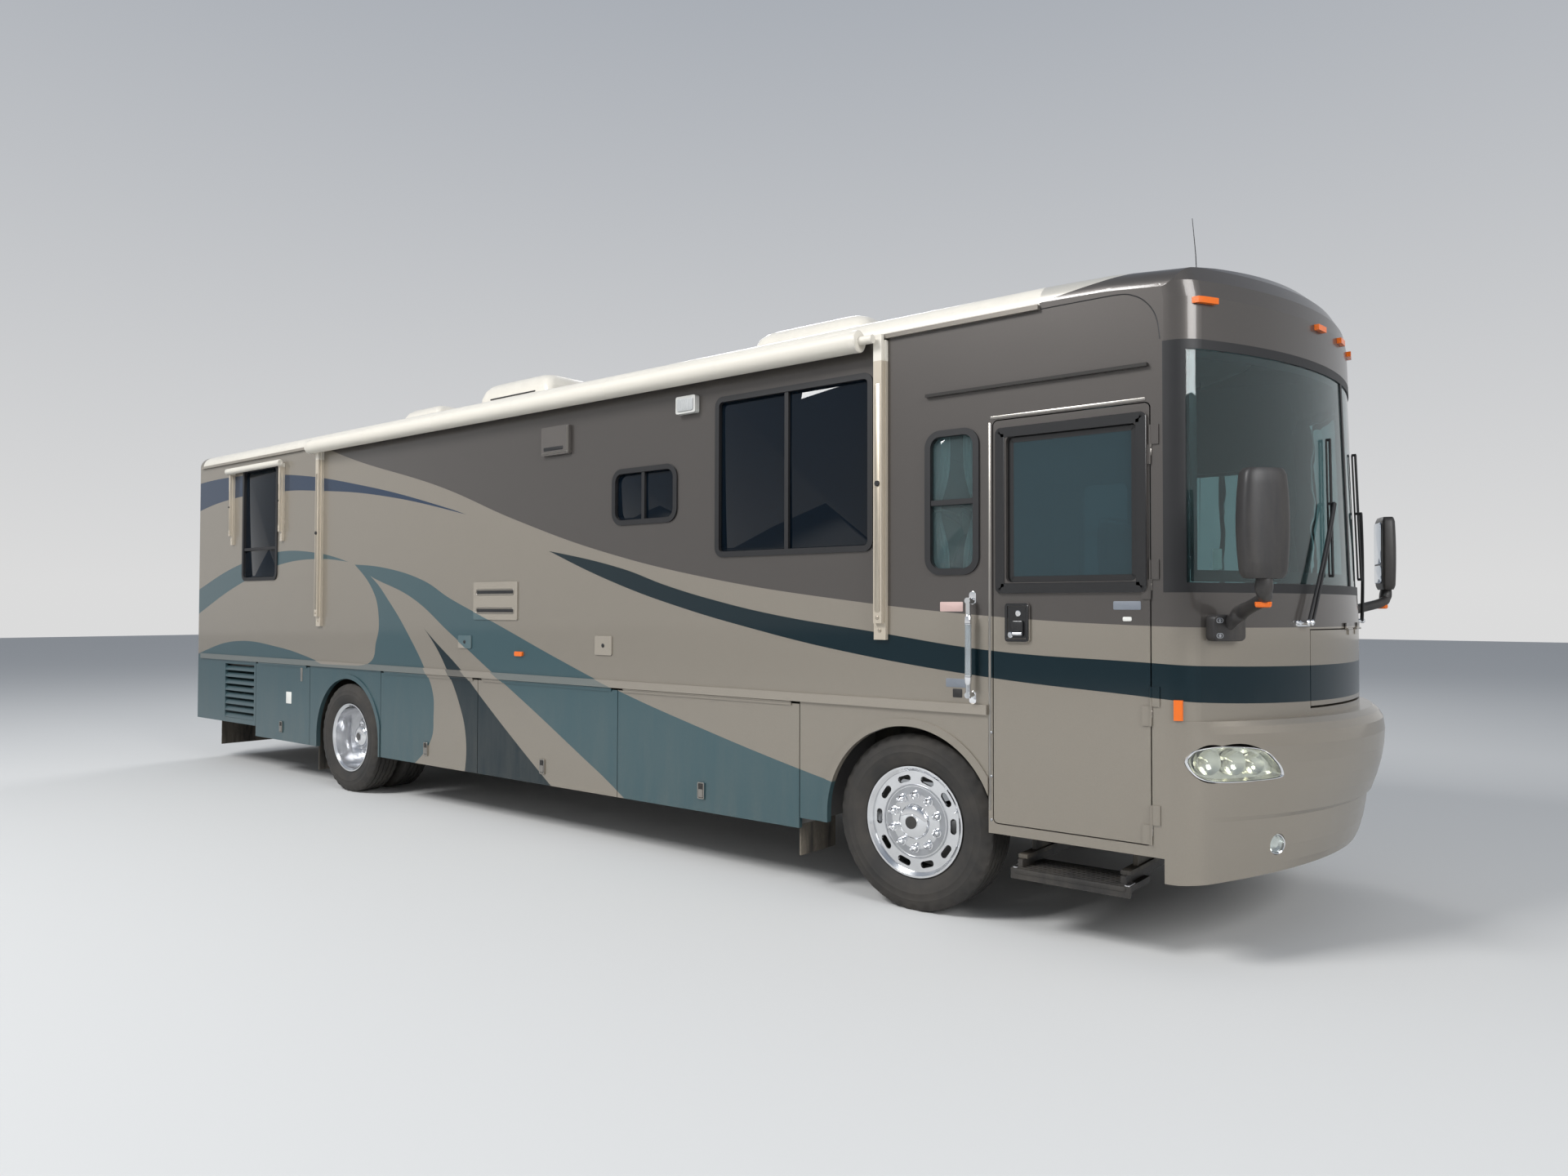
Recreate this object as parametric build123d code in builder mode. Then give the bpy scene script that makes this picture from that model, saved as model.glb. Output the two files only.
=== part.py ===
# Class A motorhome, 11.05 m long: rear engine, one driven axle on twin wheels, one steered axle.
# Millimetres. +X is forward, +Y is the driver's left, +Z is up. The origin is on the ground,
# under the middle of the vehicle, 3.5 m behind the front axle. side is +1 on the driver's side and -1
# on the door side. Places are measured from the front axle, the nose, the rear or the body's side.

from build123d import *
from math import atan2, cos, pi, radians, sin, sqrt
import os

os.makedirs("parts", exist_ok=True)

# Overall sizes
LENGTH = 11050
BODY_WIDTH = 2578
FRONT_AXLE_X = 3500
FRONT_OVERHANG = 2025
WHEELBASE = 5791
WALL = 45
HALF_W = BODY_WIDTH / 2
INNER_W = HALF_W - WALL
FRONT_X = FRONT_AXLE_X + FRONT_OVERHANG
REAR_X = FRONT_X - LENGTH
REAR_AXLE_X = FRONT_AXLE_X - WHEELBASE

# Heights of the body
FLOOR_TOP = 1100
FLOOR_THICK = 70
FLOOR_LOW = FLOOR_TOP - FLOOR_THICK
BELT_LOW = 1087
BELT_HIGH = 1137
SKIRT_LOW = 355
WALL_LOW = 1085
DOOR_SURROUND_LOW = 494
WALL_TOP = 3110
ROOF_SHOULDER = 3235
ROOF_CROWN = 3340
ROOF_THICK = 50
PLAY = 6
SEAT = 0.3

# Lengths along the body
SEAM_X = FRONT_X - 663
CAP_ROOF_X = FRONT_X - 1261
REAR_CAP_X = REAR_X + 215
REAR_FACE_X = REAR_X + 95

# Nose: plan arcs, measured at the belt, and how far it leans back above the dash
NOSE_X = FRONT_X - 125
NOSE_CORNER_X = FRONT_X - 657
NOSE_CORNER = 170
NOSE_DEEP = NOSE_X - NOSE_CORNER_X
NOSE_WIDE = HALF_W - NOSE_CORNER
NOSE_SWEEP = (NOSE_DEEP ** 2 + NOSE_WIDE ** 2 - NOSE_CORNER ** 2) / (2 * (NOSE_DEEP - NOSE_CORNER))
NOSE_THICK = 40
LEAN_START = 1540
LEAN = 0.035
GLASS_LOW = 1700
GLASS_HIGH = 2850

# Wheels
TYRE_R = 475
TYRE_WIDTH = 255
TREAD_WIDTH = 215
BEAD_R = 286
FLANGE_R = 298.5
RIM_WIDTH = 210
FRONT_RIM_Y = HALF_W - 62
REAR_RIM_Y = HALF_W - 28
DUAL_SPACING = 300
ARCH_R = TYRE_R + 50
ARCH_LIP = 42
KINGPIN_Y = FRONT_RIM_Y - 217

# Entry door
DOOR_WIDE = 791
DOOR_FRONT_X = SEAM_X - 60
DOOR_REAR_X = DOOR_FRONT_X - DOOR_WIDE
DOOR_LOW = 549
DOOR_TOP = 2575
DOOR_THICK = 42

# Baggage bays and the rear compartment between the wheels and behind them
BAY_REAR_X = REAR_AXLE_X + 549
BAY_FRONT_X = FRONT_AXLE_X - 728
BAY_SEAMS = [BAY_REAR_X, BAY_REAR_X + 1386, BAY_REAR_X + 2964, BAY_FRONT_X]
REAR_BAY_X0 = REAR_AXLE_X - 1748
REAR_BAY_X1 = REAR_AXLE_X - 668

# Tow hitch under the rear bumper
HITCH_IN = 50.8
HITCH_OUT = 63.5
HITCH_Z = 390
HITCH_GAP = 42
PIN_HOLE_R = 8
BUMPER_LOW = 430

# Hinge barrels, which stand just outside the skin so that a lid swings clear of its frame
BARREL_R = 5
BARREL_PLAY = 0.4
BARREL_OUT = 7
BAGGAGE_BARREL_Z = BELT_LOW - SEAT - BARREL_R

# Slide-out rooms on the driver's side
SLIDE_PLAY = 8
SLIDE_WALL = 35

# Slats of the louvred panels
SLAT_THICK = 5
SLAT_RISE = 0.55


def side_plane(side, proud=0):
    """A sketch plane on one side's skin: across is +X, up is +Z, and side * t goes inward."""
    return Plane(origin=(0, side * (HALF_W + proud), 0), x_dir=(1, 0, 0), z_dir=(0, -1, 0))


def panel(x0, x1, z0, z1, radius=0, mode=Mode.ADD):
    """A rectangle given by its edges, with round corners if a radius is given."""
    with Locations(((x0 + x1) / 2, (z0 + z1) / 2)):
        if radius:
            RectangleRounded(x1 - x0, z1 - z0, radius, mode=mode)
        else:
            Rectangle(x1 - x0, z1 - z0, mode=mode)


def block(x0, x1, y0, y1, z0, z1, mode=Mode.ADD):
    """A box given by its faces."""
    with Locations(((x0 + x1) / 2, (y0 + y1) / 2, (z0 + z1) / 2)):
        Box(abs(x1 - x0), abs(y1 - y0), abs(z1 - z0), mode=mode)


def nose_front(z):
    """How far forward the middle of the nose reaches at a height."""
    return NOSE_X - max(0, z - LEAN_START) * LEAN


def nose_outline(x_back, x_front, corner_x=NOSE_CORNER_X, corner=NOSE_CORNER, inset=0, mode=Mode.ADD):
    """The plan of the nose: straight sides, a corner arc from corner_x on, and the wide front arc."""
    deep = x_front - corner_x
    wide = HALF_W - corner
    sweep = (deep ** 2 + wide ** 2 - corner ** 2) / (2 * (deep - corner))
    half = HALF_W - inset
    front = x_front - inset
    small = corner - inset
    reach = (sweep - inset) / (sweep - corner)
    centre = x_front - sweep
    meet = (centre + (corner_x - centre) * reach, wide * reach)
    turn = (pi / 2 + atan2(meet[1] - wide, meet[0] - corner_x)) / 2
    middle = (corner_x + small * cos(turn), wide + small * sin(turn))
    with BuildLine() as outline:
        Line((x_back, half), (corner_x, half))
        ThreePointArc((corner_x, half), middle, meet)
        ThreePointArc(meet, (front, 0), (meet[0], -meet[1]))
        ThreePointArc((meet[0], -meet[1]), (middle[0], -middle[1]), (corner_x, -half))
        Line((corner_x, -half), (x_back, -half))
        Line((x_back, -half), (x_back, half))
    make_face(outline.edges(), mode=mode)


def roof_outline(low, inset=0, drop=0):
    """The cross-section of the roof and what is under it: walls, shoulder arcs and crown arc."""
    half = HALF_W - inset
    crown = ROOF_CROWN - inset - drop
    shoulder = (half - 95, ROOF_SHOULDER - inset - drop)
    spring = (half, WALL_TOP + 25 - inset * 0.3 - drop)
    middle = (half - 30, ROOF_SHOULDER - inset - 38 - drop)
    with BuildLine() as outline:
        Line((-half, low), (half, low))
        Line((half, low), spring)
        ThreePointArc(spring, middle, shoulder)
        ThreePointArc(shoulder, (0, crown), (-shoulder[0], shoulder[1]))
        ThreePointArc((-shoulder[0], shoulder[1]), (-middle[0], middle[1]), (-half, spring[1]))
        Line((-half, spring[1]), (-half, low))
    make_face(outline.edges())


def barrel(start, end, out, up, leaf):
    """A hinge barrel from start to end, with a leaf that runs from it into the piece that carries it."""
    along = (end - start).normalized()
    with BuildPart() as hinge:
        with BuildSketch(Plane(origin=start, x_dir=up, z_dir=along)):
            Circle(BARREL_R)
        extrude(amount=(end - start).length)
        foot = start + up * (leaf / 2) - out * (BARREL_OUT / 2)
        with BuildSketch(Plane(origin=foot, x_dir=up, z_dir=along)):
            Rectangle(abs(leaf), BARREL_OUT)
        extrude(amount=(end - start).length)
    return hinge.part


def slats(start, out, long, low, high, count, deep):
    """Tilted slats across an opening, outer edges low. start is on the skin at z = 0, at one side."""
    along = Vector(0, 0, 1).cross(out)
    pitch = (high - low) / count
    rise = pitch * SLAT_RISE
    with BuildPart() as bank:
        for row in range(count):
            z = low + row * pitch + SLAT_THICK + 2
            with BuildSketch(Plane(origin=start - along, x_dir=out * -1, z_dir=along)):
                with BuildLine():
                    Polyline((1, z), (1, z - SLAT_THICK), (deep, z + rise - SLAT_THICK), (deep, z + rise),
                             close=True)
                make_face()
            extrude(amount=long + 2)
    return bank.part


def save(part, name):
    """Label a finished piece and write it."""
    part.label = name
    export_step(part, "parts/" + name + ".step")


# Windows: x0, x1, z0, z1, corner radius, upright bar x or None, level bar z or None
RIGHT_WINDOWS = [
    (2108, 3283, 1940, 2933, 60, 2672, None),
    (1162, 1776, 2180, 2560, 90, 1461, None),
    (DOOR_REAR_X - 397, DOOR_REAR_X - 78, 1800, 2560, 90, None, 2180),
    (-4360, -3620, 1890, 3020, 70, None, 2205),
]
LEFT_WINDOWS = [
    (SEAM_X - 862, SEAM_X - 72, 1740, 2560, 90, SEAM_X - 467, None),
    (3390, 3790, 1800, 2560, 90, None, 2180),
    (-1780, -1280, 2180, 2560, 90, None, 2370),
]
WINDOW_LAP = 14
WINDOW_RING = 34
WINDOW_BAR = 28
WINDOW_PROUD = 10
WINDOW_DEEP = 34
PANE = 6
PANE_DEEP = 14

# Slide-out rooms: name, x0, x1, z0, z1, travel, window x0, x1, z0, z1, bar x
SLIDES = [
    ("living_slide", -700, 3200, 1185, 2960, 600, 300, 2300, 1900, 2600, 1300),
    ("bedroom_slide", -4500, -2350, 1185, 2860, 550, -4000, -2900, 1980, 2560, -3450),
]
SLIDE_BEHIND = 160
FASCIA_LAP = 38
FASCIA_THICK = 20
FASCIA_OFF = 5

DOOR_BARREL_X = DOOR_FRONT_X + PLAY / 2
DOOR_HINGES = [640, 1180, 1760, DOOR_TOP - 195]
DOOR_HINGE_LONG = 90
ACROSS_DOOR = Vector(0, -1, 0)


def cut_windows(rows):
    """The window holes of one side."""
    for x0, x1, z0, z1, radius, _, _ in rows:
        panel(x0 + WINDOW_LAP, x1 - WINDOW_LAP, z0 + WINDOW_LAP, z1 - WINDOW_LAP, radius - WINDOW_LAP,
              mode=Mode.SUBTRACT)


# Side walls, with their windows, doorway and slide-out openings cut through
CAP_CORNER_R = 250
with BuildPart() as right_wall:
    with BuildSketch(side_plane(-1)):
        with BuildLine():
            Line((REAR_CAP_X, WALL_LOW), (DOOR_REAR_X - 29, WALL_LOW))
            Line((DOOR_REAR_X - 29, WALL_LOW), (DOOR_REAR_X - 29, DOOR_SURROUND_LOW))
            Line((DOOR_REAR_X - 29, DOOR_SURROUND_LOW), (SEAM_X, DOOR_SURROUND_LOW))
            Line((SEAM_X, DOOR_SURROUND_LOW), (SEAM_X, WALL_TOP - CAP_CORNER_R))
            JernArc((SEAM_X, WALL_TOP - CAP_CORNER_R), (0, 1), CAP_CORNER_R, 90)
            Line((SEAM_X - CAP_CORNER_R, WALL_TOP), (REAR_CAP_X, WALL_TOP))
            Line((REAR_CAP_X, WALL_TOP), (REAR_CAP_X, WALL_LOW))
        make_face()
        cut_windows(RIGHT_WINDOWS)
        panel(DOOR_REAR_X - PLAY, DOOR_FRONT_X + PLAY, DOOR_LOW - PLAY, DOOR_TOP + PLAY, 30,
              mode=Mode.SUBTRACT)
    extrude(amount=-WALL)
    for z in DOOR_HINGES:
        start = Vector(DOOR_BARREL_X, -HALF_W - BARREL_OUT, z + BARREL_PLAY)
        add(barrel(start, start + Vector(0, 0, DOOR_HINGE_LONG), ACROSS_DOOR, Vector(1, 0, 0), 40))
save(right_wall.part, "right_wall")

with BuildPart() as left_wall:
    with BuildSketch(side_plane(1)):
        with BuildLine():
            Line((REAR_CAP_X, WALL_LOW), (SEAM_X, WALL_LOW))
            Line((SEAM_X, WALL_LOW), (SEAM_X, WALL_TOP - CAP_CORNER_R))
            JernArc((SEAM_X, WALL_TOP - CAP_CORNER_R), (0, 1), CAP_CORNER_R, 90)
            Line((SEAM_X - CAP_CORNER_R, WALL_TOP), (REAR_CAP_X, WALL_TOP))
            Line((REAR_CAP_X, WALL_TOP), (REAR_CAP_X, WALL_LOW))
        make_face()
        cut_windows(LEFT_WINDOWS)
        for _, x0, x1, z0, z1, *_ in SLIDES:
            panel(x0, x1, z0, z1, mode=Mode.SUBTRACT)
    extrude(amount=WALL)
save(left_wall.part, "left_wall")

# Fixed windows: a ring that laps the wall, its bars, and the panes behind the bars
with BuildPart() as window_frames:
    for side, rows in ((-1, RIGHT_WINDOWS), (1, LEFT_WINDOWS)):
        for x0, x1, z0, z1, radius, bar_x, bar_z in rows:
            lap = WINDOW_LAP + SEAT
            ring = WINDOW_RING
            with BuildSketch(side_plane(side, SEAT)):
                panel(x0, x1, z0, z1, radius)
                panel(x0 + ring, x1 - ring, z0 + ring, z1 - ring, radius - ring, mode=Mode.SUBTRACT)
            extrude(amount=-side * WINDOW_PROUD)
            with BuildSketch(side_plane(side, SEAT)):
                panel(x0 + lap, x1 - lap, z0 + lap, z1 - lap, radius - lap)
                panel(x0 + ring, x1 - ring, z0 + ring, z1 - ring, radius - ring, mode=Mode.SUBTRACT)
            extrude(amount=side * WINDOW_DEEP)
            with BuildSketch(side_plane(side, WINDOW_PROUD / 2)):
                if bar_x:
                    panel(bar_x - WINDOW_BAR / 2, bar_x + WINDOW_BAR / 2, z0 + ring - 1, z1 - ring + 1)
                if bar_z:
                    panel(x0 + ring - 1, x1 - ring + 1, bar_z - WINDOW_BAR / 2, bar_z + WINDOW_BAR / 2)
            extrude(amount=side * (PANE_DEEP + WINDOW_PROUD / 2 - SEAT))
save(window_frames.part, "window_frames")

with BuildPart() as window_glass:
    for side, rows in ((-1, RIGHT_WINDOWS), (1, LEFT_WINDOWS)):
        for x0, x1, z0, z1, radius, _, _ in rows:
            edge = WINDOW_RING + SEAT
            with BuildSketch(side_plane(side, -PANE_DEEP)):
                panel(x0 + edge, x1 - edge, z0 + edge, z1 - edge, radius - edge)
            extrude(amount=side * PANE)
save(window_glass.part, "window_glass")

# Roof, from the rear cap to the front cap
with BuildPart() as roof:
    with BuildSketch(Plane.YZ.offset(REAR_CAP_X)):
        roof_outline(WALL_TOP)
    extrude(amount=CAP_ROOF_X - REAR_CAP_X)
    with BuildSketch(Plane.YZ.offset(REAR_CAP_X)):
        roof_outline(WALL_TOP, ROOF_THICK)
    extrude(amount=CAP_ROOF_X - REAR_CAP_X, mode=Mode.SUBTRACT)
save(roof.part, "roof")

# Front cap: the painted brow over the windshield. Above BROW_Z its front rolls back over the cab
# roof along a quarter ellipse, made of slices that are BROW_STEP degrees apart
BROW_Z = 3045
BROW_TOP = 3345
BROW_DEEP = 430
BROW_STEP = 15
# The space inside is cut a little wide, so that the roof's section trims its sides
BROW_TRIM = 0.97
# How far the cap's roof has fallen at a place on its way to the front
CAP_FALL = [(FRONT_X - 925, 8), (FRONT_X - 500, 48), (FRONT_X, 140)]


def brow(inset, x_back):
    """The brow's front as a solid, or with an inset the space inside it."""
    rows = [(GLASS_HIGH, 0), (BROW_Z, 0)]
    for turn in range(BROW_STEP, 91, BROW_STEP):
        rows.append((BROW_Z + (BROW_TOP - BROW_Z) * sin(radians(turn)), BROW_DEEP * (1 - cos(radians(turn)))))
    with BuildPart() as shape:
        for z, back in rows:
            front = nose_front(min(z, BROW_Z)) - back
            with BuildSketch(Plane.XY.offset(z - inset)):
                nose_outline(x_back, front, NOSE_CORNER_X - back, inset=inset * BROW_TRIM)
        loft(ruled=True)
    return shape.part


def cap_roof(inset, x_back):
    """What is under the cap's own roof, or with an inset the space inside it."""
    with BuildPart() as shape:
        for x, drop in [(x_back, 0), *CAP_FALL]:
            with BuildSketch(Plane.YZ.offset(x)):
                roof_outline(GLASS_HIGH - inset - 5, inset, drop)
        loft(ruled=True)
    return shape.part


CAP_INSIDE_X = CAP_ROOF_X - 100
cap_solid = brow(0, CAP_ROOF_X) & cap_roof(0, CAP_ROOF_X)
cap_space = brow(NOSE_THICK, CAP_INSIDE_X) & cap_roof(NOSE_THICK, CAP_INSIDE_X)
with BuildPart() as front_cap:
    add(cap_solid)
    add(cap_space, mode=Mode.SUBTRACT)
    with BuildSketch(Plane.XZ.offset(-HALF_W - 50)):
        with BuildLine():
            Line((CAP_ROOF_X - 200, GLASS_HIGH - 50), (SEAM_X, GLASS_HIGH - 50))
            Line((SEAM_X, GLASS_HIGH - 50), (SEAM_X, WALL_TOP - CAP_CORNER_R))
            JernArc((SEAM_X, WALL_TOP - CAP_CORNER_R), (0, 1), CAP_CORNER_R, 90)
            Line((SEAM_X - CAP_CORNER_R, WALL_TOP), (CAP_ROOF_X - 200, WALL_TOP))
            Line((CAP_ROOF_X - 200, WALL_TOP), (CAP_ROOF_X - 200, GLASS_HIGH - 50))
        make_face()
    extrude(amount=2 * HALF_W + 100, mode=Mode.SUBTRACT)
save(front_cap.part, "front_cap")

# Windshield frame: the dark pillars, top and bottom rails and the centre post
PILLAR_X = SEAM_X + 95
FRAME_RAIL = 45
POST_HALF = 18
GLASS_EDGE = 6


def nose_shell(low, high, x_back, inset, thick):
    """A slice of the leaning nose, hollow, between two heights."""
    with BuildPart() as shell:
        for z in (low, high):
            with BuildSketch(Plane.XY.offset(z)):
                nose_outline(x_back, nose_front(z), inset=inset)
        loft(ruled=True)
        for z in (low, high):
            with BuildSketch(Plane.XY.offset(z)):
                nose_outline(x_back - 50, nose_front(z), inset=inset + thick)
        loft(ruled=True, mode=Mode.SUBTRACT)
    return shell.part


pillar_shell = nose_shell(GLASS_LOW, GLASS_HIGH, SEAM_X, 0, NOSE_THICK)
with BuildPart() as windshield_frame:
    add(pillar_shell)
    for side in (-1, 1):
        block(PILLAR_X, FRONT_X, side * POST_HALF, side * HALF_W, GLASS_LOW + FRAME_RAIL,
              GLASS_HIGH - FRAME_RAIL, mode=Mode.SUBTRACT)
save(windshield_frame.part, "windshield_frame")

pane_shell = nose_shell(GLASS_LOW + FRAME_RAIL + SEAT, GLASS_HIGH - FRAME_RAIL - SEAT, SEAM_X,
                        GLASS_EDGE, PANE + 2)
with BuildPart() as windshield:
    add(pane_shell)
    block(SEAM_X - 10, PILLAR_X + SEAT, -HALF_W, HALF_W, GLASS_LOW, GLASS_HIGH, mode=Mode.SUBTRACT)
    block(SEAM_X, FRONT_X, -POST_HALF - SEAT, POST_HALF + SEAT, GLASS_LOW, GLASS_HIGH, mode=Mode.SUBTRACT)
save(windshield.part, "windshield")

# Front fascia: the nose under the glass, the bumper's shelf and swell, and the chin that tucks in under
# a level crease. Rows: height, how far the middle of the front stands behind the foremost point
SHELF_Z = 1118
FASCIA_LOW = 382
FASCIA_RISE = 0.07
BUMPER_CORNER = 200
BUMPER_ROWS = [(FASCIA_LOW - 5, 165), (450, 132), (530, 110), (610, 96), (665, 90), (685, 66), (760, 40),
               (840, 18), (920, 5), (1000, 0), (1060, 8), (1095, 30), (SHELF_Z, 62)]
HOOD_HALF = 575
HOOD_BACK_X = NOSE_X - 225
HOOD_LOW = 1150
HOOD_HIGH = 1530
HOOD_PLAY = 6
HOOD_LIFT = 11
HOOD_THICK = 14
HOOD_HINGE_Y = 110
HOOD_HINGE_LONG = 60
FORWARD = Vector(1, 0, 0)
UP = Vector(0, 0, 1)

with BuildPart() as fascia_solid:
    for z in (SHELF_Z, LEAN_START, GLASS_LOW):
        with BuildSketch(Plane.XY.offset(z)):
            nose_outline(SEAM_X, nose_front(z))
    loft(ruled=True)
    for z, back in BUMPER_ROWS:
        with BuildSketch(Plane.XY.offset(z)):
            nose_outline(SEAM_X, FRONT_X - back, corner=BUMPER_CORNER)
    loft(ruled=True)

with BuildPart() as fascia_hollow:
    for z in (SHELF_Z - NOSE_THICK, LEAN_START, GLASS_LOW + 10):
        with BuildSketch(Plane.XY.offset(z)):
            nose_outline(SEAM_X - 50, nose_front(z), inset=NOSE_THICK)
    loft(ruled=True)
    for z, back in BUMPER_ROWS:
        with BuildSketch(Plane.XY.offset(z - NOSE_THICK)):
            nose_outline(SEAM_X - 50, FRONT_X - back, corner=BUMPER_CORNER, inset=NOSE_THICK)
    loft(ruled=True)

# Headlights: a long lens that wraps each corner, blunt behind and pointed towards the middle.
# Its ends are two points on the skin, and its outline is drawn about their midpoint
LAMP_REAR = (FRONT_X - 579, HALF_W - 16)
LAMP_FRONT = (FRONT_X - 259, HALF_W - 405)
LAMP_Z = 925
LAMP_DEEP = 330


def lamp_outline(grow=0):
    """The outline of one headlight: across is towards the middle of the nose and up is up."""
    with BuildLine() as outline:
        ThreePointArc((-252 - grow, 10), (-200, 68 + grow), (-80, 82 + grow))
        ThreePointArc((-80, 82 + grow), (120, 66 + grow), (252 + grow, -50))
        Line((252 + grow, -50), (228 + grow, -72 - grow))
        Line((228 + grow, -72 - grow), (-100, -82 - grow))
        ThreePointArc((-100, -82 - grow), (-205, -56 - grow), (-252 - grow, 10))
    make_face(outline.edges())


def lamp_plane(side):
    """An upright plane outside the nose corner, square to the line between the headlight's ends."""
    rear = Vector(LAMP_REAR[0], side * LAMP_REAR[1], LAMP_Z)
    front = Vector(LAMP_FRONT[0], side * LAMP_FRONT[1], LAMP_Z)
    across = (front - rear).normalized()
    out = Vector(abs(across.Y), side * abs(across.X), 0)
    return Plane(origin=(rear + front) * 0.5 + out * 200, x_dir=across, z_dir=out)


# Fog lamps: round, set back in a hole square to the skin
FOG_X, FOG_Y, FOG_Z, FOG_R = FRONT_X - 289, HALF_W - 437, 537, 50
FOG_OUT = Vector(0.80, 0.60, 0)
FOG_BACK = 45
FOG_LONG = 25


def fog_plane(side, back):
    """A plane square to a fog lamp, some way behind the skin."""
    out = Vector(FOG_OUT.X, side * FOG_OUT.Y, 0)
    return Plane(origin=Vector(FOG_X, side * FOG_Y, FOG_Z) - out * back, z_dir=out)


with BuildPart() as front_fascia:
    add(fascia_solid.part)
    add(fascia_hollow.part, mode=Mode.SUBTRACT)
    with BuildSketch(Plane.XZ.offset(-HALF_W - 50)):
        with BuildLine():
            Polyline((SEAM_X - 60, FASCIA_LOW - 60), (SEAM_X - 60, FASCIA_LOW), (SEAM_X + 60, FASCIA_LOW),
                     (FRONT_X, FASCIA_LOW + (FRONT_X - 60 - SEAM_X) * FASCIA_RISE), (FRONT_X, FASCIA_LOW - 60),
                     close=True)
        make_face()
    extrude(amount=2 * HALF_W + 100, mode=Mode.SUBTRACT)
    block(HOOD_BACK_X, FRONT_X, -HOOD_HALF, HOOD_HALF, HOOD_LOW, HOOD_HIGH, mode=Mode.SUBTRACT)
    for side in (-1, 1):
        with BuildSketch(lamp_plane(side)):
            lamp_outline(SEAT)
        extrude(amount=-LAMP_DEEP, mode=Mode.SUBTRACT)
        with BuildSketch(fog_plane(side, 150)):
            Circle(FOG_R)
        extrude(amount=300, mode=Mode.SUBTRACT)
        start = Vector(NOSE_X + BARREL_OUT, side * (HOOD_HINGE_Y + BARREL_PLAY), HOOD_HIGH - PLAY / 2)
        add(barrel(start, start + Vector(0, side * HOOD_HINGE_LONG, 0), FORWARD * 2, UP, 30))
save(front_fascia.part, "front_fascia")

with BuildPart() as headlights:
    for side in (-1, 1):
        with BuildSketch(lamp_plane(side)):
            lamp_outline()
        extrude(amount=-LAMP_DEEP)
    add(fascia_solid.part, mode=Mode.INTERSECT)
    add(fascia_hollow.part, mode=Mode.SUBTRACT)
    for side in (-1, 1):
        with BuildSketch(fog_plane(side, FOG_BACK)):
            Circle(FOG_R - SEAT)
        extrude(amount=FOG_LONG)
save(headlights.part, "headlights")

# Service hood in the middle of the nose
with BuildPart() as front_hood:
    with BuildSketch(Plane.XY.offset(HOOD_LOW + HOOD_LIFT)):
        nose_outline(SEAM_X, NOSE_X)
        nose_outline(SEAM_X - 10, NOSE_X, inset=HOOD_THICK, mode=Mode.SUBTRACT)
    extrude(amount=HOOD_HIGH - HOOD_PLAY - HOOD_LOW - HOOD_LIFT)
    block(HOOD_BACK_X, FRONT_X, -HOOD_HALF + HOOD_PLAY, HOOD_HALF - HOOD_PLAY, HOOD_LOW, HOOD_HIGH,
          mode=Mode.INTERSECT)
    for side in (-1, 1):
        start = Vector(NOSE_X + BARREL_OUT, side * HOOD_HINGE_Y, HOOD_HIGH - PLAY / 2)
        add(barrel(start, start - Vector(0, side * HOOD_HINGE_LONG, 0), FORWARD * 2, UP, -30))
save(front_hood.part, "front_hood")

# Rear cap with the engine doorway
ENGINE_DOOR_HALF = HALF_W - 569
ENGINE_DOOR_LOW = 730
ENGINE_DOOR_HIGH = 1560
REAR_CAP_LOW = 454
ENGINE_HINGE_Y = ENGINE_DOOR_HALF - 240
ENGINE_HINGE_LONG = 90
with BuildPart() as rear_cap:
    with BuildSketch(Plane.YZ.offset(REAR_FACE_X)):
        roof_outline(REAR_CAP_LOW)
    extrude(amount=REAR_CAP_X - REAR_FACE_X)
    fillet(rear_cap.faces().sort_by(Axis.X)[0].edges().sort_by(Axis.Z)[1:], 60)
    with BuildSketch(Plane.YZ.offset(REAR_FACE_X + WALL)):
        roof_outline(REAR_CAP_LOW - 10, WALL)
    extrude(amount=REAR_CAP_X - REAR_FACE_X, mode=Mode.SUBTRACT)
    block(REAR_FACE_X - 10, REAR_FACE_X + WALL + 10, -ENGINE_DOOR_HALF - PLAY, ENGINE_DOOR_HALF + PLAY,
          ENGINE_DOOR_LOW - PLAY, ENGINE_DOOR_HIGH + PLAY, mode=Mode.SUBTRACT)
    for side in (-1, 1):
        start = Vector(REAR_FACE_X - BARREL_OUT, side * (ENGINE_HINGE_Y + BARREL_PLAY),
                       ENGINE_DOOR_HIGH + PLAY / 2)
        add(barrel(start, start + Vector(0, side * ENGINE_HINGE_LONG, 0), FORWARD * -1, UP, 40))
save(rear_cap.part, "rear_cap")

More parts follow.
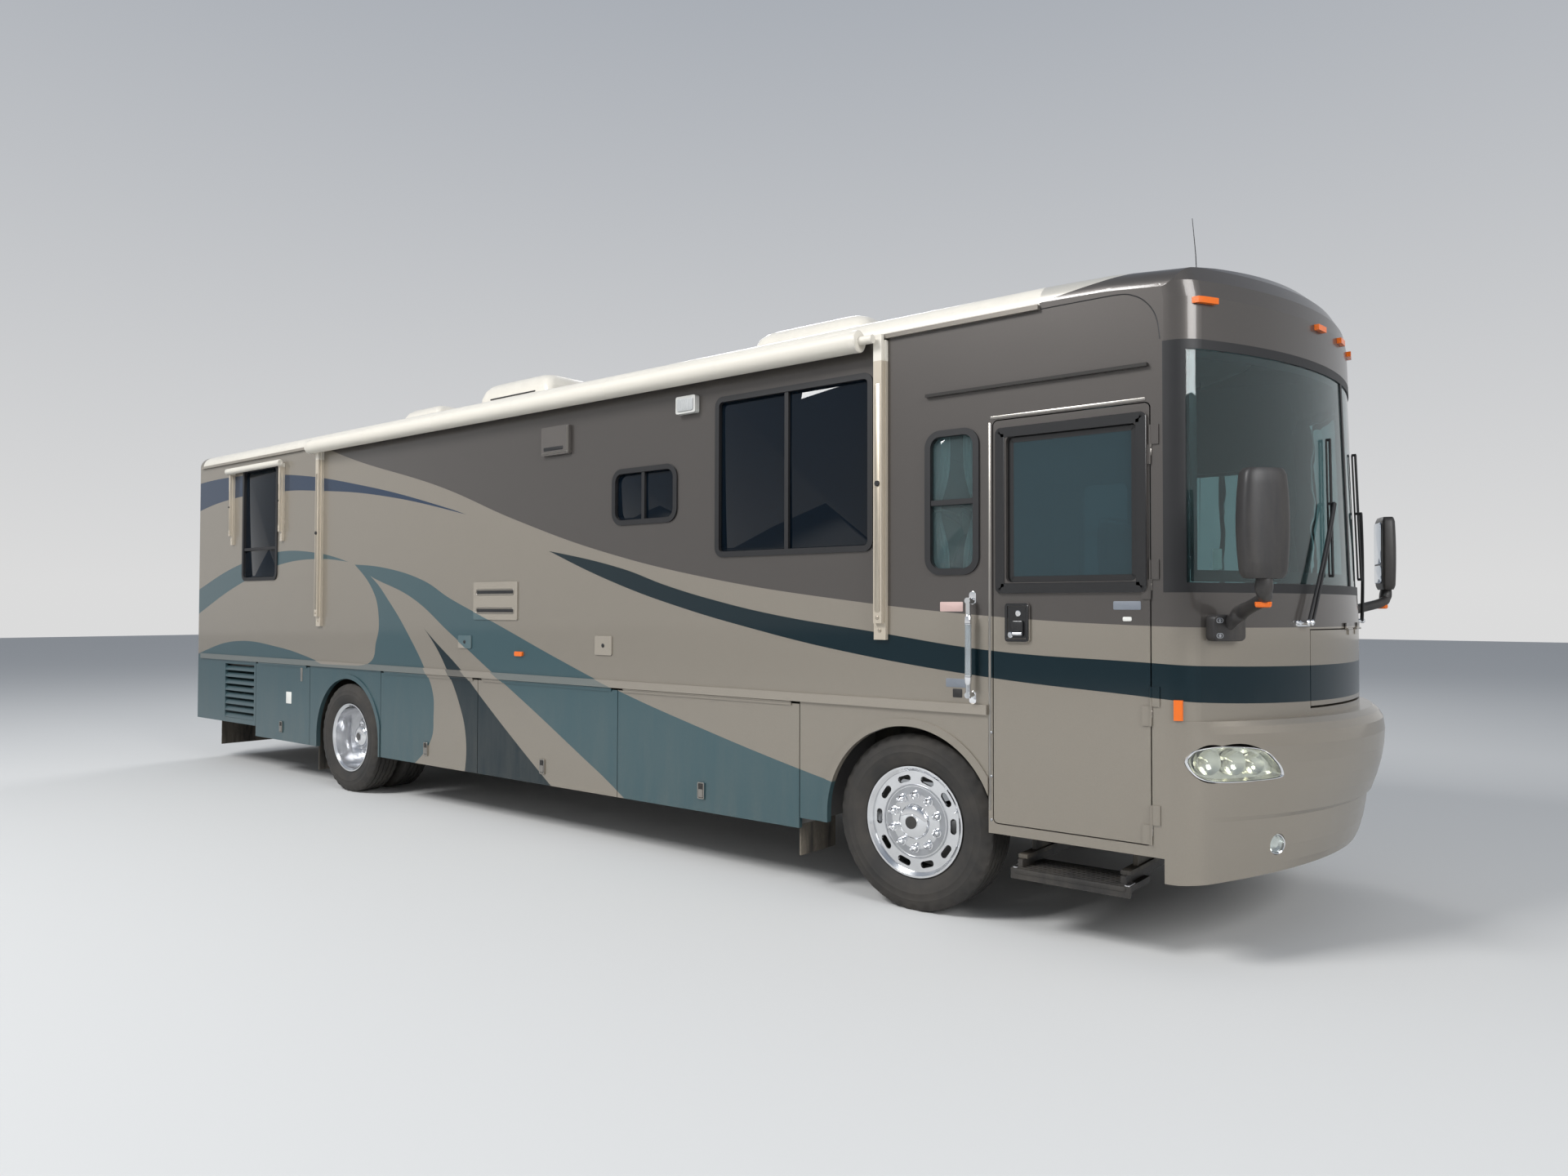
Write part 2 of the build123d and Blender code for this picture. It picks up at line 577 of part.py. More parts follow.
# Engine door: a framed panel with two banks of slats
ENGINE_SLATS = 9
ENGINE_DOOR_THICK = 35
ENGINE_FRAME = 70
with BuildPart() as engine_door:
    deep = ENGINE_DOOR_THICK
    block(REAR_FACE_X, REAR_FACE_X + deep, -ENGINE_DOOR_HALF, ENGINE_DOOR_HALF, ENGINE_DOOR_LOW, ENGINE_DOOR_HIGH)
    low = ENGINE_DOOR_LOW + ENGINE_FRAME
    high = ENGINE_DOOR_HIGH - ENGINE_FRAME
    inner = ENGINE_FRAME / 2
    outer = ENGINE_DOOR_HALF - ENGINE_FRAME
    for y0, y1 in ((inner, outer), (-outer, -inner)):
        block(REAR_FACE_X, REAR_FACE_X + deep, y0, y1, low, high, mode=Mode.SUBTRACT)
        add(slats(Vector(REAR_FACE_X, y1, 0), FORWARD * -1, y1 - y0, low, high, ENGINE_SLATS, deep))
    for side in (-1, 1):
        start = Vector(REAR_FACE_X - BARREL_OUT, side * ENGINE_HINGE_Y, ENGINE_DOOR_HIGH + PLAY / 2)
        add(barrel(start, start - Vector(0, side * ENGINE_HINGE_LONG, 0), FORWARD * -1, UP, -40))
save(engine_door.part, "engine_door")

# Floor, with the step well inside the entry door and the engine hatch
STEP_X0 = DOOR_REAR_X + 89
STEP_X1 = DOOR_FRONT_X - 102
STEP_Z = 310
STEP_BAR_TOP = STEP_Z + 68
STEP_BAR_HALF = 12
STEP_BAR_IN = 40
STEP_REACH = 760
CHANNEL_HALF = 24
CHANNEL_THICK = 20
WELL_X0 = DOOR_REAR_X + 74
WELL_X1 = DOOR_FRONT_X - 7
WELL_IN_Y = HALF_W - 729
WELL_SKIN = 25
WELL_LOW = 560
# Treads inside the entry door: outer edge, inner edge, height
TREADS = [
    (INNER_W, WELL_IN_Y + 370, WELL_LOW + 40),
    (WELL_IN_Y + 370, WELL_IN_Y + 185, WELL_LOW + 290),
    (WELL_IN_Y + 185, WELL_IN_Y, FLOOR_LOW),
]
CAB_FLOOR_LONG = 260
ENGINE_X0 = REAR_X + 345
ENGINE_X1 = ENGINE_X0 + 1230
ENGINE_TOP = FLOOR_TOP + 60
RAIL_Y = 430
RAIL_W = 76
with BuildPart() as floor:
    block(REAR_CAP_X, SEAM_X, -INNER_W, INNER_W, FLOOR_LOW, FLOOR_TOP)
    with BuildSketch(Plane.XY.offset(FLOOR_LOW)):
        nose_outline(SEAM_X, NOSE_X, inset=NOSE_THICK + PLAY)
        with Locations((SEAM_X + CAB_FLOOR_LONG + LENGTH / 2, 0)):
            Rectangle(LENGTH, BODY_WIDTH, mode=Mode.SUBTRACT)
    extrude(amount=FLOOR_THICK)
    block(ENGINE_X0 - 40, ENGINE_X1 + 40, -RAIL_Y, RAIL_Y, FLOOR_LOW, FLOOR_TOP, mode=Mode.SUBTRACT)
    block(WELL_X0, WELL_X1, -INNER_W, -WELL_IN_Y, FLOOR_LOW, FLOOR_TOP, mode=Mode.SUBTRACT)
    block(WELL_X0 - WELL_SKIN, WELL_X1 + WELL_SKIN, -INNER_W, -WELL_IN_Y + WELL_SKIN, WELL_LOW, FLOOR_LOW + 5)
    for outer, inner, z in TREADS:
        block(WELL_X0, WELL_X1, -outer, -inner, z, FLOOR_TOP, mode=Mode.SUBTRACT)
    for x in (STEP_X0 + STEP_BAR_IN, STEP_X1 - STEP_BAR_IN):
        block(x - CHANNEL_HALF, x + CHANNEL_HALF, -HALF_W + 60, -HALF_W + STEP_REACH - 90, STEP_BAR_TOP + SEAT,
              STEP_BAR_TOP + CHANNEL_THICK)
        block(x - STEP_BAR_HALF, x + STEP_BAR_HALF, -HALF_W + 190, -HALF_W + STEP_REACH - 170,
              STEP_BAR_TOP + CHANNEL_THICK / 2, WELL_LOW + 5)
save(floor.part, "floor")

# Skirt: the fixed panels low on each side, open round the wheels.
# Rows: side, x0, x1, low edge, arch centre x or None
SKIRT_GAP = 3
SKIRT_THICK = 30
SKIRT_ROWS = [
    (-1, REAR_CAP_X, REAR_BAY_X0 - SKIRT_GAP, SKIRT_LOW + 99, None),
    (-1, REAR_BAY_X1 + SKIRT_GAP, BAY_REAR_X - SKIRT_GAP, SKIRT_LOW, REAR_AXLE_X),
    (-1, BAY_FRONT_X + SKIRT_GAP, DOOR_REAR_X - 30, SKIRT_LOW + 60, FRONT_AXLE_X),
    (1, REAR_CAP_X, BAY_REAR_X - SKIRT_GAP, SKIRT_LOW, REAR_AXLE_X),
    (1, BAY_FRONT_X + SKIRT_GAP, SEAM_X, SKIRT_LOW + 60, FRONT_AXLE_X),
]
ARCH_Z = TYRE_R - 5
ARCH_PROUD = 8
# Louvred openings: side, x0, x1
GRILLES = [(-1, REAR_BAY_X0 - 685, REAR_BAY_X0 - 41), (1, REAR_BAY_X0 - 1100, REAR_AXLE_X - 809)]
GRILLE_LOW = 500
GRILLE_HIGH = 1050
GRILLE_SLATS = 8
with BuildPart() as skirts:
    for side, x0, x1, low, arch in SKIRT_ROWS:
        with BuildSketch(side_plane(side)):
            panel(x0, x1, low, WALL_LOW)
            if arch:
                with Locations((arch, ARCH_Z)):
                    Circle(ARCH_R, mode=Mode.SUBTRACT)
                panel(arch - ARCH_R, arch + ARCH_R, 0, ARCH_Z, mode=Mode.SUBTRACT)
        extrude(amount=side * SKIRT_THICK)
        if arch:
            with BuildSketch(side_plane(side)):
                with Locations((arch, ARCH_Z)):
                    Circle(ARCH_R + ARCH_LIP)
                    Circle(ARCH_R, mode=Mode.SUBTRACT)
                panel(arch - ARCH_R, arch + ARCH_R, 0, ARCH_Z, mode=Mode.SUBTRACT)
                panel(x0, x1, low, WALL_LOW, mode=Mode.INTERSECT)
            extrude(amount=-side * ARCH_PROUD)
    for side, x0, x1 in GRILLES:
        block(x0, x1, side * (HALF_W - SKIRT_THICK), side * HALF_W, GRILLE_LOW, GRILLE_HIGH, mode=Mode.SUBTRACT)
        start = Vector(x0 if side < 0 else x1, side * HALF_W, 0)
        add(slats(start, Vector(0, side, 0), x1 - x0, GRILLE_LOW, GRILLE_HIGH, GRILLE_SLATS, SKIRT_THICK))
save(skirts.part, "skirts")

# Baggage doors: hinged along the top, one bay each. Rows: name, side, x0, x1
BAGGAGE_DOORS = [
    ("baggage_door_right_rear", -1, REAR_BAY_X0, REAR_BAY_X1),
    ("baggage_door_right_1", -1, BAY_SEAMS[0], BAY_SEAMS[1]),
    ("baggage_door_right_2", -1, BAY_SEAMS[1], BAY_SEAMS[2]),
    ("baggage_door_right_3", -1, BAY_SEAMS[2], BAY_SEAMS[3]),
    ("baggage_door_left_1", 1, BAY_SEAMS[0], BAY_SEAMS[1]),
    ("baggage_door_left_2", 1, BAY_SEAMS[1], BAY_SEAMS[2]),
    ("baggage_door_left_3", 1, BAY_SEAMS[2], BAY_SEAMS[3]),
]
BAGGAGE_TOP = 1072
LATCH_Z = 485
LATCH_HALF = 30
LATCH_PROUD = 8
BARREL_IN = 60
for name, side, x0, x1 in BAGGAGE_DOORS:
    with BuildPart() as baggage_door:
        with BuildSketch(side_plane(side)):
            panel(x0 + SKIRT_GAP, x1 - SKIRT_GAP, SKIRT_LOW, BAGGAGE_TOP)
        extrude(amount=side * SKIRT_THICK)
        with BuildSketch(side_plane(side, SEAT)):
            middle = (x0 + x1) / 2
            panel(middle - LATCH_HALF, middle + LATCH_HALF, LATCH_Z - 55, LATCH_Z + 55, 8)
        extrude(amount=-side * LATCH_PROUD)
        start = Vector(x0 + BARREL_IN, side * (HALF_W + BARREL_OUT), BAGGAGE_BARREL_Z)
        end = Vector(x1 - BARREL_IN, start.Y, start.Z)
        add(barrel(start, end, Vector(0, side, 0), Vector(0, 0, 1), -20))
    save(baggage_door.part, name)

# Baggage bays: trays hung under the floor, open to the doors
BAY_Y = 500
BAY_SKIN = 20
BAY_LOW = 372
BAY_X0 = BAY_REAR_X + 12
BAY_X1 = BAY_FRONT_X - 12
with BuildPart() as baggage_bays:
    for side in (-1, 1):
        bay_out = HALF_W - SKIRT_THICK - PLAY
        block(BAY_X0, BAY_X1, side * (BAY_Y - BAY_SKIN), side * bay_out, BAY_LOW, FLOOR_LOW)
        for x0, x1 in ((BAY_X0, BAY_SEAMS[1]), (BAY_SEAMS[1], BAY_SEAMS[2]), (BAY_SEAMS[2], BAY_X1)):
            block(x0 + BAY_SKIN / 2, x1 - BAY_SKIN / 2, side * BAY_Y, side * HALF_W, BAY_LOW + BAY_SKIN,
                  FLOOR_LOW, mode=Mode.SUBTRACT)
save(baggage_bays.part, "baggage_bays")

# Mouldings: the belt moulding along each side, and the drip rails at the roof edge and over the door
DRIP = 22
with BuildPart() as moldings:
    for side, x1 in ((-1, DOOR_REAR_X - 34), (1, SEAM_X - 20)):
        with BuildSketch(side_plane(side, SEAT)):
            panel(REAR_CAP_X + 20, x1, BELT_LOW, BELT_HIGH)
        extrude(amount=-side * 16)
        with BuildSketch(side_plane(side, SEAT)):
            panel(REAR_CAP_X, CAP_ROOF_X, WALL_TOP - 12, WALL_TOP + 12)
        extrude(amount=-side * DRIP)
    with BuildSketch(side_plane(-1, SEAT)):
        panel(DOOR_REAR_X - 387, DOOR_FRONT_X - 4, DOOR_TOP + 167, DOOR_TOP + 183)
    extrude(amount=DRIP)
save(moldings.part, "moldings")

# Entry door, hinged at its front edge, with a tall window
DOOR_GLASS = (DOOR_REAR_X + 74, DOOR_FRONT_X - 57, 1755, DOOR_TOP - 85)
with BuildPart() as entry_door:
    with BuildSketch(side_plane(-1)):
        panel(DOOR_REAR_X, DOOR_FRONT_X, DOOR_LOW, DOOR_TOP, 24)
        panel(*DOOR_GLASS, 30, mode=Mode.SUBTRACT)
    extrude(amount=-DOOR_THICK)
    with BuildSketch(side_plane(-1, 0)):
        panel(DOOR_REAR_X + 14, DOOR_FRONT_X - 8, 1700, DOOR_TOP - 38, 30)
        panel(*DOOR_GLASS, 30, mode=Mode.SUBTRACT)
    extrude(amount=10)
    with BuildSketch(side_plane(-1, 0)):
        panel(DOOR_REAR_X + 64, DOOR_REAR_X + 202, 1456, 1655, 20)
    extrude(amount=12)
    for z in DOOR_HINGES:
        start = Vector(DOOR_BARREL_X, -HALF_W - BARREL_OUT, z)
        add(barrel(start, start - Vector(0, 0, DOOR_HINGE_LONG), ACROSS_DOOR, Vector(1, 0, 0), -40))
save(entry_door.part, "entry_door")

with BuildPart() as entry_door_glass:
    with BuildSketch(side_plane(-1, -PANE_DEEP)):
        panel(DOOR_GLASS[0] + SEAT, DOOR_GLASS[1] - SEAT, DOOR_GLASS[2] + SEAT, DOOR_GLASS[3] - SEAT, 30 - SEAT)
    extrude(amount=-PANE)
save(entry_door_glass.part, "entry_door_glass")

# Slide-out step under the entry door
with BuildPart() as entry_step:
    block(STEP_X0, STEP_X1, -HALF_W + 5, -HALF_W + 275, STEP_Z, STEP_Z + 28)
    block(STEP_X0, STEP_X1, -HALF_W + 5, -HALF_W + 25, STEP_Z - 25, STEP_Z + 28)
    for x in (STEP_X0 + STEP_BAR_IN, STEP_X1 - STEP_BAR_IN):
        block(x - STEP_BAR_HALF, x + STEP_BAR_HALF, -HALF_W + 30, -HALF_W + STEP_REACH, STEP_Z + 28,
              STEP_BAR_TOP)
save(entry_step.part, "entry_step")

# Slide-out rooms: a fascia that laps the wall, and a box behind it that stays in the opening
for name, x0, x1, z0, z1, travel, wx0, wx1, wz0, wz1, bar_x in SLIDES:
    back = FASCIA_OFF + travel + SLIDE_BEHIND
    with BuildPart() as slide_room:
        with BuildSketch(side_plane(1, FASCIA_OFF)):
            panel(x0 + SLIDE_PLAY, x1 - SLIDE_PLAY, z0 + SLIDE_PLAY, z1 - SLIDE_PLAY)
        extrude(amount=back)
        with BuildSketch(side_plane(1, -WALL)):
            hollow = SLIDE_PLAY + SLIDE_WALL
            panel(x0 + hollow, x1 - hollow, z0 + hollow, z1 - hollow)
        extrude(amount=back, mode=Mode.SUBTRACT)
        with BuildSketch(side_plane(1, FASCIA_OFF)):
            panel(x0 - FASCIA_LAP, x1 + FASCIA_LAP, z0 - FASCIA_LAP, z1 + FASCIA_LAP, 25)
        extrude(amount=-FASCIA_THICK)
        with BuildSketch(side_plane(1, FASCIA_OFF + FASCIA_THICK)):
            panel(wx0, wx1, wz0, wz1, 70)
        extrude(amount=FASCIA_THICK + FASCIA_OFF + WALL + 10, mode=Mode.SUBTRACT)
        with BuildSketch(side_plane(1, FASCIA_OFF + FASCIA_THICK)):
            panel(wx0 - 6, wx1 + 6, wz0 - 6, wz1 + 6, 76)
            panel(wx0 + 30, wx1 - 30, wz0 + 30, wz1 - 30, 45, mode=Mode.SUBTRACT)
            panel(bar_x - 14, bar_x + 14, wz0, wz1)
        extrude(amount=-8)
        with BuildSketch(side_plane(1, FASCIA_OFF + FASCIA_THICK)):
            panel(wx0, wx1, wz0, wz1, 70)
            panel(wx0 + 30, wx1 - 30, wz0 + 30, wz1 - 30, 45, mode=Mode.SUBTRACT)
            panel(bar_x - 14, bar_x + 14, wz0, wz1)
        extrude(amount=14)
        with BuildSketch(side_plane(1, FASCIA_OFF)):
            panel(wx0 + SEAT, wx1 - SEAT, wz0 + SEAT, wz1 - SEAT, 70)
        extrude(amount=PANE)
        for x in (x0 + 500, x1 - 500):
            block(x - 40, x + 40, HALF_W - back + FASCIA_OFF, HALF_W - back + FASCIA_OFF + 100,
                  FLOOR_TOP + SEAT, z0 + SLIDE_PLAY)
    save(slide_room.part, name)

# Awnings stowed on the door side. Rows: rear arm x, front arm x, roller from x, to x, its height and
# radius, foot height, half an arm's width
AWNINGS = [
    (-2780, 3340, -2830, 3240, 3089, 60, 1455, 38),
    (-4570, -3510, -4595, -3485, 3010, 30, 2262, 20),
]
ARM_DEEP = 24
ARM_HEAD = 50
with BuildPart() as awnings:
    for arm_0, arm_1, x0, x1, roller_z, radius, foot_z, half in AWNINGS:
        out = SEAT + ARM_DEEP + radius
        for x in (arm_0, arm_1):
            with BuildSketch(side_plane(-1, SEAT)):
                panel(x - half, x + half, foot_z, roller_z - radius - 2)
            extrude(amount=ARM_DEEP)
            with BuildSketch(side_plane(-1, SEAT + ARM_DEEP)):
                panel(x - half * 0.7, x + half * 0.7, foot_z + 90, roller_z + radius / 2)
            extrude(amount=ARM_DEEP)
            with BuildSketch(side_plane(-1, SEAT)):
                panel(x - half, x + half, roller_z - radius - ARM_HEAD, min(roller_z, WALL_TOP - 14))
            extrude(amount=ARM_DEEP + 2)
        with BuildSketch(Plane.YZ.offset(x0)):
            with Locations((-HALF_W - out, roller_z)):
                Circle(radius)
        extrude(amount=x1 - x0)
        with BuildSketch(Plane.YZ.offset(x1 - 5)):
            with Locations((-HALF_W - out, roller_z)):
                Circle(radius * 0.4)
        extrude(amount=arm_1 - x1)
save(awnings.part, "awnings")

# Roof equipment: two air conditioners, a low dome, vents and the whip aerial
CROWN_FLAT = ROOF_CROWN - 25
with BuildPart() as roof_equipment:
    for x, high in ((-1225, 390), (2100, 330)):
        with BuildSketch(Plane.XY.offset(CROWN_FLAT)):
            with Locations((x, 0)):
                RectangleRounded(1050, 700, 90)
        with BuildSketch(Plane.XY.offset(CROWN_FLAT + high)):
            with Locations((x - 20, 0)):
                RectangleRounded(900, 560, 90)
        loft()
    for x, y, wide, high in ((-2550, -150, 600, 270), (3500, -200, 400, 190), (500, -200, 400, 170),
                             (-4000, 0, 400, 170)):
        with BuildSketch(Plane.XY.offset(CROWN_FLAT - 15)):
            with Locations((x, y)):
                RectangleRounded(wide, wide, wide * 0.3)
        with BuildSketch(Plane.XY.offset(CROWN_FLAT + high)):
            with Locations((x, y)):
                RectangleRounded(wide * 0.8, wide * 0.8, wide * 0.3)
        loft()
    with BuildSketch(Plane.YZ.offset(REAR_X)):
        roof_outline(WALL_TOP, -SEAT)
    extrude(amount=LENGTH, mode=Mode.SUBTRACT)
save(roof_equipment.part, "roof_equipment")


def nose_point(y, z, off):
    """A point off the front of the nose, along the nose's own outward direction, and that direction."""
    reach = sqrt(NOSE_SWEEP ** 2 - y ** 2)
    out = Vector(reach, y, 0).normalized()
    return Vector(nose_front(z) - NOSE_SWEEP + reach, y, z) + out * off, out


# Mirrors: a foot moulded to the nose corner, a bent arm and a tall head turned towards the driver.
# Rows: side, turn of the head in degrees
MIRRORS = [(-1, -38), (1, 22)]
MIRROR_X = FRONT_X - 190
MIRROR_Y = HALF_W + 175
MIRROR_FOOT_Y = HALF_W - 167
MIRROR_FOOT_Z = 1540
MIRROR_LOW = 1735
MIRROR_HIGH = 490
MIRROR_WIDE = 245
MIRROR_DEEP = 95
MIRROR_ROUND = 40
MIRROR_ARM_R = 24


def mirror_arm(side):
    """The arm: a bent bar from inside the foot up into the head."""
    root, out = nose_point(side * MIRROR_FOOT_Y, MIRROR_FOOT_Z, 15)
    tip = Vector(MIRROR_X, side * MIRROR_Y, MIRROR_LOW + 60)
    with BuildPart() as arm:
        with BuildLine() as path:
            Bezier(root, root + out * 190, tip - Vector(0, 0, 190), tip)
        with BuildSketch(Plane(origin=root, z_dir=out)):
            Circle(MIRROR_ARM_R)
        sweep(path=path.wires()[0])
    return arm.part


def mirror_foot(side):
    """The foot: a round-cornered block whose back follows the nose."""
    root, out = nose_point(side * MIRROR_FOOT_Y, MIRROR_FOOT_Z, -40)
    with BuildPart() as foot:
        with BuildSketch(Plane(origin=root, x_dir=(0, 0, 1), z_dir=out)):
            RectangleRounded(120, 180, 20)
        extrude(amount=95)
        with BuildSketch(Plane.XY.offset(MIRROR_FOOT_Z - 100)):
            nose_outline(SEAM_X, NOSE_X, inset=-SEAT)
        extrude(amount=200, mode=Mode.SUBTRACT)
    return foot.part


def mirror_head(side, turn):
    """The head: a tall shell with its glass side hollowed out to the rear."""
    face = Plane(origin=(MIRROR_X, side * MIRROR_Y, MIRROR_LOW)).rotated((0, 0, turn))
    with BuildPart() as head:
        with BuildSketch(face):
            RectangleRounded(MIRROR_DEEP, MIRROR_WIDE, MIRROR_ROUND)
        extrude(amount=MIRROR_HIGH)
        fillet(head.faces().filter_by(Axis.Z).edges(), MIRROR_ROUND / 2)
        glass = Plane(origin=face.origin - face.x_dir * MIRROR_DEEP / 2 + face.z_dir * MIRROR_HIGH / 2,
                      x_dir=face.y_dir, z_dir=face.x_dir * -1)
        with BuildSketch(glass):
            RectangleRounded(MIRROR_WIDE - 2 * MIRROR_ROUND, MIRROR_HIGH - 2 * MIRROR_ROUND, 20)
        extrude(amount=-6, mode=Mode.SUBTRACT)
    return head.part


with BuildPart() as mirrors:
    for side, turn in MIRRORS:
        add(mirror_foot(side))
        add(mirror_arm(side))
        add(mirror_head(side, turn))
save(mirrors.part, "mirrors")

# Wipers, parked upright on the glass. Each foot stands off by what the nose leans over its own height
WIPER_OFF = 27
WIPER_FOOT_R = 22
WIPER_FOOT_Z = 1562
WIPER_TIP_Z = 2250
WIPER_FOOT_Y = 640
WIPER_TIP_Y = 330
with BuildPart() as wipers:
    for side in (-1, 1):
        foot, out = nose_point(side * WIPER_FOOT_Y, WIPER_FOOT_Z, SEAT + WIPER_FOOT_R * LEAN)
        low, _ = nose_point(side * WIPER_FOOT_Y, WIPER_FOOT_Z, WIPER_OFF)
        high, _ = nose_point(side * WIPER_TIP_Y, WIPER_TIP_Z, WIPER_OFF)
        with BuildSketch(Plane(origin=foot, z_dir=out)):
            Circle(WIPER_FOOT_R)
        extrude(amount=WIPER_OFF + 8)
        with BuildSketch(Plane(origin=low, x_dir=out, z_dir=high - low)):
            Rectangle(14, 26)
        extrude(amount=(high - low).length)
save(wipers.part, "wipers")

# Rear ladder: two legs held off the rear cap by four feet, with rungs between them
LADDER_Y0 = HALF_W - 239
LADDER_Y1 = HALF_W - 529
LADDER_OFF = 78
LADDER_R = 13
LADDER_LOW = 1600
LADDER_HIGH = 3220
LADDER_FEET = [1700, 2600]
RUNG_PITCH = 290
with BuildPart() as rear_ladder:
    for y in (-LADDER_Y0, -LADDER_Y1):
        with BuildSketch(Plane.XY.offset(LADDER_LOW)):
            with Locations((REAR_FACE_X - LADDER_OFF, y)):
                Circle(LADDER_R)
        extrude(amount=LADDER_HIGH - LADDER_LOW)
        for z in LADDER_FEET:
            with BuildSketch(Plane.YZ.offset(REAR_FACE_X - LADDER_OFF)):
                with Locations((y, z)):
                    Circle(LADDER_R - 2)
            extrude(amount=LADDER_OFF - SEAT)
    for z in range(LADDER_LOW + 80, LADDER_HIGH - 20, RUNG_PITCH):
        with BuildSketch(Plane.XZ.offset(LADDER_Y1)):
            with Locations((REAR_FACE_X - LADDER_OFF, z)):
                Circle(LADDER_R - 1)
        extrude(amount=LADDER_Y0 - LADDER_Y1)
save(rear_ladder.part, "rear_ladder")

BUMPER_HALF = HALF_W - 109
BUMPER_TOP = 690
with BuildPart() as rear_bumper:
    block(REAR_X, REAR_FACE_X - SEAT, -BUMPER_HALF, BUMPER_HALF, BUMPER_LOW, BUMPER_TOP)
    fillet(rear_bumper.edges().filter_by(Axis.Z).group_by(Axis.X)[0], 80)
save(rear_bumper.part, "rear_bumper")

# Mud flaps behind the wheels, and the rear guard under the bumper with its notch for the hitch
FLAP_OUT_Y = HALF_W - 49
FLAP_THICK = 12
FLAP_LOW = 130
GUARD_X = REAR_X + 50
with BuildPart() as mud_flaps:
    for side in (-1, 1):
        flap_x = BAY_FRONT_X - 37
        block(flap_x, flap_x + FLAP_THICK, side * (FLAP_OUT_Y - 340), side * FLAP_OUT_Y, 185, BAY_LOW)
        flap_x = REAR_AXLE_X - 589
        block(flap_x, flap_x + FLAP_THICK, side * (FLAP_OUT_Y - 680), side * FLAP_OUT_Y, FLAP_LOW, FLOOR_LOW)
    block(GUARD_X, GUARD_X + FLAP_THICK, -BUMPER_HALF + 180, BUMPER_HALF - 180, FLAP_LOW, BUMPER_LOW)
    block(REAR_X, REAR_FACE_X, -HITCH_GAP, HITCH_GAP, HITCH_Z - HITCH_GAP, BUMPER_LOW, mode=Mode.SUBTRACT)
save(mud_flaps.part, "mud_flaps")

# Chassis: two deep rails, cross tubes and the beam that holds the hitch receiver
HITCH_BEAM_X = REAR_X + 225
HITCH_BEAM = 100
RAIL_LOW = 700
RAIL_FRONT_X = FRONT_AXLE_X + 1500
CROSS_HALF = 40
CROSS_X = [REAR_AXLE_X + step for step in (-1409, -509, 541, 1591, 2641)]
CROSS_X += [FRONT_AXLE_X + step for step in (-2100, -1050, -300, 650, 1420)]
DROP_IN_Y = RAIL_Y - 90
DROP_OUT_Y = RAIL_Y + RAIL_W / 2
with BuildPart() as chassis_frame:
    for side in (-1, 1):
        block(HITCH_BEAM_X, RAIL_FRONT_X, side * (RAIL_Y - RAIL_W / 2), side * DROP_OUT_Y, RAIL_LOW, FLOOR_LOW)
    for x in CROSS_X:
        block(x - CROSS_HALF, x + CROSS_HALF, -RAIL_Y, RAIL_Y, RAIL_LOW + 60, RAIL_LOW + 200)
    for side in (-1, 1):
        block(HITCH_BEAM_X, HITCH_BEAM_X + HITCH_BEAM, side * DROP_IN_Y, side * DROP_OUT_Y, HITCH_Z - 50,
              RAIL_LOW + 20)
    block(HITCH_BEAM_X, HITCH_BEAM_X + HITCH_BEAM, -DROP_OUT_Y, DROP_OUT_Y, HITCH_Z - 50, HITCH_Z + 50)
save(chassis_frame.part, "chassis_frame")

with BuildPart() as hitch_receiver:
    half = HITCH_OUT / 2
    hole = HITCH_IN / 2
    block(REAR_X + 15, HITCH_BEAM_X, -half, half, HITCH_Z - half, HITCH_Z + half)
    block(REAR_X, HITCH_BEAM_X - 10, -hole, hole, HITCH_Z - hole, HITCH_Z + hole, mode=Mode.SUBTRACT)
    with Locations(Plane(origin=(REAR_X + 75, 0, HITCH_Z), z_dir=(0, 1, 0))):
        Cylinder(PIN_HOLE_R, HITCH_OUT + 2, mode=Mode.SUBTRACT)
save(hitch_receiver.part, "hitch_receiver")

with BuildPart() as engine:
    block(ENGINE_X0, ENGINE_X1, -RAIL_Y + RAIL_W / 2, RAIL_Y - RAIL_W / 2, RAIL_LOW - 220, ENGINE_TOP)
save(engine.part, "engine")

# Front axle: a drop beam, its kingpins and the air springs under the rails
AXLE_Z = TYRE_R
PIN_R = 20
PIN_PLAY = 0.1
BEAM_END_R = 38
BEAM_END_HIGH = 100
EAR = 35
SPRING_R = 105
BEAM_IN_Y = KINGPIN_Y - 390
BEAM_LOW = AXLE_Z - 95
with BuildPart() as front_axle:
    block(FRONT_AXLE_X - 38, FRONT_AXLE_X + 38, -BEAM_IN_Y, BEAM_IN_Y, BEAM_LOW, BEAM_LOW + 100)
    for side in (-1, 1):
        block(FRONT_AXLE_X - 38, FRONT_AXLE_X + 38, side * (BEAM_IN_Y - 60), side * (BEAM_IN_Y + 60), BEAM_LOW,
              AXLE_Z + 50)
        block(FRONT_AXLE_X - 30, FRONT_AXLE_X + 30, side * (BEAM_IN_Y + 40), side * KINGPIN_Y, AXLE_Z - 50,
              AXLE_Z + 50)
        with Locations((FRONT_AXLE_X, side * KINGPIN_Y, AXLE_Z)):
            Cylinder(BEAM_END_R, BEAM_END_HIGH)
            Cylinder(PIN_R, 190)
        with BuildSketch(Plane.XY.offset(BEAM_LOW + 100)):
            with Locations((FRONT_AXLE_X, side * RAIL_Y)):
                Circle(SPRING_R)
        extrude(amount=RAIL_LOW - BEAM_LOW - 100)
save(front_axle.part, "front_axle")

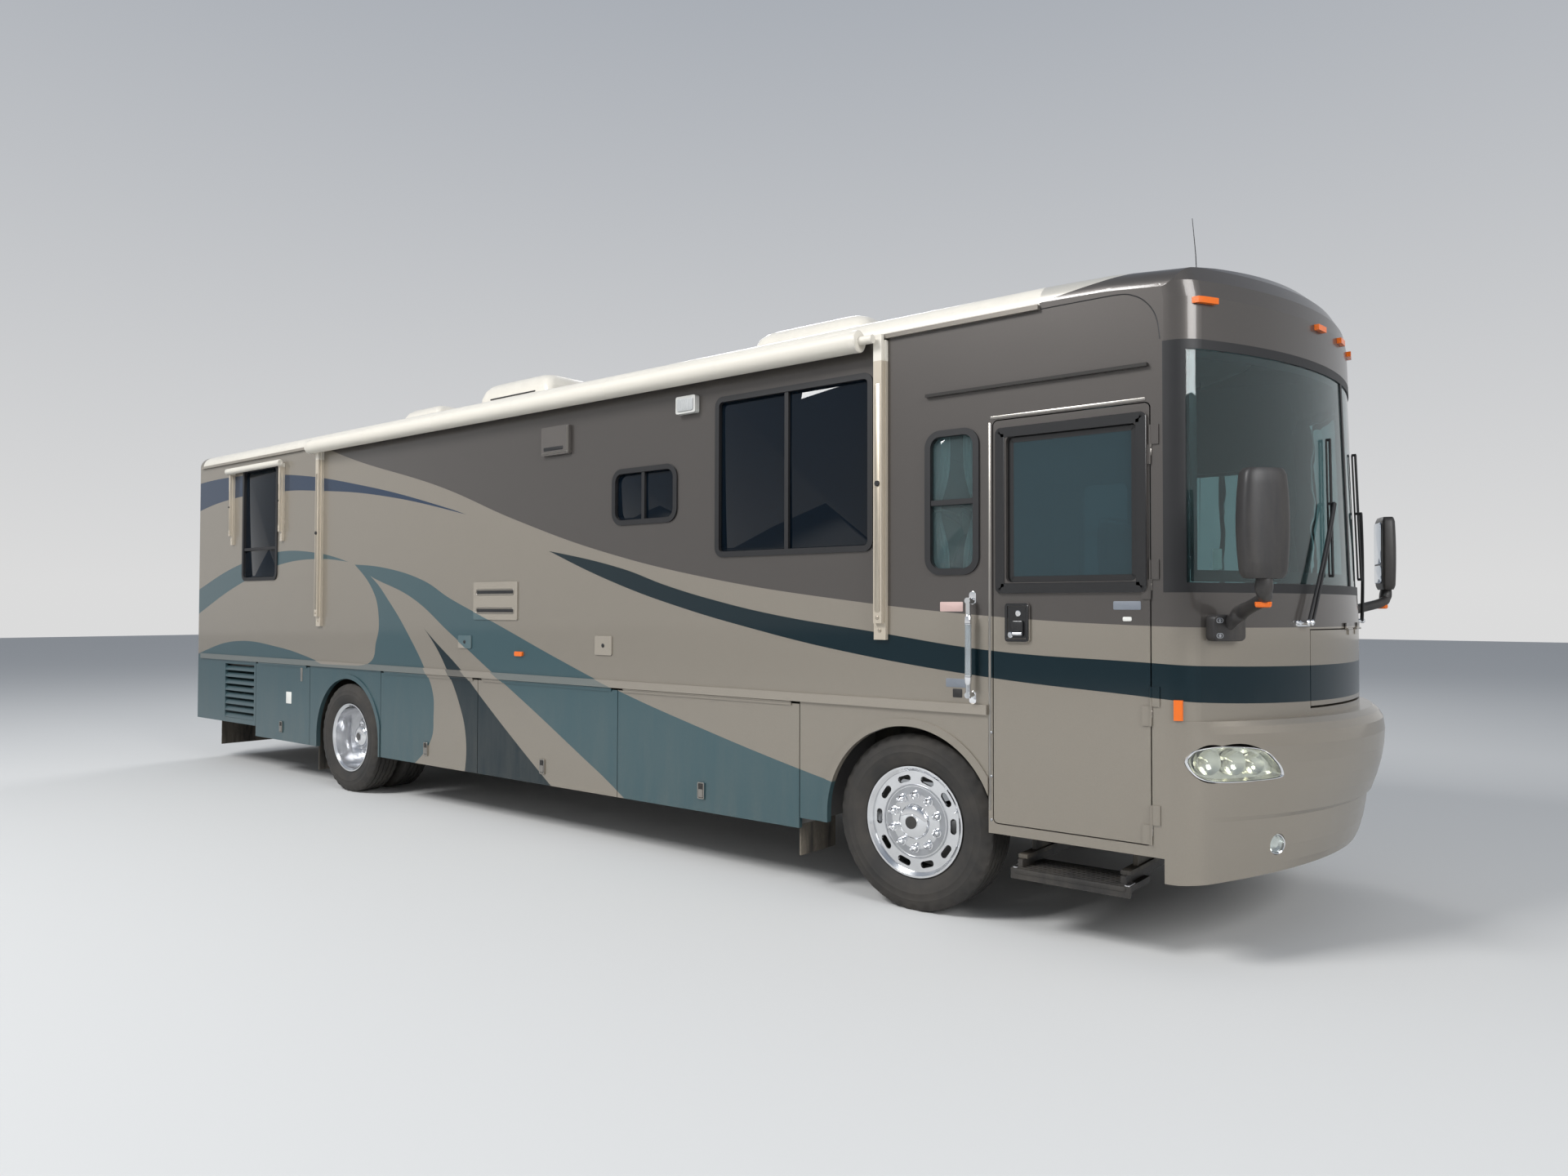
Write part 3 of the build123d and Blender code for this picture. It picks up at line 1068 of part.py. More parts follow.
# Knuckles: two ears round the kingpin, a back plate and the wheel spindle
SPINDLE_R = 42
AXLE_TUBE_R = 60
EAR_Z = BEAM_END_HIGH / 2 + SEAT
for side, word in ((-1, "right"), (1, "left")):
    with BuildPart() as knuckle:
        for z in (AXLE_Z + EAR_Z, AXLE_Z - EAR_Z - EAR):
            with BuildSketch(Plane.XY.offset(z)):
                with Locations((FRONT_AXLE_X, side * KINGPIN_Y)):
                    Circle(42)
                with Locations((FRONT_AXLE_X, side * (KINGPIN_Y + 36))):
                    Rectangle(84, 72)
                with Locations((FRONT_AXLE_X, side * KINGPIN_Y)):
                    Circle(PIN_R + PIN_PLAY, mode=Mode.SUBTRACT)
            extrude(amount=EAR)
        block(FRONT_AXLE_X - 45, FRONT_AXLE_X + 45, side * (KINGPIN_Y + 46), side * (KINGPIN_Y + 76),
              AXLE_Z - EAR_Z - EAR, AXLE_Z + EAR_Z + EAR)
        with BuildSketch(Plane.XZ.offset(-side * (KINGPIN_Y + 70))):
            with Locations((FRONT_AXLE_X, AXLE_Z)):
                Circle(SPINDLE_R)
        extrude(amount=-side * 100)
    save(knuckle.part, "knuckle_" + word)


def tyre_ring(x, outer_y, side):
    """One tyre, turned about its axle line: bead, bulged wall, shoulder and tread."""
    middle = outer_y - TYRE_WIDTH / 2
    half_tread = TREAD_WIDTH / 2
    half_wide = TYRE_WIDTH / 2
    half_bead = RIM_WIDTH / 2 - 13
    seat_r = BEAD_R + SEAT
    widest_r = (BEAD_R + TYRE_R) / 2
    shoulder_r = TYRE_R - 12
    with BuildPart() as ring:
        with BuildSketch(Plane(origin=(x, side * middle, AXLE_Z), x_dir=(0, 1, 0), z_dir=(1, 0, 0))):
            with BuildLine():
                Line((-half_bead, seat_r), (half_bead, seat_r))
                Line((half_bead, seat_r), (half_bead, FLANGE_R + 6))
                ThreePointArc((half_bead, FLANGE_R + 6), (half_wide, widest_r), (half_tread, shoulder_r))
                ThreePointArc((half_tread, shoulder_r), (half_tread - 8, TYRE_R - 3), (half_tread - 18, TYRE_R))
                Line((half_tread - 18, TYRE_R), (18 - half_tread, TYRE_R))
                ThreePointArc((18 - half_tread, TYRE_R), (8 - half_tread, TYRE_R - 3), (-half_tread, shoulder_r))
                ThreePointArc((-half_tread, shoulder_r), (-half_wide, widest_r), (-half_bead, FLANGE_R + 6))
                Line((-half_bead, FLANGE_R + 6), (-half_bead, seat_r))
            make_face()
        revolve(axis=Axis((x, 0, AXLE_Z), (0, 1, 0)))
    return ring.part


# Tyre outer faces stand 20 mm outside the rim's flange
BULGE = (TYRE_WIDTH - RIM_WIDTH) / 2
for side, word in ((-1, "right"), (1, "left")):
    with BuildPart() as front_tyre:
        add(tyre_ring(FRONT_AXLE_X, FRONT_RIM_Y + BULGE, side))
    save(front_tyre.part, "front_tyre_" + word)
    with BuildPart() as rear_tyres:
        for inward in (0, DUAL_SPACING):
            add(tyre_ring(REAR_AXLE_X, REAR_RIM_Y + BULGE - inward, side))
    save(rear_tyres.part, "rear_tyres_" + word)


def rim_section(outer_y, side, disc_y, hub_in, hub_out, bore):
    """Half the section of a disc wheel: barrel with flanges, disc, and hub about the axle line."""
    inner_y = outer_y - RIM_WIDTH
    with BuildLine() as outline:
        Polyline(
            (side * outer_y, FLANGE_R), (side * outer_y, FLANGE_R - 10), (side * (outer_y - 14), BEAD_R - 14),
            (side * (disc_y + 8), BEAD_R - 16), (side * (disc_y + 8), 150), (side * hub_out, 95),
            (side * hub_out, bore), (side * hub_in, bore), (side * hub_in, 105),
            (side * (disc_y - 8), 150), (side * (disc_y - 8), BEAD_R - 16),
            (side * inner_y, BEAD_R - 16), (side * inner_y, FLANGE_R), (side * (inner_y + 10), FLANGE_R),
            (side * (inner_y + 12), BEAD_R), (side * (outer_y - 12), BEAD_R), (side * (outer_y - 10), FLANGE_R),
            close=True)
    make_face(outline.edges())


HAND_HOLE_R = 232
REAR_DISC_Y = REAR_RIM_Y - 199
INNER_DISC_Y = REAR_RIM_Y - 371
for side, word in ((-1, "right"), (1, "left")):
    with BuildPart() as front_rim:
        with BuildSketch(Plane(origin=(FRONT_AXLE_X, 0, AXLE_Z), x_dir=(0, 1, 0), z_dir=(1, 0, 0))):
            rim_section(FRONT_RIM_Y, side, FRONT_RIM_Y - 32, FRONT_RIM_Y - 132, FRONT_RIM_Y - 12,
                        SPINDLE_R + PIN_PLAY)
        revolve(axis=Axis((FRONT_AXLE_X, 0, AXLE_Z), (0, 1, 0)))
        hub = (FRONT_AXLE_X, side * (FRONT_RIM_Y + 23), AXLE_Z)
        with BuildSketch(Plane(origin=hub, x_dir=(1, 0, 0), z_dir=(0, -side, 0))):
            with PolarLocations(HAND_HOLE_R, 10):
                SlotOverall(82, 36, rotation=90)
        extrude(amount=80, mode=Mode.SUBTRACT)
    save(front_rim.part, "front_rim_" + word)
    with BuildPart() as rear_rims:
        with BuildSketch(Plane(origin=(REAR_AXLE_X, 0, AXLE_Z), x_dir=(0, 1, 0), z_dir=(1, 0, 0))):
            rim_section(REAR_RIM_Y, side, REAR_DISC_Y, REAR_DISC_Y - 17, REAR_DISC_Y + 88,
                        AXLE_TUBE_R + PIN_PLAY)
        revolve(axis=Axis((REAR_AXLE_X, 0, AXLE_Z), (0, 1, 0)))
        with BuildSketch(Plane(origin=(REAR_AXLE_X, 0, AXLE_Z), x_dir=(0, 1, 0), z_dir=(1, 0, 0))):
            rim_section(REAR_RIM_Y - DUAL_SPACING, side, INNER_DISC_Y, INNER_DISC_Y - 10, REAR_DISC_Y - 17,
                        AXLE_TUBE_R + PIN_PLAY)
        revolve(axis=Axis((REAR_AXLE_X, 0, AXLE_Z), (0, 1, 0)))
    save(rear_rims.part, "rear_rims_" + word)

# Rear axle: banjo housing, tubes and air springs
AXLE_END_Y = REAR_DISC_Y + 78
BANJO_R = 200
BANJO_HALF = 120
PERCH = 70
with BuildPart() as rear_axle:
    with BuildSketch(Plane.YZ.offset(REAR_AXLE_X - BANJO_HALF)):
        with Locations((0, AXLE_Z)):
            Circle(BANJO_R)
    extrude(amount=2 * BANJO_HALF)
    fillet(rear_axle.edges().filter_by(GeomType.CIRCLE), 50)
    with BuildSketch(Plane.XZ.offset(-AXLE_END_Y)):
        with Locations((REAR_AXLE_X, AXLE_Z)):
            Circle(AXLE_TUBE_R)
    extrude(amount=2 * AXLE_END_Y)
    for side in (-1, 1):
        block(REAR_AXLE_X - PERCH, REAR_AXLE_X + PERCH, side * (RAIL_Y - PERCH), side * (RAIL_Y + PERCH),
              AXLE_Z + 45, AXLE_Z + 85)
        with BuildSketch(Plane.XY.offset(AXLE_Z + 65)):
            with Locations((REAR_AXLE_X, side * RAIL_Y)):
                Circle(SPRING_R)
        extrude(amount=RAIL_LOW - AXLE_Z - 65)
save(rear_axle.part, "rear_axle")

# Lamps: clearance lamps on the brow, side and corner markers, tail lamps. The clearance lamps are cut
# from a band round the nose, and the cap itself moved forward and back trims their faces
CLEARANCE_Z = 3026
CLEARANCE_Y = [-HALF_W + 92, -354, 0, 354, HALF_W - 92]
LAMP_PROUD = 22
MARKER_Z = 1286
TAIL_Y0 = HALF_W - 199
TAIL_Y1 = HALF_W - 79
CORNER_LAMP_X = SEAM_X + 46
CORNER_LAMP_LONG = 35
CORNER_LAMP_HIGH = 92
CORNER_LAMP_PROUD = 12
cap_ahead = Pos(SEAT, 0, 0) * cap_solid


def corner_lamps():
    """Upright marker lamps that follow the nose corners above the bumper."""
    with BuildPart() as lamps:
        with BuildSketch(Plane.XY.offset(SHELF_Z + 4)):
            nose_outline(SEAM_X, NOSE_X, inset=-CORNER_LAMP_PROUD)
            nose_outline(SEAM_X - 10, NOSE_X, inset=-SEAT, mode=Mode.SUBTRACT)
        extrude(amount=CORNER_LAMP_HIGH)
        block(CORNER_LAMP_X, CORNER_LAMP_X + CORNER_LAMP_LONG, -BODY_WIDTH, BODY_WIDTH, SHELF_Z,
              SHELF_Z + 2 * CORNER_LAMP_HIGH, mode=Mode.INTERSECT)
    return lamps.part


with BuildPart() as marker_lamps:
    with BuildSketch(Plane.XY.offset(CLEARANCE_Z - 14)):
        nose_outline(SEAM_X, nose_front(CLEARANCE_Z), inset=-LAMP_PROUD)
    extrude(amount=28)
    with BuildSketch(Plane.YZ.offset(SEAM_X + 50)):
        for y in CLEARANCE_Y:
            with Locations((y, CLEARANCE_Z)):
                Rectangle(96, 40)
    extrude(amount=1000, mode=Mode.INTERSECT)
    add(cap_ahead, mode=Mode.SUBTRACT)
    add(cap_solid, mode=Mode.SUBTRACT)
    for side, x in ((-1, 157), (1, -1500)):
        with BuildSketch(side_plane(side, SEAT)):
            panel(x - 45, x + 45, MARKER_Z - 17, MARKER_Z + 17, 10)
        extrude(amount=-side * 16)
    add(corner_lamps())
    for side in (-1, 1):
        for z in (1690, 840):
            block(REAR_FACE_X - 25, REAR_FACE_X - SEAT, side * TAIL_Y0, side * TAIL_Y1, z, z + 260)
save(marker_lamps.part, "marker_lamps")

# Side fittings on the door side: vents, porch lamp, covers and the grab handle. Rows: x0, x1, z0, z1,
# how far it stands out
FITTINGS = [
    (-413, 133, 1534, 1821, 8),
    (425, 728, 2716, 2921, 26),
    (1795, 1964, 2860, 2970, 40),
    (-610, -440, 1310, 1410, 8),
    (995, 1165, 1304, 1434, 8),
]
HANDLE_X = DOOR_REAR_X - 116
HANDLE_OFF = 50
HANDLE_R = 14
HANDLE_FEET = [1185, 1665]
with BuildPart() as side_fittings:
    for x0, x1, z0, z1, proud in FITTINGS:
        with BuildSketch(side_plane(-1, SEAT)):
            panel(x0, x1, z0, z1, 12)
        extrude(amount=proud)
    for z in HANDLE_FEET:
        with BuildSketch(side_plane(-1, SEAT)):
            with Locations((HANDLE_X, z)):
                Circle(HANDLE_R + 2)
        extrude(amount=HANDLE_OFF + 12)
    with BuildSketch(Plane.XY.offset(HANDLE_FEET[0] - 15)):
        with Locations((HANDLE_X, -HALF_W - SEAT - HANDLE_OFF)):
            Circle(HANDLE_R)
    extrude(amount=HANDLE_FEET[1] - HANDLE_FEET[0] + 30)
save(side_fittings.part, "side_fittings")

# Cab: dash, steering column, wheel and seats
COLUMN_LONG = 330
HUB_THICK = 26
WHEEL_R = 215
with BuildPart() as dashboard:
    with BuildSketch(Plane.XY.offset(FLOOR_TOP)):
        nose_outline(SEAM_X - 60, NOSE_X, inset=NOSE_THICK + PLAY)
    extrude(amount=GLASS_LOW - FLOOR_TOP)
    with BuildSketch(Plane.XZ.offset(-INNER_W + 1)):
        with BuildLine():
            Polyline((SEAM_X - 20, FLOOR_TOP), (SEAM_X + 250, FLOOR_TOP), (SEAM_X + 600, 1500),
                     (SEAM_X + 600, 1600), (SEAM_X + 60, 1620), (SEAM_X - 55, 1480), close=True)
        make_face()
    extrude(amount=2 * INNER_W - 2, mode=Mode.INTERSECT)
    column = Plane(origin=(SEAM_X + 40, 620, 1440), z_dir=(-0.64, 0, 0.77))
    with BuildSketch(column):
        Circle(34)
    extrude(amount=COLUMN_LONG)
save(dashboard.part, "dashboard")

with BuildPart() as steering_wheel:
    hub = column.offset(COLUMN_LONG + SEAT)
    middle = hub.origin + hub.z_dir * HUB_THICK / 2
    with BuildSketch(hub):
        Circle(50)
        Rectangle(400, 34)
    extrude(amount=HUB_THICK)
    with BuildSketch(Plane(origin=middle + hub.x_dir * WHEEL_R, x_dir=hub.x_dir, z_dir=hub.y_dir)):
        Circle(17)
    revolve(axis=Axis(middle, hub.z_dir))
save(steering_wheel.part, "steering_wheel")

SEATS = [(4180, 620), (3550, -650)]
with BuildPart() as cab_seats:
    for x, y in SEATS:
        block(x - 150, x + 150, y - 150, y + 150, FLOOR_TOP, 1430)
        block(x - 260, x + 260, y - 260, y + 260, 1430, 1570)
        block(x - 330, x - 200, y - 250, y + 250, 1560, 2250)
        for side in (-1, 1):
            block(x - 240, x + 140, y + side * 262, y + side * 322, 1740, 1800)
            block(x - 300, x - 220, y + side * 240, y + side * 322, 1720, 1800)
save(cab_seats.part, "cab_seats")

with BuildPart() as curtains:
    for x in (3660, 3850):
        block(x - 40, x + 60, -INNER_W + SEAT, -INNER_W + 30, 1780, 2580)
save(curtains.part, "curtains")
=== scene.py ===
# %% [markdown]
# # A full-size motorhome
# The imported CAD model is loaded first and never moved. Everything that follows is its finish: paint,
# glass, rubber, polished wheels, cloth, and the small fittings that are too fine for the CAD model.
# All places are in metres: +X is forward, +Y is the driver's left and +Z is up.

import math

import bmesh
import bpy
from mathutils import Matrix, Vector


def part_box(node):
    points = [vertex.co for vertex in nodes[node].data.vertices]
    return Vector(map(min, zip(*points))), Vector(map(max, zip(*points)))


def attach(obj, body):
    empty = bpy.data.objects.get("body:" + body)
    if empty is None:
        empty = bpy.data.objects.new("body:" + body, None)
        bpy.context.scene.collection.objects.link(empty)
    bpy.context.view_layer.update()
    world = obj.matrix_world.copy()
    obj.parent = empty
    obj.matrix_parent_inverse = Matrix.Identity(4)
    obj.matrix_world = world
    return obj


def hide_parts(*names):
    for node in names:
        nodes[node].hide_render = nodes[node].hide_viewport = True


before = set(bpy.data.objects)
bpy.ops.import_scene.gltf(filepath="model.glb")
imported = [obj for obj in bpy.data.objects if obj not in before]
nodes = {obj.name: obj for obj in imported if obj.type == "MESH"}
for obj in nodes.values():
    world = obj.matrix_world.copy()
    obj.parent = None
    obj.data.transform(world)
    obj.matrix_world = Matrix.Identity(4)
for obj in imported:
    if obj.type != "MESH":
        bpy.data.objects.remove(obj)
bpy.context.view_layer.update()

# %% [markdown]
# ## Camera
# The photograph was taken from about 5 m in front of the door side with a wide lens. The place, the
# heading and the lens were worked out from the wheels and the body's edges, so the camera is set by
# plain numbers and comes before anything is modelled.

# %% Camera
EYE = Vector((6.462, -6.045, 1.621))
HEADING = math.radians(128.69)
UPWARD = math.radians(1.16)
ROLL = math.radians(0.13)
FOCAL_PIXELS = 1269.4
PHOTO_WIDTH = 1920


def make_camera():
    """A camera that stands where the photograph was taken from."""
    camera = bpy.data.objects.new("photo_camera", bpy.data.cameras.new("photo_camera"))
    bpy.context.scene.collection.objects.link(camera)
    ahead = Vector((math.cos(HEADING) * math.cos(UPWARD), math.sin(HEADING) * math.cos(UPWARD),
                    math.sin(UPWARD)))
    turn = ahead.to_track_quat("-Z", "Y")
    camera.rotation_mode = "QUATERNION"
    camera.rotation_quaternion = turn @ Matrix.Rotation(ROLL, 3, "Z").to_quaternion()
    camera.location = EYE
    camera.data.sensor_width = 36.0
    camera.data.lens = FOCAL_PIXELS / PHOTO_WIDTH * camera.data.sensor_width
    camera.data.clip_end = 200
    bpy.context.scene.camera = camera
    return camera


camera = make_camera()
print("lens", round(camera.data.lens, 2), "mm")

# %% [markdown]
# ## Node helpers
# Materials are made with nodes. These helpers only save typing: one adds a node and fills its sockets,
# one starts a shader group with named inputs and outputs, and one starts a material that has a
# Principled shader in it.

# %% Node helpers


def add_node(tree, kind, **values):
    """Adds a shader node. Names of sockets are given with _ for a space; a socket or a value may be given."""
    made = tree.nodes.new("ShaderNode" + kind)
    for key, value in values.items():
        if hasattr(made, key) and key not in made.inputs:
            setattr(made, key, value)
            continue
        socket = made.inputs[key.replace("_", " ")] if isinstance(key, str) else made.inputs[key]
        feed(tree, socket, value)
    return made


def feed(tree, socket, value):
    """Links a socket to an output, or sets its plain value."""
    if isinstance(value, bpy.types.NodeSocket):
        tree.links.new(value, socket)
    else:
        socket.default_value = value


def math_node(tree, operation, first, second=None, third=None, clamp=False):
    """A Math node's output."""
    made = tree.nodes.new("ShaderNodeMath")
    made.operation = operation
    made.use_clamp = clamp
    for index, value in enumerate((first, second, third)):
        if value is not None:
            feed(tree, made.inputs[index], value)
    return made.outputs[0]


def mix_color(tree, factor, first, second, blend="MIX"):
    """A colour Mix node's output."""
    made = tree.nodes.new("ShaderNodeMix")
    made.data_type = "RGBA"
    made.blend_type = blend
    feed(tree, made.inputs[0], factor)
    feed(tree, made.inputs[6], first)
    feed(tree, made.inputs[7], second)
    return made.outputs[2]


def mix_value(tree, factor, first, second):
    """A float Mix node's output."""
    made = tree.nodes.new("ShaderNodeMix")
    feed(tree, made.inputs[0], factor)
    feed(tree, made.inputs[2], first)
    feed(tree, made.inputs[3], second)
    return made.outputs[0]


def remap(tree, value, low, high, to_low=0.0, to_high=1.0):
    """A clamped Map Range node's output."""
    made = tree.nodes.new("ShaderNodeMapRange")
    for index, part in enumerate((value, low, high, to_low, to_high)):
        feed(tree, made.inputs[index], part)
    return made.outputs[0]


def new_group(name, inputs, outputs):
    """A shader node group with named sockets. Rows are: socket name, type, default value."""
    tree = bpy.data.node_groups.new(name, "ShaderNodeTree")
    for label, kind, default in inputs:
        socket = tree.interface.new_socket(label, in_out="INPUT", socket_type="NodeSocket" + kind)
        if default is not None:
            socket.default_value = default
    for label, kind in outputs:
        tree.interface.new_socket(label, in_out="OUTPUT", socket_type="NodeSocket" + kind)
    return tree, tree.nodes.new("NodeGroupInput"), tree.nodes.new("NodeGroupOutput")


def use_group(tree, group, **values):
    """Places a group in a tree and fills its sockets."""
    made = tree.nodes.new("ShaderNodeGroup")
    made.node_tree = group
    for key, value in values.items():
        feed(tree, made.inputs[key.replace("_", " ")], value)
    return made


def new_material(name):
    """A material with an empty Principled shader: returns the material, its tree and the shader."""
    material = bpy.data.materials.new(name)
    material.use_nodes = True
    tree = material.node_tree
    return material, tree, tree.nodes["Principled BSDF"]


def add_bump(tree, shader, height, strength, distance):
    """Gives the shader a normal that follows a height."""
    bump = add_node(tree, "Bump", Height=height, Strength=strength, Distance=distance)
    feed(tree, shader.inputs["Normal"], bump.outputs["Normal"])


def srgb(red, green, blue):
    """A screen colour, 0 to 255, as the linear colour that a shader takes."""
    return tuple(((c / 255 + 0.055) / 1.055) ** 2.4 if c > 10 else c / 255 / 12.92 for c in
                 (red, green, blue)) + (1.0,)


print("helpers ready")

# %% [markdown]
# ## Shared effects
# Nearly every finish on a vehicle that has stood outdoors has the same three things on it: a film of
# dust that is thickest low down, a fine grain, and a slight waviness. Each is a
# node group, built once and placed in each material with its own values.

# %% Shared effects
DUST_DARK, DUST_PALE = srgb(122, 112, 98), srgb(154, 145, 130)


def object_place(tree):
    """The position on the piece at rest, so that a finish stays put when a door swings."""
    return tree.nodes.new("ShaderNodeTexCoord").outputs["Object"]


def build_dust_group():
    """Dust: a mask that grows towards the ground, broken up by noise."""
    tree, start, end = new_group(
        "road_dust",
        [("Place", "Vector", None), ("Low", "Float", 0.3), ("High", "Float", 1.6), ("Amount", "Float", 0.3)],
        [("Mask", "Float"), ("Color", "Color")])
    axis = add_node(tree, "SeparateXYZ", Vector=start.outputs["Place"])
    height = remap(tree, axis.outputs["Z"], start.outputs["Low"], start.outputs["High"], 1.0, 0.0)
    streak_place = add_node(tree, "VectorMath", operation="MULTIPLY")
    feed(tree, streak_place.inputs[0], start.outputs["Place"])
    streak_place.inputs[1].default_value = (7.0, 7.0, 1.2)
    cloud = add_node(tree, "TexNoise", Vector=streak_place.outputs[0], Scale=1.3, Detail=6.0, Roughness=0.62)
    broken = remap(tree, cloud.outputs["Fac"], 0.3, 0.72)
    mask = math_node(tree, "MULTIPLY", height, broken)
    feed(tree, end.inputs["Mask"], math_node(tree, "MULTIPLY", mask, start.outputs["Amount"], clamp=True))
    fine = add_node(tree, "TexNoise", Vector=start.outputs["Place"], Scale=60.0, Detail=3.0)
    feed(tree, end.inputs["Color"], mix_color(tree, fine.outputs["Fac"], DUST_DARK, DUST_PALE))
    return tree


def build_wave_group():
    """Waviness: the height of a sheet that is never quite flat, with fine orange peel on it."""
    tree, start, end = new_group(
        "sheet_wave", [("Place", "Vector", None), ("Long", "Float", 1.0), ("Fine", "Float", 0.15)],
        [("Height", "Float")])
    broad = add_node(tree, "TexNoise", Vector=start.outputs["Place"], Scale=2.2, Detail=1.0)
    peel = add_node(tree, "TexNoise", Vector=start.outputs["Place"], Scale=260.0, Detail=1.0)
    broad_part = math_node(tree, "MULTIPLY", broad.outputs["Fac"], start.outputs["Long"])
    peel_part = math_node(tree, "MULTIPLY", peel.outputs["Fac"], start.outputs["Fine"])
    feed(tree, end.inputs["Height"], math_node(tree, "ADD", broad_part, peel_part))
    return tree


def build_grain_group():
    """Grain: fine mottling in colour and roughness, for moulded plastic, rubber and cast metal."""
    tree, start, end = new_group(
        "moulded_grain",
        [("Place", "Vector", None), ("Scale", "Float", 300.0), ("Color", "Color", (0.1, 0.1, 0.1, 1.0)),
         ("Vary", "Float", 0.15), ("Roughness", "Float", 0.5)],
        [("Color", "Color"), ("Roughness", "Float"), ("Height", "Float")])
    grain = add_node(tree, "TexNoise", Vector=start.outputs["Place"], Scale=start.outputs["Scale"],
                     Detail=3.0)
    blotch = add_node(tree, "TexNoise", Vector=start.outputs["Place"], Scale=9.0, Detail=4.0)
    both = math_node(tree, "MULTIPLY_ADD", blotch.outputs["Fac"], 0.7,
                     math_node(tree, "MULTIPLY", grain.outputs["Fac"], 0.3))
    swing = math_node(tree, "MULTIPLY", math_node(tree, "SUBTRACT", both, 0.5), start.outputs["Vary"])
    lighter = add_node(tree, "HueSaturation", Color=start.outputs["Color"],
                       Value=math_node(tree, "MULTIPLY_ADD", swing, 4.0, 1.0))
    feed(tree, end.inputs["Color"], lighter.outputs["Color"])
    feed(tree, end.inputs["Roughness"], math_node(tree, "ADD", start.outputs["Roughness"], swing, clamp=True))
    feed(tree, end.inputs["Height"], grain.outputs["Fac"])
    return tree


dust_group = build_dust_group()
wave_group = build_wave_group()
grain_group = build_grain_group()


def add_dust(tree, shader, place, color, low, high, amount):
    """Feeds the base colour with a colour under a film of dust, and returns the film's mask."""
    film = use_group(tree, dust_group, Place=place, Low=low, High=high, Amount=amount)
    mask = film.outputs["Mask"]
    feed(tree, shader.inputs["Base Color"], mix_color(tree, mask, color, film.outputs["Color"]))
    return mask


print("groups", [g.name for g in bpy.data.node_groups])

# %% [markdown]
# ## The paint scheme
# The real body is sprayed in bands: charcoal above, taupe below, and long swooshes of teal, dark teal
# and blue. Each edge of a band is a curve that runs along the body, so it can be written as a few
# points of height against length and put into a Float Curve node. A point of the paint is inside a
# band when it is under its upper curve and over its lower one. The sails stand up, so their edges
# are written the other way round, as length against height.

# %% The paint scheme
BODY_SPAN, HEIGHT_SPAN = (-5.6, 5.6), (0.0, 3.4)
# Edges along the body, as (x, z) points
CHARCOAL_EDGE = [(-3.1, 3.22), (-2.33, 2.963), (-0.86, 2.588), (0.1, 2.277), (1.1, 2.002), (2.08, 1.808),
                 (3.01, 1.681), (4.02, 1.585), (4.8, 1.547), (5.6, 1.54)]
BLUE_TOP = [(-5.6, 2.94), (-4.67, 2.965), (-3.43, 2.894), (-2.06, 2.691), (-0.75, 2.411), (-0.53, 2.353)]
BLUE_LOW = [(-5.6, 2.62), (-4.67, 2.735), (-3.43, 2.739), (-2.89, 2.703), (-1.9, 2.602), (-0.53, 2.353)]
ARCH_TOP = [(-5.6, 1.74), (-5.28, 1.844), (-4.4, 2.063), (-3.61, 2.162), (-2.9, 2.132), (-2.3, 2.03)]
ARCH_LOW = [(-5.6, 1.47), (-5.27, 1.594), (-4.34, 1.882), (-3.58, 2.036), (-2.9, 2.072), (-2.3, 2.03)]
HUMP_TOP = [(-5.6, 1.05), (-5.22, 1.166), (-4.45, 1.284), (-3.6, 1.245), (-2.99, 1.163), (-2.6, 1.08)]
HUMP_LOW = [(-5.6, 0.9), (-2.6, 0.9)]
ARM_TOP = [(-2.19, 2.003), (-1.7, 1.963), (-1.13, 1.851), (-0.74, 1.70), (-0.14, 1.507), (0.61, 1.258),
           (1.23, 1.068), (1.92, 0.891), (2.74, 0.702), (3.2, 0.61), (4.0, 0.46)]
ARM_LOW = [(-2.19, 2.003), (-1.93, 1.898), (-1.31, 1.718), (-0.73, 1.423), (-0.2, 1.146), (0.36, 0.859),
           (0.83, 0.61), (1.15, 0.439), (1.45, 0.25)]
DARK_TOP = [(0.49, 2.033), (1.25, 1.892), (1.68, 1.771), (2.08, 1.679), (2.57, 1.589), (3.28, 1.498),
            (4.02, 1.411), (4.8, 1.378), (5.2, 1.36), (5.6, 1.35)]
DARK_LOW = [(0.49, 2.033), (1.25, 1.776), (1.82, 1.627), (2.33, 1.518), (3.06, 1.388), (4.01, 1.274),
            (4.8, 1.22), (5.2, 1.19), (5.6, 1.18)]
# Edges of the standing sails, as (z, x) points
SAIL_REAR = [(0.3, -5.6), (1.08, -5.6), (1.12, -2.02), (1.344, -1.82), (1.56, -1.79), (1.778, -1.89),
             (2.003, -2.19)]
SAIL_FRONT = [(0.3, -1.3), (0.552, -0.99), (0.758, -0.95), (0.96, -0.97), (1.139, -1.09), (1.374, -1.3),
              (1.665, -1.61), (1.898, -1.93), (2.003, -2.19)]
BLADE_REAR = [(0.3, -0.53), (0.628, -0.51), (0.894, -0.61), (1.144, -0.78), (1.36, -0.98), (1.57, -1.26)]
BLADE_FRONT = [(0.3, 0.61), (0.638, 0.11), (0.93, -0.3), (1.138, -0.58), (1.393, -1.0), (1.57, -1.26)]

print("edges of the bands drawn")

# %% [markdown]
# ### Colours of the paint
# They are written as screen colours, which the helper makes linear for the shader.

# %% Colours of the paint
CHARCOAL = srgb(84, 80, 77)
TAUPE = srgb(144, 137, 126)
TEAL = srgb(66, 92, 98)
DARK_TEAL = srgb(4, 32, 40)
BLUE = srgb(24, 50, 78)
CREAM = srgb(214, 209, 198)
# The low part of the long arm has no lower edge on the lids, so it is filled from here to the front wheel
ARM_FILL_FROM, ARM_FILL_TO = 0.6, 4.0
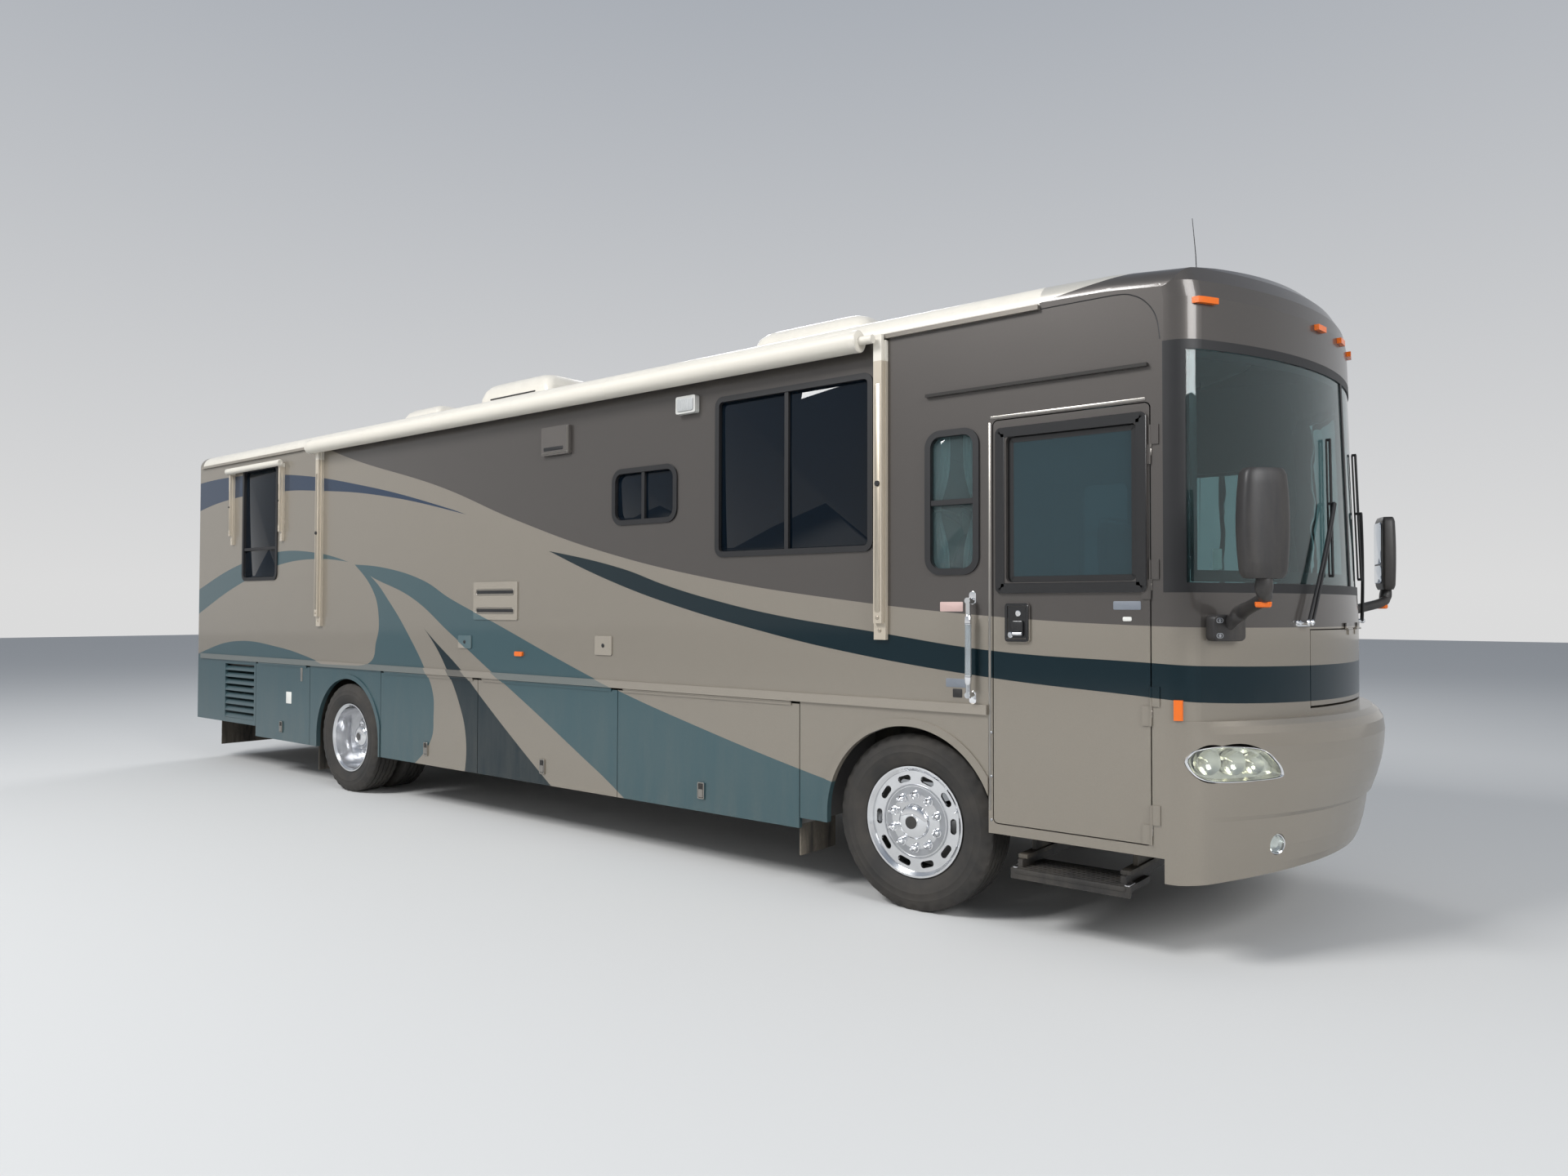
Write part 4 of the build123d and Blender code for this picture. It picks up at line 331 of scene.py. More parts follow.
# The roof's cream laps on to the front cap behind a slanting line
LAP_X, LAP_END_X, LAP_Z, LAP_SLOPE = 4.20, 4.70, 3.124, 0.174
print("lap from", LAP_X, "to", LAP_END_X)

# %% [markdown]
# ### The paint's node group
# A Float Curve node turns a length along the body into the height of an edge. Compared with the place's
# own height it gives a mask of zero or one, and masks are joined by multiplying them.

# %% The paint's node group


def curve_value(tree, value, points, value_span, result_span):
    """Reads a listed edge: a Float Curve from one length in metres to another."""
    low, high = value_span
    out_low, out_high = result_span
    share = remap(tree, value, low, high)
    made = tree.nodes.new("ShaderNodeFloatCurve")
    feed(tree, made.inputs["Value"], share)
    line = made.mapping.curves[0]
    spots = [((a - low) / (high - low), (b - out_low) / (out_high - out_low)) for a, b in points]
    line.points[0].location = spots[0]
    line.points[1].location = spots[-1]
    for spot in spots[1:-1]:
        line.points.new(*spot)
    made.mapping.extend = "HORIZONTAL"
    made.mapping.update()
    return remap(tree, made.outputs[0], 0.0, 1.0, out_low, out_high)


def build_scheme_group():
    """The paint scheme: the colour at a place on the body."""
    tree, start, end = new_group("paint_scheme", [("Place", "Vector", None)], [("Color", "Color")])
    axis = add_node(tree, "SeparateXYZ", Vector=start.outputs["Place"])
    along, up = axis.outputs["X"], axis.outputs["Z"]

    def over(points):
        return math_node(tree, "GREATER_THAN", up, curve_value(tree, along, points, BODY_SPAN, HEIGHT_SPAN))

    def ahead(points):
        return math_node(tree, "GREATER_THAN", along, curve_value(tree, up, points, HEIGHT_SPAN, BODY_SPAN))

    def both(first, second):
        return math_node(tree, "MULTIPLY", first, second)

    def either(first, second):
        return math_node(tree, "MAXIMUM", first, second)

    def invert(mask):
        return math_node(tree, "SUBTRACT", 1.0, mask)

    def within(value, low, high):
        return both(math_node(tree, "GREATER_THAN", value, low), math_node(tree, "LESS_THAN", value, high))

    def band(top, low):
        return both(both(invert(over(top)), over(low)), within(along, top[0][0], top[-1][0]))

    def sail(rear, front):
        return both(both(ahead(rear), invert(ahead(front))), within(up, 0.0, rear[-1][0]))

    color = mix_color(tree, over(CHARCOAL_EDGE), TAUPE, CHARCOAL)
    color = mix_color(tree, band(BLUE_TOP, BLUE_LOW), color, BLUE)
    teal = band(ARCH_TOP, ARCH_LOW)
    teal = either(teal, band(HUMP_TOP, HUMP_LOW))
    teal = either(teal, band(ARM_TOP, ARM_LOW))
    teal = either(teal, sail(SAIL_REAR, SAIL_FRONT))
    low_front = both(invert(over(ARM_TOP)), over(ARM_LOW))
    teal = either(teal, both(low_front, within(along, ARM_FILL_FROM, ARM_FILL_TO)))
    color = mix_color(tree, teal, color, TEAL)
    color = mix_color(tree, sail(BLADE_REAR, BLADE_FRONT), color, DARK_TEAL)
    color = mix_color(tree, band(DARK_TOP, DARK_LOW), color, DARK_TEAL)
    lap_height = math_node(tree, "MULTIPLY_ADD", along, LAP_SLOPE, LAP_Z - LAP_X * LAP_SLOPE)
    lap = both(math_node(tree, "GREATER_THAN", up, lap_height), within(along, LAP_X, LAP_END_X))
    color = mix_color(tree, lap, color, CREAM)
    feed(tree, end.inputs["Color"], color)
    return tree


scheme_group = build_scheme_group()
print("paint scheme nodes", len(scheme_group.nodes))

# %% [markdown]
# ## Body paint
# Metallic paint is a coloured base with fine flakes under a clear coat. The flakes are a very fine
# noise that lightens the base here and there, the clear coat is the Principled shader's own coat, and
# the sheet's waviness bends the reflections as thin panels do.

# %% Body paint
GUTTER_Z, GUTTER_HALF = 2.75, 0.05


def body_paint(name, color_of, dust=0.16):
    """A metallic paint whose colour comes from a function that is given the tree and the place."""
    material, tree, shader = new_material(name)
    place = object_place(tree)
    flake = add_node(tree, "TexVoronoi", Vector=place, Scale=900.0)
    flake_mask = remap(tree, flake.outputs["Distance"], 0.1, 0.6, 1.12, 0.94)
    base = add_node(tree, "HueSaturation", Color=color_of(tree, place), Value=flake_mask)
    film = add_dust(tree, shader, place, base.outputs["Color"], 0.2, 1.3, dust)
    for socket, clean, dusty in (("Roughness", 0.34, 0.75), ("Metallic", 0.5, 0.0),
                                 ("Coat Weight", 0.5, 0.05)):
        feed(tree, shader.inputs[socket], mix_value(tree, film, clean, dusty))
    shader.inputs["Specular IOR Level"].default_value = 0.35
    shader.inputs["Coat Roughness"].default_value = 0.06
    wave = use_group(tree, wave_group, Place=place, Long=1.0, Fine=0.02)
    add_bump(tree, shader, wave.outputs["Height"], 0.25, 0.006)
    return material


def scheme_color(tree, place):
    """The paint scheme's colour at a place."""
    return use_group(tree, scheme_group, Place=place).outputs["Color"]


def trim_color(tree, place):
    """The belt trim takes the bands too, but paler. The gutter over the door is painted dark, as painted
    shade under the drip rail.
    """
    axis = add_node(tree, "SeparateXYZ", Vector=place)
    paler = mix_color(tree, 0.35, scheme_color(tree, place), srgb(176, 168, 156))
    # Painted shade: a dark line where the drip rail over the door shades its gutter.
    gutter = math_node(tree, "COMPARE", axis.outputs["Z"], GUTTER_Z, GUTTER_HALF)
    return mix_color(tree, gutter, paler, srgb(52, 50, 48))


scheme_paint = body_paint("scheme_paint", scheme_color)
trim_paint = body_paint("trim_paint", trim_color)
print("paint made")

# %% [markdown]
# ## Plain finishes
# Plastic, rubber, metal and glass. Each is a short function that makes one material from a base
# colour, so that a family of like finishes stays alike.

# %% Plain finishes


def plastic(name, color, roughness=0.45, grain=260.0, bump_strength=0.15, dust=0.2, coat=0.0):
    """Moulded plastic, rubber or dull paint: grained, with a film of dust."""
    material, tree, shader = new_material(name)
    place = object_place(tree)
    surface = use_group(tree, grain_group, Place=place, Scale=grain, Color=color, Vary=0.06,
                        Roughness=roughness)
    add_dust(tree, shader, place, surface.outputs["Color"], 0.2, 1.5, dust)
    feed(tree, shader.inputs["Roughness"], surface.outputs["Roughness"])
    shader.inputs["Coat Weight"].default_value = coat
    shader.inputs["Coat Roughness"].default_value = 0.15
    add_bump(tree, shader, surface.outputs["Height"], bump_strength, 0.001)
    return material


def metal(name, color, roughness=0.2, dust=0.1, bump_strength=0.05, grain=400.0):
    """Bright or cast metal. Where dust lies on it, it is duller and less metallic."""
    material, tree, shader = new_material(name)
    place = object_place(tree)
    surface = use_group(tree, grain_group, Place=place, Scale=grain, Color=color, Vary=0.08,
                        Roughness=roughness)
    film = add_dust(tree, shader, place, surface.outputs["Color"], 0.0, 1.4, dust)
    feed(tree, shader.inputs["Roughness"], mix_value(tree, film, surface.outputs["Roughness"], 0.7))
    feed(tree, shader.inputs["Metallic"], mix_value(tree, film, 1.0, 0.2))
    add_bump(tree, shader, surface.outputs["Height"], bump_strength, 0.0005)
    return material


def tinted_glass(name, color, transmission, roughness=0.0, shine=0.5):
    """Glass for a thin pane. Its tint is the base colour; the pane's real thickness bends little light."""
    material, _, shader = new_material(name)
    shader.inputs["Base Color"].default_value = color
    shader.inputs["Roughness"].default_value = roughness
    shader.inputs["Transmission Weight"].default_value = transmission
    shader.inputs["IOR"].default_value = 1.45
    shader.inputs["Specular IOR Level"].default_value = shine
    return material


cream = plastic("cream_gelcoat", srgb(216, 211, 200), roughness=0.35, grain=40.0, dust=0.1, coat=0.3)
black_plastic = plastic("black_plastic", srgb(22, 22, 24), roughness=0.5, dust=0.2)
black_gloss = plastic("black_gloss", srgb(16, 16, 18), roughness=0.25, coat=0.5, dust=0.1)
dark_paint = plastic("chassis_paint", srgb(26, 26, 27), roughness=0.6, grain=120.0, dust=0.6)
bay_lining = plastic("bay_lining", srgb(110, 110, 110), roughness=0.7, grain=90.0, dust=0.3)
cast_iron = plastic("cast_iron", srgb(62, 60, 58), roughness=0.75, grain=160.0, bump_strength=0.5, dust=0.6)
flap_rubber = plastic("flap_rubber", srgb(34, 33, 32), roughness=0.8, grain=180.0, dust=0.7)
cabin_trim = plastic("cabin_trim", srgb(84, 78, 70), roughness=0.65, grain=500.0, dust=0.0)
seat_leather = plastic("seat_leather", srgb(126, 110, 92), roughness=0.55, grain=700.0, bump_strength=0.4,
                       dust=0.0)
amber = plastic("amber_lens", srgb(226, 104, 2), roughness=0.22, grain=30.0, coat=0.25, dust=0.1)
polished = metal("polished_aluminium", srgb(225, 226, 228), roughness=0.14)
chrome = metal("chrome", srgb(235, 236, 238), roughness=0.06, dust=0.05)
dark_glass = tinted_glass("dark_glass", srgb(10, 24, 36), 0.5, shine=0.25)
cab_glass = tinted_glass("cab_glass", srgb(150, 176, 178), 0.9)
slide_pane = plastic("slide_pane", srgb(14, 22, 30), roughness=0.05, grain=30.0, bump_strength=0.0,
                     dust=0.05, coat=1.0)
door_glass = tinted_glass("door_glass", srgb(58, 84, 92), 0.6)
# Partly painted shade: the windshield's tint is darker than the glass's own, standing in for the dark sky
# reflection and the unlit cab behind it.
shaded_windshield_glass = tinted_glass("windshield_glass", srgb(158, 186, 188), 0.97)
curtain_cloth = plastic("curtain_cloth", srgb(205, 208, 206), roughness=0.9, grain=900.0, dust=0.0)
print("finishes", len(bpy.data.materials))

# %% [markdown]
# ## Dressing the CAD nodes
# Every CAD node that stays in view gets one of the finishes. Painted panels all take the same scheme,
# which reads the place on the body, so a swoosh runs on from a wall to a lid without a break. The nodes
# that are left over either get a finish of their own further down or are replaced by a finer piece.

# %% Dressing the CAD nodes
FINISHES = {
    scheme_paint: ["right_wall", "left_wall", "front_cap", "rear_cap", "front_fascia", "front_hood", "skirts",
                   "entry_door", "engine_door", "living_slide", "bedroom_slide", "rear_bumper",
                   "baggage_door_right_1", "baggage_door_right_2", "baggage_door_right_3",
                   "baggage_door_right_rear", "baggage_door_left_1", "baggage_door_left_2",
                   "baggage_door_left_3"],
    cream: ["roof"],
    trim_paint: ["moldings"],
    black_plastic: ["windshield_frame", "window_frames", "entry_step"],
    dark_paint: ["chassis_frame", "hitch_receiver", "floor"],
    bay_lining: ["baggage_bays"],
    cast_iron: ["front_axle", "rear_axle", "knuckle_left", "knuckle_right", "engine"],
    flap_rubber: ["mud_flaps"],
    polished: ["front_rim_left", "front_rim_right", "rear_rims_left", "rear_rims_right"],
    chrome: ["rear_ladder"],
    cabin_trim: ["dashboard", "steering_wheel"],
    door_glass: ["entry_door_glass"],
    shaded_windshield_glass: ["windshield"],
}


def dress(node, material):
    """Gives a CAD node one finish, in place of the one that it came with."""
    finishes = nodes[node].data.materials
    finishes.clear()
    finishes.append(material)


for material, names in FINISHES.items():
    for node in names:
        dress(node, material)
print("dressed or replaced later", sorted(set(nodes) - {n for names in FINISHES.values() for n in names}))

# %% [markdown]
# ## Mesh helpers
# Small fittings are made much as a workshop makes them. Round ones are turned on a lathe, flat ones are
# cut to an outline with a bevelled edge, and rods are bent along a line. All three come down to the same
# step: rings of points that are joined into a skin. Modifiers could do the same, but a bmesh that is
# written by hand has no hidden history.

# %% Mesh helpers
RIGHT, LEFT = -1, 1
SIDES = {"right": RIGHT, "left": LEFT}


def facing(origin, out, up=(0, 0, 1)):
    """A place to work at: local Z points out of the surface and local Y up along it."""
    z_axis = Vector(out).normalized()
    x_axis = Vector(up).cross(z_axis).normalized()
    y_axis = z_axis.cross(x_axis)
    return Matrix.Translation(origin) @ Matrix((x_axis, y_axis, z_axis)).transposed().to_4x4()


def touch(node, start, way):
    """Where a line from a point first meets a CAD node, and the way that the surface faces there."""
    hit, spot, normal, _ = nodes[node].ray_cast(Vector(start), Vector(way).normalized())
    if not hit:
        raise ValueError(f"nothing of {node} is met from {tuple(start)}")
    return spot, normal


def skin(bm, rings, closed=True, cap_start=False, cap_end=False, material=0):
    """Joins rings of points into one surface. A ring of one point closes it to a tip."""
    made = [[bm.verts.new(point) for point in ring] for ring in rings]
    for first, second in zip(made, made[1:]):
        count = max(len(first), len(second))
        for i in range(count if closed else count - 1):
            j = (i + 1) % count
            corners = (first[i % len(first)], first[j % len(first)],
                       second[j % len(second)], second[i % len(second)])
            corners = list(dict.fromkeys(corners))
            if len(corners) > 2:
                bm.faces.new(corners).material_index = material
    for wanted, ring in ((cap_start, made[0]), (cap_end, made[-1])):
        if wanted and len(ring) > 2:
            bm.faces.new(ring).material_index = material


def lathe(bm, place, outline, steps=48, closed=False, material=0):
    """Turns an outline of (radius, height) points about the place's local Z."""
    turns = [math.tau * i / steps for i in range(steps)]
    rings = []
    for radius, height in outline:
        if radius < 1e-6:
            rings.append([place @ Vector((0, 0, height))])
        else:
            rings.append([place @ Vector((radius * math.cos(a), radius * math.sin(a), height))
                          for a in turns])
    skin(bm, rings + rings[:1] if closed else rings, material=material)


print("skins and turned parts ready")

# %% [markdown]
# ### Flat parts
# A plate is its outline, once at the bottom and a few times at the top, where it shrinks to make a bevel.

# %% Flat parts


def rounded(width, height, corner, steps=4, middle=(0.0, 0.0)):
    """The outline of a rectangle with round corners, anticlockwise."""
    points = []
    for quarter, (right, top) in enumerate(((1, 1), (-1, 1), (-1, -1), (1, -1))):
        for step in range(steps + 1):
            angle = math.radians(90 * (quarter + step / steps))
            points.append((middle[0] + right * (width / 2 - corner) + corner * math.cos(angle),
                           middle[1] + top * (height / 2 - corner) + corner * math.sin(angle)))
    return points


def shrink(outline, by):
    """An anticlockwise outline moved in by a distance."""
    moved = []
    for i, spot in enumerate(outline):
        here, before = Vector(spot), Vector(outline[i - 1])
        after = Vector(outline[(i + 1) % len(outline)])
        way = (here - before).normalized() + (after - here).normalized()
        half = way.length / 2
        moved.append(tuple(here + Vector((-way.y, way.x)).normalized() * by / max(half, 0.35)))
    return moved


def plate(bm, place, outline, low, high, bevel=0.0, material=0):
    """A flat part cut to an outline, with its outer edge bevelled."""
    rings = [(outline, low), (outline, high - bevel)]
    if bevel:
        rings += [(shrink(outline, bevel * 0.3), high - bevel * 0.3), (shrink(outline, bevel), high)]
    skin(bm, [[place @ Vector((x, y, z)) for x, y in points] for points, z in rings],
         cap_start=True, cap_end=True, material=material)


def frame_plate(bm, place, outline, band, low, high, material=0):
    """A flat ring: an outline with an opening, a band's width in from its edge."""
    inner, edge = shrink(outline, band), min(band, high - low) * 0.3
    rings = [(outline, low), (outline, high - edge), (shrink(outline, edge), high),
             (shrink(outline, band - edge), high), (inner, high - edge), (inner, low), (outline, low)]
    skin(bm, [[place @ Vector((x, y, z)) for x, y in points] for points, z in rings], material=material)


print("flat parts ready")

# %% [markdown]
# ### Rods
# A rod is a circle that is carried along a line. A few points are enough for the line, because a cubic
# through each pair of them, which also looks at the points on either side, makes it smooth.

# %% Rods


def tube(bm, points, radius, sides=12, material=0):
    """A round rod along a line of points. A list of radii makes it taper."""
    spots = [Vector(point) for point in points]
    radii = radius if isinstance(radius, (list, tuple)) else [radius] * len(spots)
    rings, side = [], None
    for i, spot in enumerate(spots):
        ahead = (spots[min(i + 1, len(spots) - 1)] - spots[max(i - 1, 0)]).normalized()
        side = ahead.orthogonal() if side is None else side
        side = (side - ahead * side.dot(ahead)).normalized()
        other = ahead.cross(side)
        rings.append([spot + (side * math.cos(a) + other * math.sin(a)) * radii[i]
                      for a in (math.tau * k / sides for k in range(sides))])
    skin(bm, rings, cap_start=True, cap_end=True, material=material)


def smooth_stretch(before, here, after, last, steps):
    """Points of a smooth line from one point towards the next, given the two that lie outside them."""
    shares = [step / steps for step in range(steps)]
    return [0.5 * (2 * here + (after - before) * t + (2 * before - 5 * here + 4 * after - last) * t ** 2
                   + (3 * here - before - 3 * after + last) * t ** 3) for t in shares]


def bend(points, steps=6):
    """A smooth line through a few points."""
    spots = [Vector(point) for point in points]
    padded = spots[:1] + spots + spots[-1:]
    line = []
    for i in range(len(spots) - 1):
        line += smooth_stretch(*padded[i:i + 4], steps)
    return line + [spots[-1]]


def bend_closed(points, steps=5):
    """A smooth closed line through a few points, as plain pairs."""
    spots = [Vector(point) for point in points]
    wrapped = spots[-1:] + spots + spots[:2]
    line = []
    for i in range(len(spots)):
        line += [tuple(spot) for spot in smooth_stretch(*wrapped[i:i + 4], steps)]
    return line


print("rods ready")

# %% [markdown]
# ### From mesh to piece
# An edge is crisp where its two faces meet at more than the angle here, and smooth elsewhere. Each piece
# is told which body of the CAD model it rides on, so it moves with its door or wheel.

# %% From mesh to piece
SHARP = math.radians(32)


def make_piece(name, bm, materials, body):
    """Turns a bmesh into a piece with smooth faces and crisp edges that rides on a CAD body."""
    bmesh.ops.remove_doubles(bm, verts=bm.verts, dist=1e-6)
    bmesh.ops.recalc_face_normals(bm, faces=bm.faces)
    for face in bm.faces:
        face.smooth = True
    for edge in bm.edges:
        edge.smooth = len(edge.link_faces) == 2 and edge.calc_face_angle(0.0) < SHARP
    mesh = bpy.data.meshes.new(name)
    bm.to_mesh(mesh)
    bm.free()
    piece = bpy.data.objects.new(name, mesh)
    bpy.context.scene.collection.objects.link(piece)
    for material in materials if isinstance(materials, (list, tuple)) else [materials]:
        mesh.materials.append(material)
    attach(piece, body)
    return piece


print("mesh helpers ready")

# %% [markdown]
# ## Tyres
# A coach tyre has five ribs with four zigzag grooves between them, and notches along the shoulders. An
# array of tread blocks would be heavy, so the tyre is one turned skin: its cross-section carries the
# grooves, and every few steps round the wheel the shoulder points are pulled in and the groove points
# are moved sideways. The sidewall has two fine moulded rings and no lettering.

# %% Tyres
FRONT_AXLE_X, REAR_AXLE_X, AXLE_Z = 3.5, -2.291, 0.475
TYRE_MIDDLES = {"front": [1.122], "rear": [1.156, 0.856]}
TREAD_STEPS, TREAD_REPEAT = 144, 4
NOTCH_DEEP, NOTCH_IN, ZIGZAG = 0.005, 0.004, 0.0022
# One half of the cross-section, as (across, radius, mark) points from the bead to the middle of the tread
TYRE_HALF = [(0.070, 0.2880, ""), (0.086, 0.2880, ""), (0.0925, 0.2990, ""), (0.0965, 0.3045, ""),
             (0.1020, 0.3065, ""), (0.1055, 0.3120, ""), (0.1090, 0.3210, ""), (0.1190, 0.3420, ""),
             (0.1250, 0.3620, ""), (0.1268, 0.3760, ""), (0.1275, 0.3775, ""), (0.1275, 0.3795, ""),
             (0.1268, 0.3810, ""), (0.1262, 0.3980, ""), (0.1240, 0.4130, ""), (0.1246, 0.4150, ""),
             (0.1238, 0.4175, ""), (0.1212, 0.4250, ""), (0.1162, 0.4420, ""), (0.1122, 0.4540, "notch"),
             (0.1078, 0.4640, "notch"), (0.1030, 0.4705, "notch"), (0.0960, 0.4732, ""),
             (0.0680, 0.4742, "zigzag"), (0.0655, 0.4620, "zigzag"), (0.0595, 0.4620, "zigzag"),
             (0.0570, 0.4744, "zigzag"), (0.0260, 0.4750, "zigzag"), (0.0238, 0.4625, "zigzag"),
             (0.0182, 0.4625, "zigzag"), (0.0160, 0.4750, "zigzag"), (0.0, 0.4750, "")]


def road_rubber(name, color):
    """Tyre rubber: dull, mottled all over by dried dust, with no streaks because the wheel turns."""
    material, tree, shader = new_material(name)
    place = object_place(tree)
    surface = use_group(tree, grain_group, Place=place, Scale=240.0, Color=color, Vary=0.14, Roughness=0.8)
    cloud = add_node(tree, "TexNoise", Vector=place, Scale=5.0, Detail=5.0, Roughness=0.6)
    film = remap(tree, cloud.outputs["Fac"], 0.35, 0.75, 0.06, 0.30)
    feed(tree, shader.inputs["Base Color"], mix_color(tree, film, surface.outputs["Color"], srgb(96, 88, 78)))
    feed(tree, shader.inputs["Roughness"], surface.outputs["Roughness"])
    add_bump(tree, shader, surface.outputs["Height"], 0.25, 0.001)
    return material


def tyre_point(across, radius, mark, step, sign):
    """One point of the cross-section at one step round the wheel."""
    early = step % TREAD_REPEAT < TREAD_REPEAT / 2
    if mark == "notch" and early:
        radius, across = radius - NOTCH_DEEP, across - NOTCH_IN
    if mark == "zigzag":
        across += ZIGZAG if early else -ZIGZAG
    return across * sign, radius


def add_tyre(bm, x, y):
    """One tyre, as rings round its axle."""
    section = [(point, 1) for point in TYRE_HALF] + [(point, -1) for point in reversed(TYRE_HALF[:-1])]
    rings = []
    for point, sign in section + section[:1]:
        ring = []
        for step in range(TREAD_STEPS):
            across, radius = tyre_point(*point, step, sign)
            angle = math.tau * step / TREAD_STEPS
            ring.append((x + radius * math.cos(angle), y + across, AXLE_Z + radius * math.sin(angle)))
        rings.append(ring)
    skin(bm, rings)


wheel_rubber = road_rubber("wheel_rubber", srgb(36, 36, 36))
for side, sign in SIDES.items():
    for end, axle_x in (("front", FRONT_AXLE_X), ("rear", REAR_AXLE_X)):
        bm = bmesh.new()
        for middle in TYRE_MIDDLES[end]:
            add_tyre(bm, axle_x, sign * middle)
        body, node = (f"front_wheel_{side}", f"front_tyre_{side}") if end == "front" else (
            f"rear_wheels_{side}", f"rear_tyres_{side}")
        piece = make_piece(f"{end}_tread_{side}", bm, wheel_rubber, body)
        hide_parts(node)
        print(piece.name, len(piece.data.polygons), "faces")

# %% [markdown]
# ## Wheel trim
# The forged wheels are polished, with a duller machined ring inside them. Ten nuts on a circle hold each
# wheel, under chromed covers that end in a small cone, and a chromed hat covers the hub. All of them
# are turned. The height of the wheel's face is felt with a ray, so the trim sits on the metal at each
# radius.

# %% Wheel trim
NUT_COUNT, NUT_CIRCLE = 10, 0.143
VALVE_RADIUS, VALVE_ANGLE = 0.262, 0.31
FEEL_ANGLE = 0.3  # a way out from the hub that misses the hand holes
HAT_HIGH = 0.040
MACHINED_RINGS = [(0.112, 0.186, 0.0012), (0.190, 0.200, 0.0045)]  # inner and outer radius, rise
NUT_COVER = [(0.0250, 0.0), (0.0250, 0.004), (0.0205, 0.007), (0.0200, 0.026), (0.0180, 0.031),
             (0.0120, 0.036), (0.0085, 0.046), (0.0050, 0.056), (0.0, 0.0590)]
HUB_HAT = [(0.1120, 0.0), (0.1120, 0.004), (0.1080, 0.007), (0.0960, 0.008), (0.0920, 0.013), (0.0890, 0.022),
           (0.0820, 0.029), (0.0720, 0.034), (0.0560, 0.0380), (0.0350, 0.0400), (0.0, 0.0400)]
satin = metal("machined_ring", srgb(176, 178, 182), roughness=0.38, dust=0.15)
hub_black = plastic("hub_black", srgb(24, 24, 26), roughness=0.3, coat=0.4)


def wheel_face(node, axle_x, sign, radius, angle):
    """How far out the wheel's metal is at a radius."""
    start = (axle_x + radius * math.cos(angle), sign * 1.6, AXLE_Z + radius * math.sin(angle))
    return touch(node, start, (0, -sign, 0))[0].y


def add_wheel_trim(bm, node, axle_x, sign, hat_rise):
    """The nuts, the hub's hat, the machined rings and the valve of one wheel."""
    out = (0, sign, 0)
    nut_y = wheel_face(node, axle_x, sign, NUT_CIRCLE, FEEL_ANGLE)
    for i in range(NUT_COUNT):
        angle = math.tau * (i + 0.5) / NUT_COUNT
        spot = (axle_x + NUT_CIRCLE * math.cos(angle), nut_y - sign * 0.001,
                AXLE_Z + NUT_CIRCLE * math.sin(angle))
        lathe(bm, facing(spot, out), NUT_COVER, steps=18)
    hub = facing((axle_x, nut_y - sign * 0.001, AXLE_Z), out)
    lathe(bm, hub, [(r, h + (hat_rise if h > 0.01 else 0.0)) for r, h in HUB_HAT], steps=64)
    top = HAT_HIGH + hat_rise
    cap = [(0.034, top - 0.002), (0.034, top + 0.002), (0.030, top + 0.003), (0.0, top + 0.003)]
    lathe(bm, hub, cap, steps=40, material=2)
    rim = [(0.041, top - 0.002), (0.040, top + 0.003), (0.036, top + 0.003), (0.035, top - 0.002)]
    lathe(bm, hub, rim, steps=40, closed=True)
    for inner, outer, rise in MACHINED_RINGS:
        middle = (inner + outer) / 2
        ring_y = max(abs(wheel_face(node, axle_x, sign, middle, FEEL_ANGLE + k)) for k in range(3))
        ring = facing((axle_x, sign * (ring_y - 0.001), AXLE_Z), out)
        lathe(bm, ring, [(inner, 0), (inner + 0.001, rise), (outer - 0.001, rise), (outer, 0)],
              steps=96, closed=True, material=1)
    valve = Vector((axle_x + VALVE_RADIUS * math.cos(VALVE_ANGLE),
                    wheel_face(node, axle_x, sign, VALVE_RADIUS, VALVE_ANGLE),
                    AXLE_Z + VALVE_RADIUS * math.sin(VALVE_ANGLE)))
    tube(bm, [valve, valve + Vector((0, sign * 0.018, 0)), valve + Vector((0, sign * 0.032, 0))],
         [0.0055, 0.0045, 0.0045], sides=10)


for side, sign in SIDES.items():
    for node, body, axle_x, hat_rise in ((f"front_rim_{side}", f"front_wheel_{side}", FRONT_AXLE_X, 0.004),
                                         (f"rear_rims_{side}", f"rear_wheels_{side}", REAR_AXLE_X, 0.060)):
        bm = bmesh.new()
        add_wheel_trim(bm, node, axle_x, sign, hat_rise)
        piece = make_piece(node + "_trim", bm, [chrome, satin, hub_black], body)
        print(piece.name, len(piece.data.polygons), "faces")

# %% [markdown]
# ## Entry door
# The door opens with a paddle in a black bezel and has a second lock above it. Its four hinges show as
# knuckles along the front edge. The small plates on it and beside it are blank here. All of these could be
# boxes with a Bevel modifier, but a thin bevelled plate that is laid on the skin is lighter.

# %% Entry door
WALL_Y = -1.289
BESIDE = 2.0  # a line that feels out the body starts this far from its middle
SUNK = -0.0005  # a thin part starts this far under the surface that it is laid on
LOCK_X, LOCK_Z = 4.144, 1.556
KEYHOLE = [(0.015, 0), (0.015, 0.004), (0.012, 0.006), (0.006, 0.006), (0.006, 0.003), (0.0, 0.003)]
bright_rod = metal("bright_rod", srgb(220, 220, 222), roughness=0.18)
edge_metal = metal("edge_metal", srgb(158, 154, 148), roughness=0.3)
white_plate = plastic("white_plate", srgb(222, 222, 216), roughness=0.4, dust=0.05)
grey_plate = plastic("grey_plate", srgb(118, 124, 132), roughness=0.4, dust=0.05)
rose_plate = plastic("rose_plate", srgb(196, 168, 162), roughness=0.45, dust=0.05)


def on_wall(node, x, z, sign=RIGHT):
    """A place on the outer side of a wall or door."""
    return facing(touch(node, (x, sign * BESIDE, z), (0, -sign, 0))[0], (0, sign, 0))


def on_lock(along, up, out=0.0):
    """A place on the door's lock."""
    return lock @ Matrix.Translation((along, up, out))


